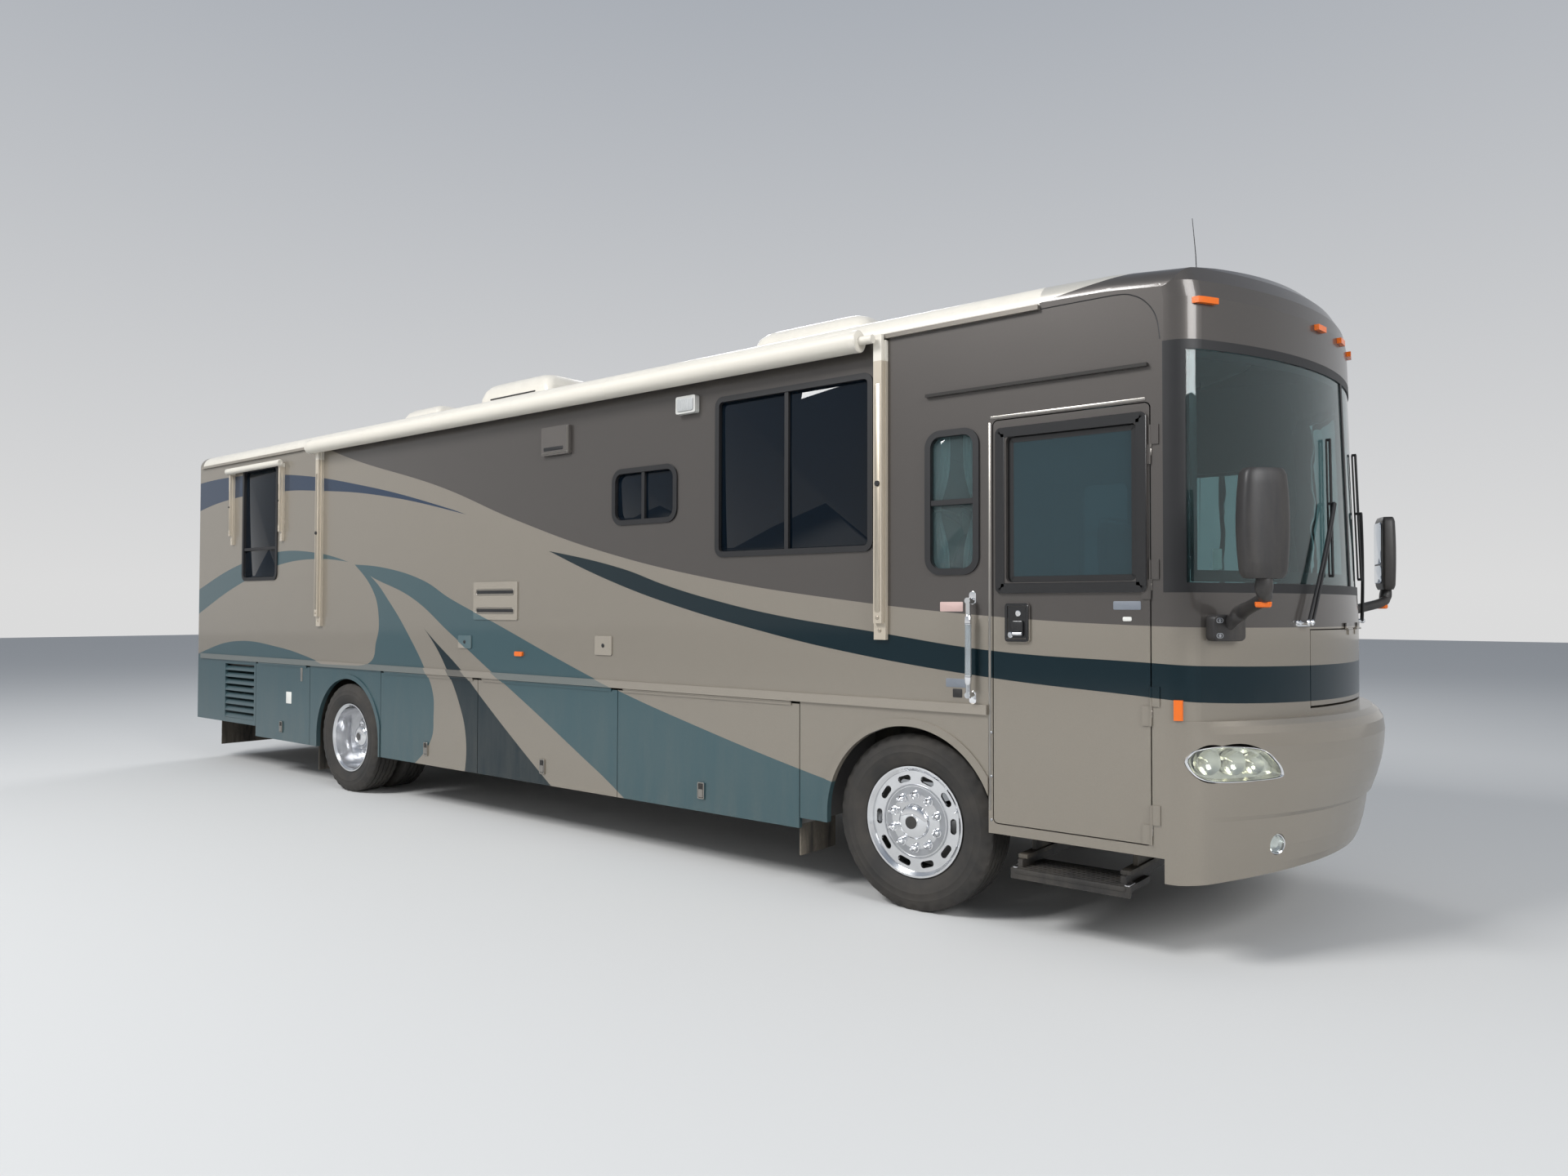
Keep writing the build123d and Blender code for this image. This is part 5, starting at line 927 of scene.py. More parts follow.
bm = bmesh.new()
lock = on_wall("entry_door", LOCK_X, LOCK_Z)
frame_plate(bm, lock, rounded(0.126, 0.190, 0.014), 0.014, -0.001, 0.007)
plate(bm, lock, rounded(0.094, 0.158, 0.008), -0.001, 0.0012)
plate(bm, on_lock(0.008, -0.030), rounded(0.062, 0.078, 0.010), 0.0, 0.014, 0.004)
plate(bm, on_lock(0.008, -0.056, 0.010), rounded(0.052, 0.012, 0.004), 0.0, 0.008, 0.002, material=1)
for along, up in ((0.008, 0.046), (-0.034, -0.062)):
    lathe(bm, on_lock(along, up), KEYHOLE, 24, material=1)
door_lock = make_piece("door_lock", bm, [black_gloss, chrome], "entry_door_leaf")
print("lock", len(door_lock.data.polygons), "faces")

# %% [markdown]
# ### Plates, glass border and hinges
# The door's glass is held by a black rubber that shows as a raised frame, and the glass itself has a dark
# printed edge. The rest are thin plates and turned knuckles.

# %% Plates, glass border and hinges
DOOR_LIGHT_X, DOOR_LIGHT_Z = 4.409, 2.1185
HINGE_X, HINGE_Y, HINGE_ZS = 4.8065, -1.2905, (0.640, 1.180, 1.760, 2.380)
KNUCKLE_COUNT, KNUCKLE_PITCH = 3, 0.034
KNUCKLE = [(0.0, 0), (0.0058, 0), (0.0066, 0.002), (0.0066, 0.030), (0.0058, 0.032), (0.0, 0.032)]
bm = bmesh.new()
for x, z, width, height, thick, material in ((4.695, 1.641, 0.130, 0.040, 0.0018, 0),
                                             (4.696, 1.578, 0.042, 0.020, 0.0030, 1)):
    plate(bm, on_wall("entry_door", x, z), rounded(width, height, 0.006), SUNK, thick, 0.0008,
          material=material)
door_plates = make_piece("door_plates", bm, [grey_plate, white_plate], "entry_door_leaf")

bm = bmesh.new()
sill_y = on_wall("entry_door", DOOR_LIGHT_X, 1.725).translation.y
frame_plate(bm, facing((DOOR_LIGHT_X, sill_y, DOOR_LIGHT_Z), (0, -1, 0)), rounded(0.764, 0.834, 0.030, 6),
            0.050, -0.001, 0.005)
pane_y = on_wall("entry_door_glass", 4.415, 2.12).translation.y
frame_plate(bm, facing((4.415, pane_y, 2.1225), (0, -1, 0)), rounded(0.664, 0.739, 0.030, 6),
            0.034, SUNK, 0.0012)
make_piece("door_glass_border", bm, black_gloss, "entry_door_leaf")

bm = bmesh.new()
for x, z, width, height, material in ((3.770, 1.635, 0.135, 0.050, 0), (3.795, 1.240, 0.115, 0.045, 1),
                                      (3.805, 1.188, 0.055, 0.045, 2)):
    plate(bm, on_wall("right_wall", x, z), rounded(width, height, 0.005), SUNK, 0.0016, 0.0006,
          material=material)
make_piece("wall_plates", bm, [rose_plate, grey_plate, black_plastic], "body")

bm = bmesh.new()
for z in HINGE_ZS:
    for part in range(KNUCKLE_COUNT):
        low = z - KNUCKLE_COUNT * KNUCKLE_PITCH / 2 + part * KNUCKLE_PITCH
        lathe(bm, facing((HINGE_X, HINGE_Y, low + 0.001), (0, 0, 1), (0, 1, 0)), KNUCKLE, 16)
door_hinges = make_piece("door_hinge_knuckles", bm, edge_metal, "body")

bm = bmesh.new()
for x, z, width, height in ((3.990, 1.590, 0.014, 1.960), (4.390, 2.594, 0.790, 0.014)):
    plate(bm, on_wall("right_wall", x, z), rounded(width, height, 0.004), SUNK, 0.0022, 0.001)
make_piece("door_surround", bm, edge_metal, "body")
print("door fittings", [p.name for p in (door_lock, door_plates, door_hinges)])

# %% [markdown]
# ## Headlights
# Each headlight is a deep bright bowl under one clear cover, with three reflector cups in it. The cover
# has to run on with the curved nose, so its height is felt with rays on the CAD lamp at every point and
# the new lens is laid on that. The cups are turned, and the bowl is the lens outline drawn inward.

# %% Headlights
LAMP_Z = 0.925
LAMP_ENDS = ((4.946, 1.273), (5.266, 0.884))
LAMP_OUTLINE = [(0.252, -0.050), (0.228, -0.072), (0.100, -0.080), (-0.100, -0.082), (-0.205, -0.056),
                (-0.252, 0.010), (-0.236, 0.044), (-0.200, 0.068), (-0.080, 0.082), (0.120, 0.066),
                (0.212, 0.006)]
# Rings of the lamp, each as its share of the outline and its drop under the CAD lamp's face
LAMP_RIM = [(0.995, 0.018), (0.995, -0.0015), (0.985, -0.004), (0.955, -0.004), (0.935, 0.001),
            (0.93, 0.030)]
LAMP_BOWL = [(0.93, 0.004), (0.915, 0.030), (0.86, 0.046), (0.5, 0.050)]
LENS = [(0.94, 0.0015), (0.93, -0.001), (0.8, -0.0035), (0.6, -0.005), (0.3, -0.006)]
LENS_CROWN, LENS_THICK = 0.006, 0.003
BOWL_BOTTOM, CUP_DEEP, BULB_DEEP = -0.022, 0.018, 0.024
CUPS = [(-0.135, 0.008, 0.058), (-0.012, 0.004, 0.056), (0.096, -0.006, 0.048)]  # along, up, radius
CUP = [(0.0, -0.026), (0.24, -0.025), (0.52, -0.019), (0.78, -0.009), (1.0, 0.004), (1.04, 0.004),
       (1.04, -0.026)]
BULB = [(0.011, 0), (0.011, 0.008), (0.009, 0.013), (0.005, 0.016), (0.0, 0.017)]
lamp_cover = tinted_glass("lamp_cover", srgb(238, 242, 238), 0.96)
reflector = metal("reflector", srgb(240, 238, 228), roughness=0.24, dust=0.0)


def lamp_place(sign):
    """The middle of a headlight, facing out of it."""
    (x1, y1), (x2, y2) = LAMP_ENDS
    along = Vector((x2 - x1, sign * (y2 - y1), 0)).normalized()
    return facing(((x1 + x2) / 2, sign * (y1 + y2) / 2, LAMP_Z), (abs(along.y), sign * along.x, 0))


def lamp_skin(place, x, y):
    """The height of the CAD lamp's face over the lamp's own plane."""
    outward = place.to_3x3() @ Vector((0, 0, 1))
    for share in (1.0, 0.985, 0.96, 0.93, 0.9):
        hit, spot, _, _ = nodes["headlights"].ray_cast(place @ Vector((x * share, y * share, 0.3)), -outward)
        if hit:
            return (place.inverted() @ spot).z
    return 0.0


def lamp_rings(place, line, rings, deeper=0.0):
    """Rings of points that follow the lamp's face, from their shares and drops."""
    return [[place @ Vector((x * share, y * share, lamp_skin(place, x * share, y * share) - (drop + deeper)))
             for x, y in line] for share, drop in rings]


def add_headlight(bm, place, line, sign):
    """The rim, the bowl and the cups of one headlight."""
    skin(bm, lamp_rings(place, line, LAMP_RIM))
    bottom = [place @ Vector((0, 0, BOWL_BOTTOM))]
    skin(bm, lamp_rings(place, line, LAMP_BOWL) + [bottom], material=1)
    for along, up, radius in CUPS:
        x = along * -sign
        spot = place @ Matrix.Translation((x, up, lamp_skin(place, x, up) - CUP_DEEP))
        lathe(bm, spot, [(r * radius, h) for r, h in CUP], 40, closed=True, material=1)
        lathe(bm, spot @ Matrix.Translation((0, 0, -BULB_DEEP)), BULB, 20, material=1)


def add_lens(bm, place, line):
    """The clear cover of a headlight, with a thickness."""
    outer = lamp_rings(place, line, LENS)
    inner = lamp_rings(place, line, reversed(LENS), LENS_THICK)
    crown = lamp_skin(place, 0, 0) + LENS_CROWN
    skin(bm, outer + [[place @ Vector((0, 0, crown))]])
    skin(bm, [[place @ Vector((0, 0, crown - LENS_THICK))]] + inner + [outer[0]])


print("lamp outline of", len(LAMP_OUTLINE), "points")

# %% [markdown]
# ### Both headlights, with their fog lamps
# The left outline is the right one mirrored, and so it has to be turned round to stay anticlockwise. The
# fog lamps are small turned bowls under the headlights.

# %% Both headlights, with their fog lamps
FOG_X, FOG_Y, FOG_Z = 5.236, 0.852, 0.537
FOG_BOWL = [(0.049, -0.036), (0.049, -0.012), (0.046, -0.010), (0.043, -0.012), (0.041, -0.026),
            (0.030, -0.036), (0.0, -0.040)]
FOG_LENS = [(0.0, -0.014), (0.02, -0.015), (0.042, -0.019), (0.042, -0.022), (0.02, -0.018), (0.0, -0.017)]
for side, sign in SIDES.items():
    place = lamp_place(sign)
    line = bend_closed([(x * -sign, y) for x, y in LAMP_OUTLINE])
    if sign == LEFT:
        line.reverse()
    bm = bmesh.new()
    add_headlight(bm, place, line, sign)
    fog = facing((FOG_X, sign * FOG_Y, FOG_Z), (0.80, sign * 0.60, 0))
    lathe(bm, fog, FOG_BOWL, 40)
    make_piece(f"headlight_{side}", bm, [chrome, reflector, hub_black], "body")
    bm = bmesh.new()
    add_lens(bm, place, line)
    lathe(bm, fog, FOG_LENS, 40)
    make_piece(f"headlight_cover_{side}", bm, lamp_cover, "body")
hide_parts("headlights")

# %% [markdown]
# ## The curve of the nose
# The wipers and the feet of the mirrors stand on the nose. Its skin is an arc about a point in the cab, and
# it leans back towards the windshield. Rays could feel it out, but the CAD model's own arc is known, so a
# point at any distance off the skin is worked out from it.

# %% The curve of the nose
NOSE_MIDDLE_X, NOSE_SWEEP, NOSE_LEAN, LEAN_FROM_Z = 3.3195, 2.0805, 0.035, 1.54


def nose_spot(y, z, off=0.0):
    """A point off the nose's skin."""
    lean = max(0.0, z - LEAN_FROM_Z) * NOSE_LEAN
    return Vector((NOSE_MIDDLE_X + math.sqrt((NOSE_SWEEP + off) ** 2 - y * y) - lean, y, z))


def nose_out(y):
    """The way out of the nose's skin."""
    return Vector((math.sqrt(NOSE_SWEEP ** 2 - y * y), y, 0)).normalized()


print("nose sweep", NOSE_SWEEP)

# %% [markdown]
# ## Windshield edge
# A windshield is bonded in over a black printed border, which hides the glue. Here it is a thin dark
# band just inside the glass, whose place is felt out with rays from a point in the cab.

# %% Windshield edge
PANE_LOW, PANE_HIGH = 1.7455, 2.8045
BORDER_LOW, BORDER_HIGH = 1.802, 2.765
BAND_INNER, BAND_OUTER = 0.0022, 0.0007  # how far in from the glass the two faces of the band lie
EYE_X = 4.2
printed_border = plastic("printed_border", srgb(12, 12, 14), roughness=0.4, dust=0.0)


def pane_spot(turn, z):
    """A point on the inner face of the glass, seen from a point in the cab, and the way in from it."""
    way = Vector((math.cos(math.radians(turn)), math.sin(math.radians(turn)), 0))
    hit, spot, _, _ = nodes["windshield"].ray_cast(Vector((EYE_X, 0, z)), way)
    return (spot, way) if hit else None


def glass_band(bm, turns, low, high):
    """A thin band just inside the glass, as seen over some turns of the head from the cab."""
    rings = []
    for turn in turns:
        found = [pane_spot(turn, z) for z in (low, high)]
        if None in found:
            continue
        (first, way), (second, _) = found
        rings.append([first - way * BAND_INNER, second - way * BAND_INNER,
                      second - way * BAND_OUTER, first - way * BAND_OUTER])
    skin(bm, rings, cap_start=True, cap_end=True)


bm = bmesh.new()
for sign in (RIGHT, LEFT):
    sweep = [sign * (1.6 + 56.6 * i / 40) for i in range(41)]
    glass_band(bm, sweep, PANE_LOW + 0.004, BORDER_LOW)
    glass_band(bm, sweep, BORDER_HIGH, PANE_HIGH - 0.004)
    glass_band(bm, [sign * (57.0 + 1.3 * i / 6) for i in range(7)], BORDER_LOW, BORDER_HIGH)
    glass_band(bm, [sign * (1.4 + 0.9 * i / 3) for i in range(4)], BORDER_LOW, BORDER_HIGH)
border = make_piece("windshield_border", bm, printed_border, "body")
bm = bmesh.new()
glass_band(bm, [-53.9 + 2.0 * i / 4 for i in range(5)], 1.806, 1.900)
make_piece("blank_pass", bm, white_plate, "body")
print("border", len(border.data.polygons), "faces")

# %% [markdown]
# ## Wipers
# The wipers are the wide parallel kind: two thin rods rise from a bright bracket to a blade, which keeps
# its angle as it sweeps. They are parked in the photograph and have no joint. The rods follow the nose's
# curve, so they are bent along a few points off its skin.

# %% Wipers
WIPER_FOOT, WIPER_TIP = (0.640, 1.562), (0.345, 2.150)  # each as y on the left side and z
ROD_SPREAD, ROD_OFF = 0.016, 0.036
ROD_SHARES = (0.0, 0.12, 0.35, 0.6, 0.82, 1.0)
BLADE_RISES, BLADE_SLANT = (-0.36, -0.18, 0.0, 0.16, 0.32), 0.06
PIVOT = [(0.0115, 0.0), (0.0115, 0.034), (0.0145, 0.036), (0.0145, 0.044), (0.008, 0.050), (0.0, 0.051)]
bm = bmesh.new()
for sign in (RIGHT, LEFT):
    foot, tip = [(sign * y, z) for y, z in (WIPER_FOOT, WIPER_TIP)]
    for shift in (-ROD_SPREAD, ROD_SPREAD):
        points = []
        for share in ROD_SHARES:
            y = foot[0] + (tip[0] - foot[0]) * share
            z = foot[1] + (tip[1] - foot[1]) * share
            narrowing = 1.0 if share < 0.15 else 1.0 - 0.45 * share
            points.append(nose_spot(y + shift * narrowing, z, ROD_OFF))
        tube(bm, bend(points, 5), 0.0072, 10)
    blade = [(tip[0] - sign * BLADE_SLANT * rise, tip[1] + rise) for rise in BLADE_RISES]
    tube(bm, bend([nose_spot(y, z, 0.022) for y, z in blade], 5), 0.0065, 8)
    tube(bm, bend([nose_spot(y, z, 0.006) for y, z in blade], 5), 0.0050, 6)
    for (y, z), top in zip(blade[::2], (0.026, 0.040, 0.026)):
        tube(bm, [nose_spot(y, z, 0.004), nose_spot(y, z, top)], 0.0072, 8)
    pivot = nose_spot(foot[0], foot[1] - 0.004)
    out = nose_out(foot[0])
    plate(bm, facing(pivot, out), rounded(0.120, 0.030, 0.012), -0.001, 0.010, 0.003, material=1)
    for shift in (-ROD_SPREAD, ROD_SPREAD):
        lathe(bm, facing(nose_spot(foot[0] + shift, foot[1]), out), PIVOT, 20, material=1)
wiper_rods = make_piece("wiper_rods", bm, [black_plastic, chrome], "body")
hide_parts("wipers")
print("wipers", len(wiper_rods.data.polygons), "faces")

# %% [markdown]
# ## Entry step
# The step is a folded steel tray, so it gets anti-slip ribs and bright end brackets.

# %% Entry step
STEP_X, RIB_COUNT, RIB_FIRST_Y, RIB_PITCH = 4.400, 8, -1.262, 0.030
step_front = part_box("entry_step")[0][1]
tread_z = touch("entry_step", (STEP_X, -1.20, 0.6), (0, 0, -1))[0].z


def on_tread(x, y):
    """A place on the upper side of the step."""
    return facing((x, y, tread_z), (0, 0, 1), (0, 1, 0))


bm = bmesh.new()
for row in range(RIB_COUNT):
    spot = on_tread(STEP_X, RIB_FIRST_Y + row * RIB_PITCH)
    plate(bm, spot, rounded(0.540, 0.013, 0.006), SUNK, 0.003, 0.001)
plate(bm, facing((STEP_X, step_front, tread_z - 0.014), (0, -1, 0)), rounded(0.560, 0.022, 0.008),
      -0.001, 0.003, 0.001)
for x in (4.118, 4.682):
    plate(bm, on_tread(x, -1.235), rounded(0.028, 0.085, 0.010), SUNK, 0.004, 0.001, material=1)
make_piece("step_tread", bm, [black_plastic, bright_rod], "folding_step")
print("step tread at", round(tread_z, 3))

# %% [markdown]
# ## Lid latches and screws
# Each baggage lid has a paddle latch at the middle of its lower edge, which is a cup with a flap in it. A
# latch rides on its own lid, so each is a piece of its own.

# %% Lid latches and screws
LATCH_Z = 0.486
LATCH_BUTTON = [(0.010, SUNK), (0.010, 0.003), (0.008, 0.004), (0.0, 0.004)]
SCREW_X, SCREW_ZS = 3.998, (0.56, 0.78, 1.00)
SCREW = [(0.007, SUNK), (0.006, 0.002), (0.003, 0.0035), (0.0, 0.0035)]
LID_BODIES = {f"baggage_door_{side}_{name}": f"lid_{side}_{name}" for side in SIDES for name in "123"}
LID_BODIES["baggage_door_right_rear"] = "lid_right_rear"
for node, body in LID_BODIES.items():
    low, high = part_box(node)
    spot = on_wall(node, (low[0] + high[0]) / 2, LATCH_Z, RIGHT if "right" in node else LEFT)
    bm = bmesh.new()
    frame_plate(bm, spot, rounded(0.056, 0.104, 0.010), 0.007, SUNK, 0.003)
    plate(bm, spot, rounded(0.036, 0.050, 0.006, middle=(0.0, -0.016)), SUNK, 0.005, 0.002)
    plate(bm, spot, rounded(0.042, 0.090, 0.005), SUNK, 0.0012, material=1)
    lathe(bm, spot @ Matrix.Translation((0, 0.028, 0)), LATCH_BUTTON, 20, material=1)
    if body == "lid_right_rear":
        for x, z, width, height, material in ((-3.36, 0.77, 0.100, 0.110, 2), (-3.12, 1.00, 0.036, 0.130, 0)):
            plate(bm, on_wall(node, x, z), rounded(width, height, 0.006), SUNK, 0.003, 0.001,
                  material=material)
    name = "latch_" + node.removeprefix("baggage_door_")
    make_piece(name, bm, [edge_metal, black_plastic, white_plate], body)

bm = bmesh.new()
for z in SCREW_ZS:
    lathe(bm, on_wall("right_wall", SCREW_X, z), SCREW, 16)
make_piece("skirt_screws", bm, satin, "body")
print("latches", len(LID_BODIES))

# %% [markdown]
# ## Grab rail
# The grab rail is a clear bar in bright end brackets. The CAD model has it in one node with the vents and
# the porch lamp, so one finish dresses them all by their places, and the clear bar is laid over the rail.

# %% Grab rail
RAIL_X, RAIL_LOW, RAIL_HIGH, RAIL_RADIUS = 3.895, 1.170, 1.680, 0.012
RAIL_FROM_X, PORCH_FROM_X, PORCH_FROM_Z = 3.7, 1.75, 2.5
RAIL_COLLAR = [(0.0125, -0.006), (0.0190, -0.006), (0.0195, 0.000), (0.0180, 0.030), (0.0130, 0.042),
               (0.0125, 0.042)]
clear_bar = tinted_glass("clear_bar", srgb(232, 238, 240), 0.85)


def fittings_material():
    """The side fittings: body paint on the covers, a bright rail and a pale lamp, each by its place."""
    material, tree, shader = new_material("side_fittings_finish")
    place = object_place(tree)
    axis = add_node(tree, "SeparateXYZ", Vector=place)
    along, up = axis.outputs["X"], axis.outputs["Z"]
    rail = math_node(tree, "GREATER_THAN", along, RAIL_FROM_X)
    lamp = math_node(tree, "MULTIPLY", math_node(tree, "GREATER_THAN", along, PORCH_FROM_X),
                     math_node(tree, "GREATER_THAN", up, PORCH_FROM_Z))
    color = mix_color(tree, lamp, scheme_color(tree, place), srgb(196, 196, 192))
    color = mix_color(tree, rail, color, srgb(226, 228, 230))
    add_dust(tree, shader, place, color, 0.6, 3.2, 0.25)
    feed(tree, shader.inputs["Metallic"], rail)
    feed(tree, shader.inputs["Roughness"], mix_value(tree, rail, 0.4, 0.12))
    return material


dress("side_fittings", fittings_material())
rail_y = on_wall("side_fittings", RAIL_X, 1.42).translation.y + RAIL_RADIUS
low, high = RAIL_LOW + 0.11, RAIL_HIGH - 0.13
long = high - low
bm = bmesh.new()
lathe(bm, facing((RAIL_X, rail_y, low), (0, 0, 1), (0, 1, 0)),
      [(0.0128, 0), (0.0165, 0), (0.0170, 0.004), (0.0170, long - 0.004), (0.0165, long), (0.0128, long)],
      32, closed=True)
make_piece("rail_grip", bm, clear_bar, "body")
bm = bmesh.new()
for z, way in ((low, -1), (high, 1)):
    lathe(bm, facing((RAIL_X, rail_y, z), (0, 0, way), (0, 1, 0)), RAIL_COLLAR, 32, closed=True)
for z in (RAIL_LOW, RAIL_HIGH):
    wall_y = on_wall("right_wall", RAIL_X - 0.045, z).translation.y
    plate(bm, facing((RAIL_X, wall_y, z), (0, -1, 0)), rounded(0.040, 0.068, 0.018), SUNK, 0.006, 0.002)
make_piece("rail_ends", bm, chrome, "body")
print("rail grip", round(long, 3), "m long")

# %% [markdown]
# ## Vents and porch lamp
# The furnace vent is a box with slots in its face, the cooker hood's vent has a flap, and the porch lamp
# has a ribbed lens. The CAD model gives the boxes, and their fine parts are laid on them here. The slots
# are thin black plates on the face, and their black is painted shade in the openings.

# %% Vents and porch lamp
SHADED_SLOTS = [(-0.140, 1.604, 0.450), (-0.140, 1.744, 0.450), (0.560, 2.762, 0.215)]  # x, z, width
SLOT_FRAMES = [(-0.140, 1.604, 0.472, 0.046), (-0.140, 1.744, 0.472, 0.046),  # x, z, width, height
               (0.712, 2.818, 0.016, 0.190), (0.576, 2.733, 0.280, 0.010)]
ROUND_CAP = [(0.014, SUNK), (0.014, 0.002), (0.011, 0.004), (0.0, 0.004)]
LENS_RIB_COUNT, LENS_RIB_PITCH = 7, 0.018
lamp_grey = plastic("lamp_grey", srgb(176, 178, 178), roughness=0.25, coat=0.5, dust=0.1)


def proud_of(node, x, z, width):
    """A place on the highest part of a fitting's face along a width."""
    across = [x + width * share for share in (-0.42, -0.2, 0.0, 0.2, 0.42)]
    return facing((x, min(on_wall(node, spot, z).translation.y for spot in across), z), (0, -1, 0))


bm = bmesh.new()
# Painted shade: each slot is a black plate on the face, standing for the shade inside the opening.
for x, z, width in SHADED_SLOTS:
    plate(bm, proud_of("side_fittings", x, z, width), rounded(width, 0.026, 0.008), -0.002, 0.0015, 0.0006)
for x, z, width, height in SLOT_FRAMES:
    outline = rounded(width, height, min(width, height) * 0.45)
    frame_plate(bm, proud_of("side_fittings", x, z, width), outline, 0.0045, -0.002, 0.004, material=1)
for x, z in ((-0.525, 1.36), (1.080, 1.369)):
    lathe(bm, on_wall("side_fittings", x, z), ROUND_CAP, 24)
make_piece("vent_slots", bm, [black_plastic, edge_metal], "body")
bm = bmesh.new()
lamp_spot = on_wall("side_fittings", 1.8795, 2.915)
plate(bm, lamp_spot, rounded(0.140, 0.082, 0.014), SUNK, 0.007, 0.003)
for row in range(LENS_RIB_COUNT):
    along = (row - (LENS_RIB_COUNT - 1) / 2) * LENS_RIB_PITCH
    plate(bm, lamp_spot @ Matrix.Translation((along, 0, 0.0065)), rounded(0.006, 0.066, 0.003),
          0.0, 0.002, 0.0008)
make_piece("porch_lamp_lens", bm, lamp_grey, "body")
print("vents and porch lamp made")

# %% [markdown]
# ## Mirror shells
# The real shells are barrel shaped: widest at mid height, flat at the glass and crowned towards the wind.
# A cube with a bevel would look like a box, so each shell is a loft of eased rectangles. It hangs on a
# thick bent arm that swells at its two joints, and it stands in for the plainer CAD mirror. A flat glass
# and a small wide-angle one lie in its back, an amber lamp sits under the elbow, and two bolts are sunk in
# each foot.

# %% Mirror shells
SHELL_HALF_HEIGHT, SHELL_HALF_WIDTH, SHELL_HALF_DEPTH = 0.228, 0.113, 0.046
SHELL_ROWS = [-1.0, -0.985, -0.95, -0.88, -0.7, -0.45, -0.15, 0.15, 0.45, 0.7, 0.88, 0.95, 0.985, 1.0]
SHELL_STEPS, ROUND_POWER, FLAT_POWER = 44, 2.8, 6.0  # the side to the wind is rounder than the glass side
HEAD_X, HEAD_Y, HEAD_Z = 5.335, 1.464, 1.980
HEAD_TURN = {RIGHT: -38.0, LEFT: 22.0}
FOOT_Y, FOOT_Z, FOOT_THICK = 1.122, 1.54, 0.052
ELBOW_SWELL, FOOT_SWELL, SWELL_LONG = (0.82, 0.007), (0.30, 0.008), 0.10  # place along the arm, rise
MIRROR_PANES = [(0.062, 0.262), (-0.132, 0.112)]  # middle over the shell's middle, height
BOLT = [(0.0085, -0.001), (0.0085, 0.0018), (0.0066, 0.0030), (0.0, 0.0030)]
mirror_glass = metal("mirror_glass", srgb(205, 212, 220), roughness=0.03, dust=0.0)


def shell_material():
    """Black moulded plastic with a veil of dried rain dust that runs down it."""
    material, tree, shader = new_material("mirror_shell")
    place = object_place(tree)
    surface = use_group(tree, grain_group, Place=place, Scale=300.0, Color=srgb(30, 30, 33), Vary=0.12,
                        Roughness=0.45)
    add_dust(tree, shader, place, surface.outputs["Color"], 1.4, 3.6, 0.16)
    feed(tree, shader.inputs["Roughness"], surface.outputs["Roughness"])
    add_bump(tree, shader, surface.outputs["Height"], 0.2, 0.001)
    return material


def shell_ring(place, share):
    """One level outline of the shell, at a share of its half height."""
    end = abs(share)
    ease = (1.0 - 0.15 * end ** 2) * (1.0 if end < 0.9 else 1.0 - 6.0 * (end - 0.9) ** 1.6)
    width, depth = SHELL_HALF_WIDTH * ease, SHELL_HALF_DEPTH * (ease if end > 0.9 else 1.0 - 0.10 * end ** 2)
    ring = []
    for k in range(SHELL_STEPS):
        angle = math.tau * k / SHELL_STEPS
        c, s = math.cos(angle), math.sin(angle)
        power = 2 / (ROUND_POWER if s > 0 else FLAT_POWER)
        ring.append(place @ Vector((width * math.copysign(abs(c) ** power, c), share * SHELL_HALF_HEIGHT,
                                    depth * math.copysign(abs(s) ** power, s))))
    return ring


mirror_shell = shell_material()
for side, sign in SIDES.items():
    turn = math.radians(HEAD_TURN[sign])
    ahead = Vector((math.cos(turn), math.sin(turn), 0))
    middle = Vector((HEAD_X, sign * HEAD_Y, HEAD_Z))
    bm = bmesh.new()
    skin(bm, [shell_ring(facing(middle, ahead), share) for share in SHELL_ROWS], cap_start=True, cap_end=True)
    foot = facing(nose_spot(sign * FOOT_Y, FOOT_Z), nose_out(sign * FOOT_Y))
    plate(bm, foot, rounded(0.180, 0.120, 0.024, 5), -0.003, FOOT_THICK, 0.012)
    arm = [foot @ Vector((0, 0.010, 0.030)), foot @ Vector((0.0, 0.050, 0.085)),
           foot @ Vector((0.0, 0.078, 0.130)), Vector((5.315, sign * 1.395, 1.668)),
           Vector((5.330, sign * 1.452, 1.702)), Vector((HEAD_X, sign * HEAD_Y, 1.770))]
    line = bend(arm, 6)
    radii = [0.0285 + sum(rise * math.exp(-((i / len(line) - spot) / SWELL_LONG) ** 2)
                          for spot, rise in (FOOT_SWELL, ELBOW_SWELL)) for i in range(len(line))]
    tube(bm, line, radii, 20)
    mirror_body = make_piece(f"mirror_shell_{side}", bm, mirror_shell, "body")
    if sign == RIGHT:
        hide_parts("mirrors")
    back = facing(middle - ahead * (SHELL_HALF_DEPTH + 0.0005), -ahead)
    bm = bmesh.new()
    for up, height in MIRROR_PANES:
        plate(bm, back @ Matrix.Translation((0, up, 0)), rounded(0.150, height, 0.018), -0.002, 0.003, 0.001)
    make_piece(f"mirror_panes_{side}", bm, mirror_glass, "body")
    bm = bmesh.new()
    lens = facing((5.318, sign * 1.415, 1.655), (0, 0, -1), (1, 0, 0))
    plate(bm, lens, rounded(0.040, 0.066, 0.018), 0.0, 0.024, 0.010)
    make_piece(f"mirror_lamp_{side}", bm, amber, "body")
    bm = bmesh.new()
    for height in (-0.034, 0.034):
        recess = foot @ Matrix.Translation((0.060 * sign, height, FOOT_THICK))
        frame_plate(bm, recess, rounded(0.038, 0.024, 0.0118), 0.004, -0.001, 0.0025, material=1)
        lathe(bm, recess, BOLT, 6, material=1)
    make_piece(f"mirror_bolts_{side}", bm, [black_plastic, satin], "body")
print("mirrors made")

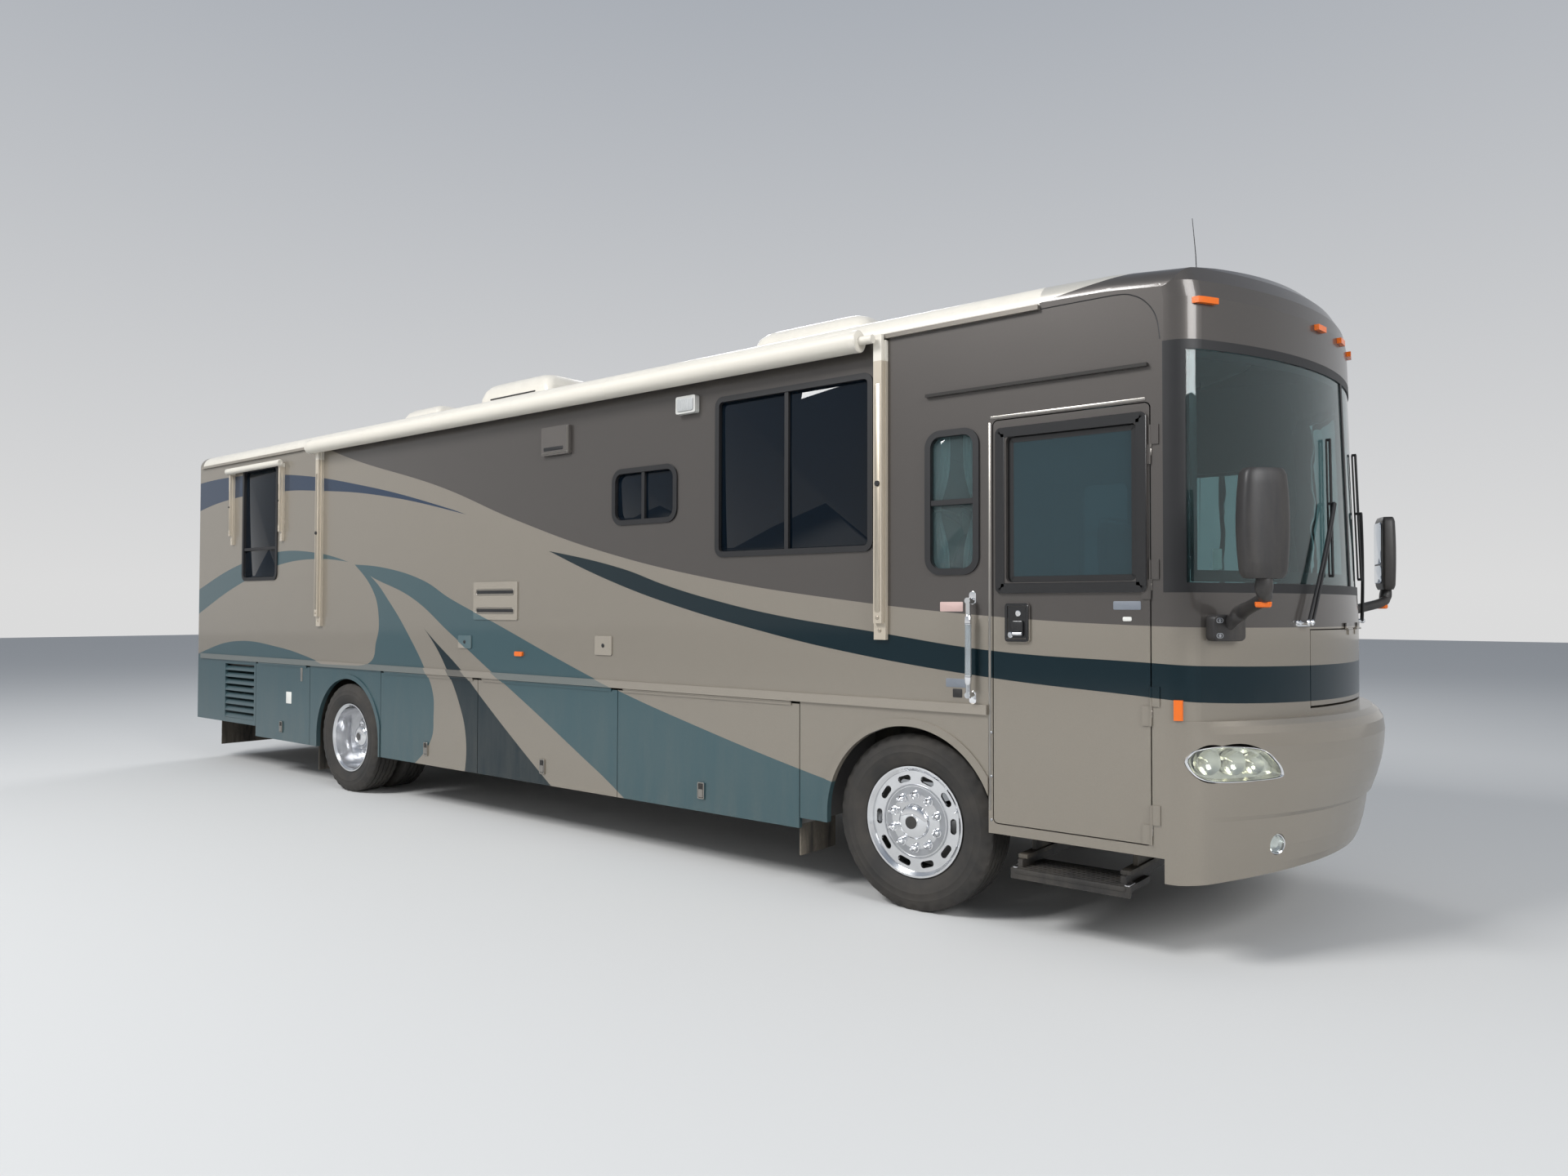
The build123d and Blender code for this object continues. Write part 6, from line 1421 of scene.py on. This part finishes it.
# %% [markdown]
# ## Roof
# The air conditioners sit under moulded shrouds with sloping ends, and the vents have domed lids over a
# neck. From the ground they hardly show, but from above they are what gives the roof its scale. A short
# whip aerial stands on the front cap.

# %% Roof
ROOF_UNITS = [  # x, y, length, width, height, kind
    (-1.225, 0.0, 1.05, 0.70, 0.385, "cooler"), (2.100, 0.0, 1.05, 0.70, 0.325, "cooler"),
    (-2.55, -0.15, 0.60, 0.58, 0.265, "hatch"), (3.50, -0.20, 0.39, 0.39, 0.185, "vent"),
    (0.50, -0.20, 0.39, 0.39, 0.165, "vent"), (-4.00, 0.0, 0.38, 0.38, 0.165, "vent")]
ROOF_BASE_Z, SHROUD_LEAN, SHROUD_SLOTS = 3.318, 0.035, 5
# Levels of a shroud and of a vent, each as its share of the height, how far in it lies and its corner
SHROUD = [(0.0, 0.0, 0.05), (0.03, 0.0, 0.05), (0.035, 0.012, 0.05), (0.60, 0.020, 0.07),
          (0.80, 0.045, 0.08), (0.92, 0.085, 0.09), (0.98, 0.130, 0.09), (1.0, 0.190, 0.08)]
VENT = [(0.0, 0.0, 0.03), (0.03, 0.0, 0.03), (0.05, 0.006, 0.03), (0.07, 0.030, 0.03), (0.42, 0.034, 0.03),
        (0.44, 0.006, 0.03), (0.50, 0.0, 0.03), (0.66, 0.004, 0.04), (0.82, 0.026, 0.05)]
VENT_TOP = {"hatch": [(0.94, 0.070, 0.05), (1.0, 0.120, 0.04)],
            "vent": [(0.9, 0.070, 0.05), (1.0, 0.120, 0.04)]}
MAST_FOOT = [(0.022, -0.003), (0.022, 0.004), (0.014, 0.012), (0.008, 0.030), (0.0, 0.034)]
MAST = [(0, 0.02, 0.003), (0.006, 0.16, 0.0024), (0.022, 0.35, 0.0016)]  # lean, rise, radius
SEAM = [(4.270, 3.102), (4.500, 3.102), (4.670, 3.099), (4.735, 3.080), (4.780, 3.050), (4.820, 3.000),
        (4.842, 2.940), (4.852, 2.862)]


def add_shroud(bm, x, y, length, width, height):
    """The cover of an air conditioner, with slots in its sides as thin black plates, whose black is painted
    shade.
    """
    rings = []
    for up, inset, corner in SHROUD:
        outline = rounded(length - 2 * inset, width - 2 * inset, corner, 6, (x - SHROUD_LEAN * up, y))
        rings.append([Vector((px, py, ROOF_BASE_Z + up * height)) for px, py in outline])
    skin(bm, rings, cap_start=True, cap_end=True)
    # Painted shade: the slots are black plates on the shroud, standing for the shade inside the openings.
    for row in range(SHROUD_SLOTS):
        z = ROOF_BASE_Z + height * 0.16 + row * height * 0.10
        for sign in (RIGHT, LEFT):
            spot = facing((x - 0.02, y + sign * (width / 2 - 0.018), z), (0, sign, 0))
            plate(bm, spot, rounded(length * 0.62, 0.012, 0.005), -0.004, 0.0022, 0.0008, material=1)
        spot = facing((x - length / 2 + 0.008, y, z), (-1, 0, 0))
        plate(bm, spot, rounded(width * 0.6, 0.012, 0.005), -0.004, 0.0022, 0.0008, material=1)


def add_vent(bm, x, y, length, width, height, kind):
    """A roof vent or hatch: a neck, a lid and two hinges."""
    rings = []
    for up, inset, corner in VENT + VENT_TOP[kind]:
        outline = rounded(length - 2 * inset, width - 2 * inset, corner, 5, (x, y))
        rings.append([Vector((px, py, ROOF_BASE_Z - 0.01 + up * (height + 0.01))) for px, py in outline])
    skin(bm, rings, cap_start=True, cap_end=True)
    front_x, hinge_z = x + length / 2, ROOF_BASE_Z + height * 0.48
    for hinge_y in (y - width * 0.25, y + width * 0.25):
        tube(bm, [(front_x - 0.02, hinge_y, hinge_z), (front_x - 0.004, hinge_y, hinge_z)], 0.010, 10, 1)


bm = bmesh.new()
for x, y, length, width, height, kind in ROOF_UNITS:
    if kind == "cooler":
        add_shroud(bm, x, y, length, width, height)
    else:
        add_vent(bm, x, y, length, width, height, kind)
roof_units = make_piece("roof_units", bm, [cream, black_plastic], "body")
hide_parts("roof_equipment")
bm = bmesh.new()
mast = touch("front_cap", (4.81, -0.60, 4.0), (0, 0, -1))[0]
lathe(bm, facing(mast, (0, 0, 1), (0, 1, 0)), MAST_FOOT, 16)
tube(bm, [mast + Vector((-lean, 0, rise)) for lean, rise, _ in MAST], [radius for _, _, radius in MAST], 8)
for sign in (RIGHT, LEFT):
    tube(bm, bend([(x, -sign * WALL_Y, z) for x, z in SEAM], 6), 0.0026, 6)
make_piece("aerial_and_seam", bm, black_plastic, "body")
print("roof units", len(roof_units.data.polygons))

# %% [markdown]
# ## Awnings
# Each awning is rolled up: a tube of cloth in a weather cover, held by arms that fold flat on the wall. The
# roller is cream, the arms are champagne metal. The tubes get end caps with a winding eye, and the arms get
# their channel line and knobs.

# %% Awnings
ROLLERS = [  # x from, x to, y, z, radius
    (-2.830, 3.240, -1.3733, 3.089, 0.060), (-4.595, -3.485, -1.3433, 3.010, 0.030)]
ARMS = [  # x, z from, z to, half width
    (-2.780, 1.455, 3.00, 0.038), (3.340, 1.455, 3.00, 0.038),
    (-4.570, 2.262, 2.96, 0.020), (-3.510, 2.262, 2.96, 0.020)]
COVER_FROM_Z, BAND_COUNT = 2.975, 5
CHAMPAGNE = srgb(190, 180, 164)


def awning_material():
    """Cream rollers over champagne arms, told apart by their height."""
    material, tree, shader = new_material("awning_finish")
    place = object_place(tree)
    axis = add_node(tree, "SeparateXYZ", Vector=place)
    cover = math_node(tree, "GREATER_THAN", axis.outputs["Z"], COVER_FROM_Z)
    add_dust(tree, shader, place, mix_color(tree, cover, CHAMPAGNE, CREAM), 0.6, 3.2, 0.35)
    feed(tree, shader.inputs["Metallic"], mix_value(tree, cover, 0.25, 0.0))
    feed(tree, shader.inputs["Roughness"], mix_value(tree, cover, 0.35, 0.5))
    return material


def end_cap(radius):
    """The outline of a roller's end, with its winding eye."""
    return [(radius + 0.0015, -0.030), (radius + 0.0015, 0.004), (radius - 0.004, 0.009), (0.014, 0.010),
            (0.012, 0.007), (0.0, 0.007)]


def roller_band(radius):
    """The outline of a thin band round a roller."""
    return [(radius - 0.001, -0.003), (radius + 0.0008, -0.002), (radius + 0.0008, 0.002),
            (radius - 0.001, 0.003)]


def arm_bolt(half):
    """The outline of a bolt on an arm."""
    return [(half * 0.26, SUNK), (half * 0.26, 0.003), (half * 0.18, 0.005), (0.0, 0.005)]


def arm_knob(half):
    """The outline of an arm's knob."""
    return [(half * 0.42, SUNK), (half * 0.42, 0.006), (half * 0.36, 0.010), (0.0, 0.010)]


dress("awnings", awning_material())
champagne = metal("champagne_metal", CHAMPAGNE, roughness=0.35, dust=0.2)
bm = bmesh.new()
for x_from, x_to, y, z, radius in ROLLERS:
    for x, way in ((x_from, -1), (x_to, 1)):
        lathe(bm, facing((x, y, z), (way, 0, 0)), end_cap(radius), 36)
    for k in range(1, BAND_COUNT + 1):
        x = x_from + (x_to - x_from) * k / (BAND_COUNT + 1)
        lathe(bm, facing((x, y, z), (1, 0, 0)), roller_band(radius), 36, closed=True)
for x, low, high, half in ARMS:
    channel_y = max(on_wall("awnings", x, z).translation.y for z in (low + 0.25, high - 0.10))
    channel = facing((x, channel_y, (low + high) / 2), (0, -1, 0))
    plate(bm, channel, rounded(half * 0.9, high - low - 0.30, half * 0.3), -0.001, 0.0022, 0.001, material=1)
    for z in (low + 0.05, low + 0.12):
        lathe(bm, on_wall("awnings", x, z), arm_bolt(half), 16, material=1)
    lathe(bm, on_wall("awnings", x, low + (high - low) * 0.55), arm_knob(half), 20, material=2)
make_piece("awning_fittings", bm, [cream, champagne, black_plastic], "body")
print("awning fittings made")

# %% [markdown]
# ## Window panes
# The living space has deep tinted panes, but the cab and the narrow window behind the door are nearly
# clear, so that the curtain and the seats show. The CAD panes are one node with one finish, so new panes
# take their place, each at the depth where the CAD pane is.

# %% Window panes
PANE_LAP = 0.044  # how much smaller than its outline a pane is
PANE_OFF_MIDDLE = 0.06  # how far from the middle, where two panes can meet, the ray goes
PANES = [  # side, x from, x to, z from, z to, tint
    (RIGHT, 2.108, 3.283, 1.940, 2.933, "deep"), (RIGHT, 1.162, 1.776, 2.180, 2.560, "deep"),
    (RIGHT, 3.614, 3.933, 1.800, 2.560, "light"), (RIGHT, -4.360, -3.620, 1.890, 3.020, "deep"),
    (LEFT, 4.000, 4.790, 1.740, 2.560, "light"), (LEFT, 3.390, 3.790, 1.800, 2.560, "light"),
    (LEFT, -1.780, -1.280, 2.180, 2.560, "deep")]
for tint, material in (("deep", dark_glass), ("light", cab_glass)):
    bm = bmesh.new()
    for sign, x_from, x_to, z_from, z_to, wanted in PANES:
        if wanted != tint:
            continue
        x, z = (x_from + x_to) / 2, (z_from + z_to) / 2
        pane_y = on_wall("window_glass", x + PANE_OFF_MIDDLE, z + PANE_OFF_MIDDLE, sign).translation.y
        outline = rounded(x_to - x_from - PANE_LAP, z_to - z_from - PANE_LAP, 0.050, 6)
        plate(bm, facing((x, pane_y, z), (0, sign, 0)), outline, -0.005, 0.0, 0.0005)
    panes = make_piece(f"{tint}_panes", bm, material, "body")
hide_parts("window_glass")
print("panes made")

# %% [markdown]
# ## Windows of the slide-out rooms
# The two rooms on the driver's side have windows of their own, with a black rim, a bar and dark panes. In
# the CAD model they are one solid with the room, so the rim and the panes are thin plates that are laid on
# it here, and they ride with the room when it slides out.

# %% Windows of the slide-out rooms
ROOM_WINDOWS = [  # node, body, x from, x to, z from, z to, bar x
    ("living_slide", "living_room", 0.300, 2.300, 1.900, 2.600, 1.300),
    ("bedroom_slide", "bedroom_room", -4.000, -2.900, 1.980, 2.560, -3.450)]
for node, body, x_from, x_to, z_from, z_to, bar_x in ROOM_WINDOWS:
    width, height, middle_z = x_to - x_from, z_to - z_from, (z_from + z_to) / 2
    rim_y = on_wall(node, x_from + 0.015, middle_z, LEFT).translation.y
    bm = bmesh.new()
    frame_plate(bm, facing(((x_from + x_to) / 2, rim_y, middle_z), (0, 1, 0)),
                rounded(width + 0.012, height + 0.012, 0.076, 6), 0.036, SUNK, 0.003)
    plate(bm, facing((bar_x, rim_y, middle_z), (0, 1, 0)), rounded(0.028, height - 0.058, 0.004),
          SUNK, 0.002, 0.001)
    make_piece(f"{node}_window_rim", bm, black_plastic, body)
    bm = bmesh.new()
    for low_x, high_x in ((x_from + 0.031, bar_x - 0.015), (bar_x + 0.015, x_to - 0.031)):
        plate(bm, on_wall(node, (low_x + high_x) / 2, middle_z, LEFT),
              rounded(high_x - low_x, height - 0.062, 0.030), SUNK, 0.003, 0.001)
    make_piece(f"{node}_panes", bm, slide_pane, body)
print("room windows made")

# %% [markdown]
# ## Tail
# The tail lamps are red, in bright bezels that stay on the body. The blank number plate and the two latches
# ride on the engine lid, so they are a piece of their own. The lenses all share one finish, which is amber
# or red by its place, because the CAD model has every clearance and tail lamp in one node.

# %% Tail
TAIL_LAMPS = [(1.150, 1.820), (1.150, 0.970)]  # y, z
TAIL_TO_X, LENS_WAVES = -5.2, 1200.0
PLATE_Z, LATCH_Y, LID_LATCH_Z = 0.98, 0.30, 0.80


def on_tail(node, y, z):
    """A place on the rear of a node."""
    return facing(touch(node, (-6.5, y, z), (1, 0, 0))[0], (-1, 0, 0))


def lamp_material():
    """Amber lenses at the front and sides, red ones on the tail, by their place on the body."""
    material, tree, shader = new_material("lamp_plastic")
    place = object_place(tree)
    axis = add_node(tree, "SeparateXYZ", Vector=place)
    tail = math_node(tree, "LESS_THAN", axis.outputs["X"], TAIL_TO_X)
    ribs = math_node(tree, "SINE", math_node(tree, "MULTIPLY", axis.outputs["Z"], LENS_WAVES))
    color = mix_color(tree, tail, srgb(226, 104, 2), srgb(150, 14, 12))
    add_dust(tree, shader, place, color, 0.6, 3.2, 0.12)
    shader.inputs["Roughness"].default_value = 0.22
    shader.inputs["Coat Weight"].default_value = 0.25
    add_bump(tree, shader, ribs, 0.3, 0.0006)
    return material


dress("marker_lamps", lamp_material())
bm = bmesh.new()
for y, z in TAIL_LAMPS:
    for sign in (RIGHT, LEFT):
        spot = on_tail("marker_lamps", sign * y, z)
        frame_plate(bm, spot, rounded(0.138, 0.278, 0.020), 0.013, -0.022, 0.004)
tail_bezels = make_piece("tail_bezels", bm, chrome, "body")
bm = bmesh.new()
number_plate = on_tail("engine_door", 0.0, PLATE_Z)
frame_plate(bm, number_plate, rounded(0.325, 0.172, 0.012), 0.012, -0.001, 0.006)
plate(bm, number_plate, rounded(0.305, 0.152, 0.008), -0.001, 0.002, material=1)
for y in (-LATCH_Y, LATCH_Y):
    plate(bm, on_tail("engine_door", y, LID_LATCH_Z), rounded(0.090, 0.050, 0.012), -0.001, 0.004, 0.0015,
          material=2)
lid_fittings = make_piece("engine_lid_fittings", bm, [chrome, white_plate, black_plastic], "engine_lid")
print("tail", len(tail_bezels.data.polygons), len(lid_fittings.data.polygons))

# %% [markdown]
# ## Cabin
# Behind the big windshield the cab shows: two armchairs, the wheel and the dashboard. The seats are
# stuffed, so their pads start as plain blocks, are blown up as cloth with air pressure and are then kept
# as meshes. A sculpted block never gets the same tight crown with soft corners.

# %% Cabin
PAD_VOXEL, PAD_PRESSURE, PAD_MOST, PAD_FRAMES = 0.010, 4.0, 0.022, 20


def pad_block(name, size, corner):
    """A rounded block, a little smaller than the finished pad."""
    length, width, height = size
    bm = bmesh.new()
    rows = [(0.0, corner), (corner * 0.3, corner * 0.3), (corner, 0.0), (height - corner, 0.0),
            (height - corner * 0.3, corner * 0.3), (height, corner)]
    rings = []
    for z, inset in rows:
        outline = rounded(length - 2 * inset, width - 2 * inset, corner * 1.4, 5)
        rings.append([Vector((x, y, z - height / 2)) for x, y in outline])
    skin(bm, rings, cap_start=True, cap_end=True)
    bmesh.ops.recalc_face_normals(bm, faces=bm.faces)
    mesh = bpy.data.meshes.new(name)
    bm.to_mesh(mesh)
    bm.free()
    return mesh


def puffed(name, size, corner):
    """The pad's mesh after it has been blown up as cloth."""
    mesh = pad_block(name, size, corner)
    piece = bpy.data.objects.new(name, mesh)
    bpy.context.scene.collection.objects.link(piece)
    remesh = piece.modifiers.new("even_faces", "REMESH")
    remesh.mode = "VOXEL"
    remesh.voxel_size = PAD_VOXEL
    graph = bpy.context.evaluated_depsgraph_get()
    piece.data = bpy.data.meshes.new_from_object(piece.evaluated_get(graph))
    piece.modifiers.clear()
    start = [v.co.copy() for v in piece.data.vertices]
    cloth = piece.modifiers.new("stuffing", "CLOTH")
    cloth.settings.use_pressure = True
    cloth.settings.uniform_pressure_force = PAD_PRESSURE
    cloth.settings.effector_weights.gravity = 0.0
    for step in range(1, PAD_FRAMES + 1):
        bpy.context.scene.frame_set(step)
    graph = bpy.context.evaluated_depsgraph_get()
    blown = [v.co.copy() for v in piece.evaluated_get(graph).data.vertices]
    piece.modifiers.clear()
    bpy.context.scene.frame_set(1)
    for vertex, before, after in zip(piece.data.vertices, start, blown):
        move = after - before
        vertex.co = before + move * min(1.0, PAD_MOST / max(move.length, 1e-6))
    smooth = piece.modifiers.new("smooth", "SUBSURF")
    smooth.levels = 1
    graph = bpy.context.evaluated_depsgraph_get()
    mesh = bpy.data.meshes.new_from_object(piece.evaluated_get(graph))
    bpy.data.objects.remove(piece)
    for face in mesh.polygons:
        face.use_smooth = True
    mesh.materials.append(seat_leather)
    print(name, "pad", len(mesh.polygons), "faces")
    return mesh


seat_pad = puffed("seat_pad", (0.48, 0.46, 0.115), 0.035)
back_pad = puffed("back_pad", (0.62, 0.44, 0.095), 0.030)
arm_pad = puffed("arm_pad", (0.34, 0.060, 0.045), 0.018)

# %% [markdown]
# ## Armchairs
# Each chair is a pedestal, a seat, a back and two arms, and both chairs share the pads. Piping covers each
# seam, as a thin rod round the edge of the pad.

# %% Armchairs
SEATS = [("driver", 4.18, 0.62), ("guest", 3.55, -0.65)]  # x, y
SEAT_Z, BACK_X, BACK_Z, ARM_Y, ARM_Z = 1.497, -0.265, 1.895, 0.285, 1.745
PEDESTAL_Z = 1.10
PEDESTAL = [(0.0, 0.0), (0.19, 0.0), (0.19, 0.020), (0.10, 0.040), (0.075, 0.080), (0.075, 0.270),
            (0.13, 0.300), (0.21, 0.318), (0.0, 0.318)]
PIPING_RADIUS, PIPING_RISE = 0.0045, 0.030
seat_piping = plastic("seat_piping", srgb(92, 78, 64), roughness=0.6, grain=300.0, dust=0.0)


def place_pad(name, mesh, place):
    """Puts a copy of a pad in its place, as a padded piece that rides on the body."""
    pad = bpy.data.objects.new(name, mesh.copy())
    pad.data.transform(place)
    bpy.context.scene.collection.objects.link(pad)
    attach(pad, "body")


for name, x, y in SEATS:
    place_pad(f"{name}_seat_pad", seat_pad, Matrix.Translation((x + 0.02, y, SEAT_Z)))
    upright = Matrix.Translation((x + BACK_X, y, BACK_Z)) @ Matrix.Rotation(math.radians(-90), 4, "Y")
    place_pad(f"{name}_back_pad", back_pad, upright)
    for side, sign in SIDES.items():
        place_pad(f"{name}_arm_pad_{side}", arm_pad,
                  Matrix.Translation((x - 0.02, y + sign * ARM_Y, ARM_Z)))
    bm = bmesh.new()
    lathe(bm, facing((x, y, PEDESTAL_Z), (0, 0, 1), (0, 1, 0)), PEDESTAL, 40, material=1)
    for rise in (-PIPING_RISE, PIPING_RISE):
        for ring in ([(x + 0.02 + px, y + py, SEAT_Z + rise) for px, py in rounded(0.494, 0.474, 0.055, 6)],
                     [(x + BACK_X + rise * 0.8, y + py, BACK_Z + px)
                      for px, py in rounded(0.632, 0.452, 0.050, 6)]):
            tube(bm, ring + ring[:1], PIPING_RADIUS, 8)
    for sign in (RIGHT, LEFT):
        arm_y, under_z = y + sign * ARM_Y, ARM_Z - 0.023
        tube(bm, [(x - 0.20, arm_y, under_z), (x + 0.12, arm_y, under_z)], 0.012, 10, 1)
        tube(bm, bend([(x - 0.19, y + sign * 0.22, 1.64), (x - 0.19, y + sign * 0.275, 1.67),
                       (x - 0.19, arm_y, under_z)], 4), 0.014, 10, 1)
    frame_piece = make_piece(f"{name}_seat_frame", bm, [seat_piping, cabin_trim], "body")
    if name == "driver":
        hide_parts("cab_seats")
print("seats made")

# %% [markdown]
# ## Curtains
# Behind the narrow window a pale curtain hangs at each side, tied at mid height. Cloth that is drawn
# together keeps its width in folds, so each row of the mesh is one wave line whose depth is solved until
# the line is as long as the cut cloth. Where the tie pulls the curtain in, the folds get deeper.

# %% Curtains
CURTAIN_Y, CURTAIN_LOW, CURTAIN_HIGH = -1.226, 1.785, 2.575
CURTAIN_CUT, FOLDS, CURTAIN_STEPS, CURTAIN_ROWS = 0.165, 5, 90, 40
CURTAIN_WIDE, TIE_PULL, PULL_LONG, TIE_Z = 0.106, 0.052, 0.14, 2.14
CURTAINS = [("rear_curtain", 3.622, 1), ("front_curtain", 3.908, -1)]  # x of the edge, way to the middle


def wave_row(width, depth):
    """One row of the cloth: a wave of a width and a depth."""
    return [(width * k / CURTAIN_STEPS, depth * math.sin(math.tau * FOLDS * k / CURTAIN_STEPS))
            for k in range(CURTAIN_STEPS + 1)]


def row_length(row):
    """How long a row is along its wave."""
    return sum(math.dist(a, b) for a, b in zip(row, row[1:]))


def curtain_row(width):
    """The wave line of a width that is as long as the cut cloth."""
    low, high = 0.0, 0.03
    for _ in range(30):
        middle = (low + high) / 2
        low, high = (middle, high) if row_length(wave_row(width, middle)) < CURTAIN_CUT else (low, middle)
    return wave_row(width, low)


for name, x_edge, way in CURTAINS:
    bm = bmesh.new()
    rows = []
    for k in range(CURTAIN_ROWS + 1):
        z = CURTAIN_LOW + (CURTAIN_HIGH - CURTAIN_LOW) * k / CURTAIN_ROWS
        pull = math.exp(-((z - TIE_Z) / PULL_LONG) ** 2)
        flatter = 0.9 if pull < 0.5 else 0.85
        rows.append([Vector((x_edge + way * px, CURTAIN_Y + py * flatter, z))
                     for px, py in curtain_row(CURTAIN_WIDE - TIE_PULL * pull)])
    skin(bm, rows, closed=False)
    curtain = make_piece(name, bm, curtain_cloth, "body")
    if way == 1:
        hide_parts("curtains")
bm = bmesh.new()
for _, x_edge, way in CURTAINS:
    ring = [(x_edge + way * 0.027 + px, CURTAIN_Y + py, TIE_Z) for px, py in rounded(0.062, 0.042, 0.019, 5)]
    tube(bm, ring + ring[:1], 0.004, 8)
make_piece("curtain_ties", bm, seat_piping, "body")
print("curtains cut", CURTAIN_CUT, "x", round(CURTAIN_HIGH - CURTAIN_LOW, 3))

# %% [markdown]
# ## Floor and light
# A plain pale floor, a soft sky that lights from all round, and three large area lamps: a key from
# the side of the sun in the photograph, a fill from the front and a weak one from behind.

# %% Floor and light


def make_floor():
    """A pale floor that is part of the stage, not of the model."""
    bpy.ops.mesh.primitive_plane_add(size=120, location=(0, 0, 0))
    floor = bpy.context.object
    floor.name = "studio_floor"
    material, tree, shader = new_material("studio_floor")
    shader.inputs["Base Color"].default_value = (0.62, 0.62, 0.61, 1.0)
    shader.inputs["Roughness"].default_value = 0.9
    floor.data.materials.append(material)


def make_lamp(name, place, target, size, power):
    """A square area lamp that is aimed at a point."""
    lamp = bpy.data.objects.new(name, bpy.data.lights.new(name, "AREA"))
    bpy.context.scene.collection.objects.link(lamp)
    lamp.location = place
    lamp.rotation_euler = (Vector(target) - Vector(place)).to_track_quat("-Z", "Y").to_euler()
    lamp.data.size = size
    lamp.data.energy = power


def make_world():
    """A sky that is pale at the horizon and bluer above."""
    world = bpy.data.worlds.new("studio")
    bpy.context.scene.world = world
    world.use_nodes = True
    tree = world.node_tree
    back = tree.nodes["Background"]
    axis = add_node(tree, "SeparateXYZ", Vector=tree.nodes.new("ShaderNodeTexCoord").outputs["Generated"])
    share = remap(tree, axis.outputs["Z"], 0.02, 0.75)
    feed(tree, back.inputs["Color"], mix_color(tree, share, (0.96, 0.96, 0.96, 1.0), (0.34, 0.39, 0.47, 1.0)))
    back.inputs["Strength"].default_value = 0.74


make_floor()
make_world()
make_lamp("key", (-2, -12, 12), (0, -1, 1.5), 5.0, 2100)
make_lamp("fill", (14, -5, 7), (3, 0, 1.5), 5.0, 800)
make_lamp("back", (-8, 12, 10), (0, 0, 2), 6.0, 700)
bpy.context.scene.view_settings.view_transform = "Standard"
print("lights", [light.name for light in bpy.data.lights])
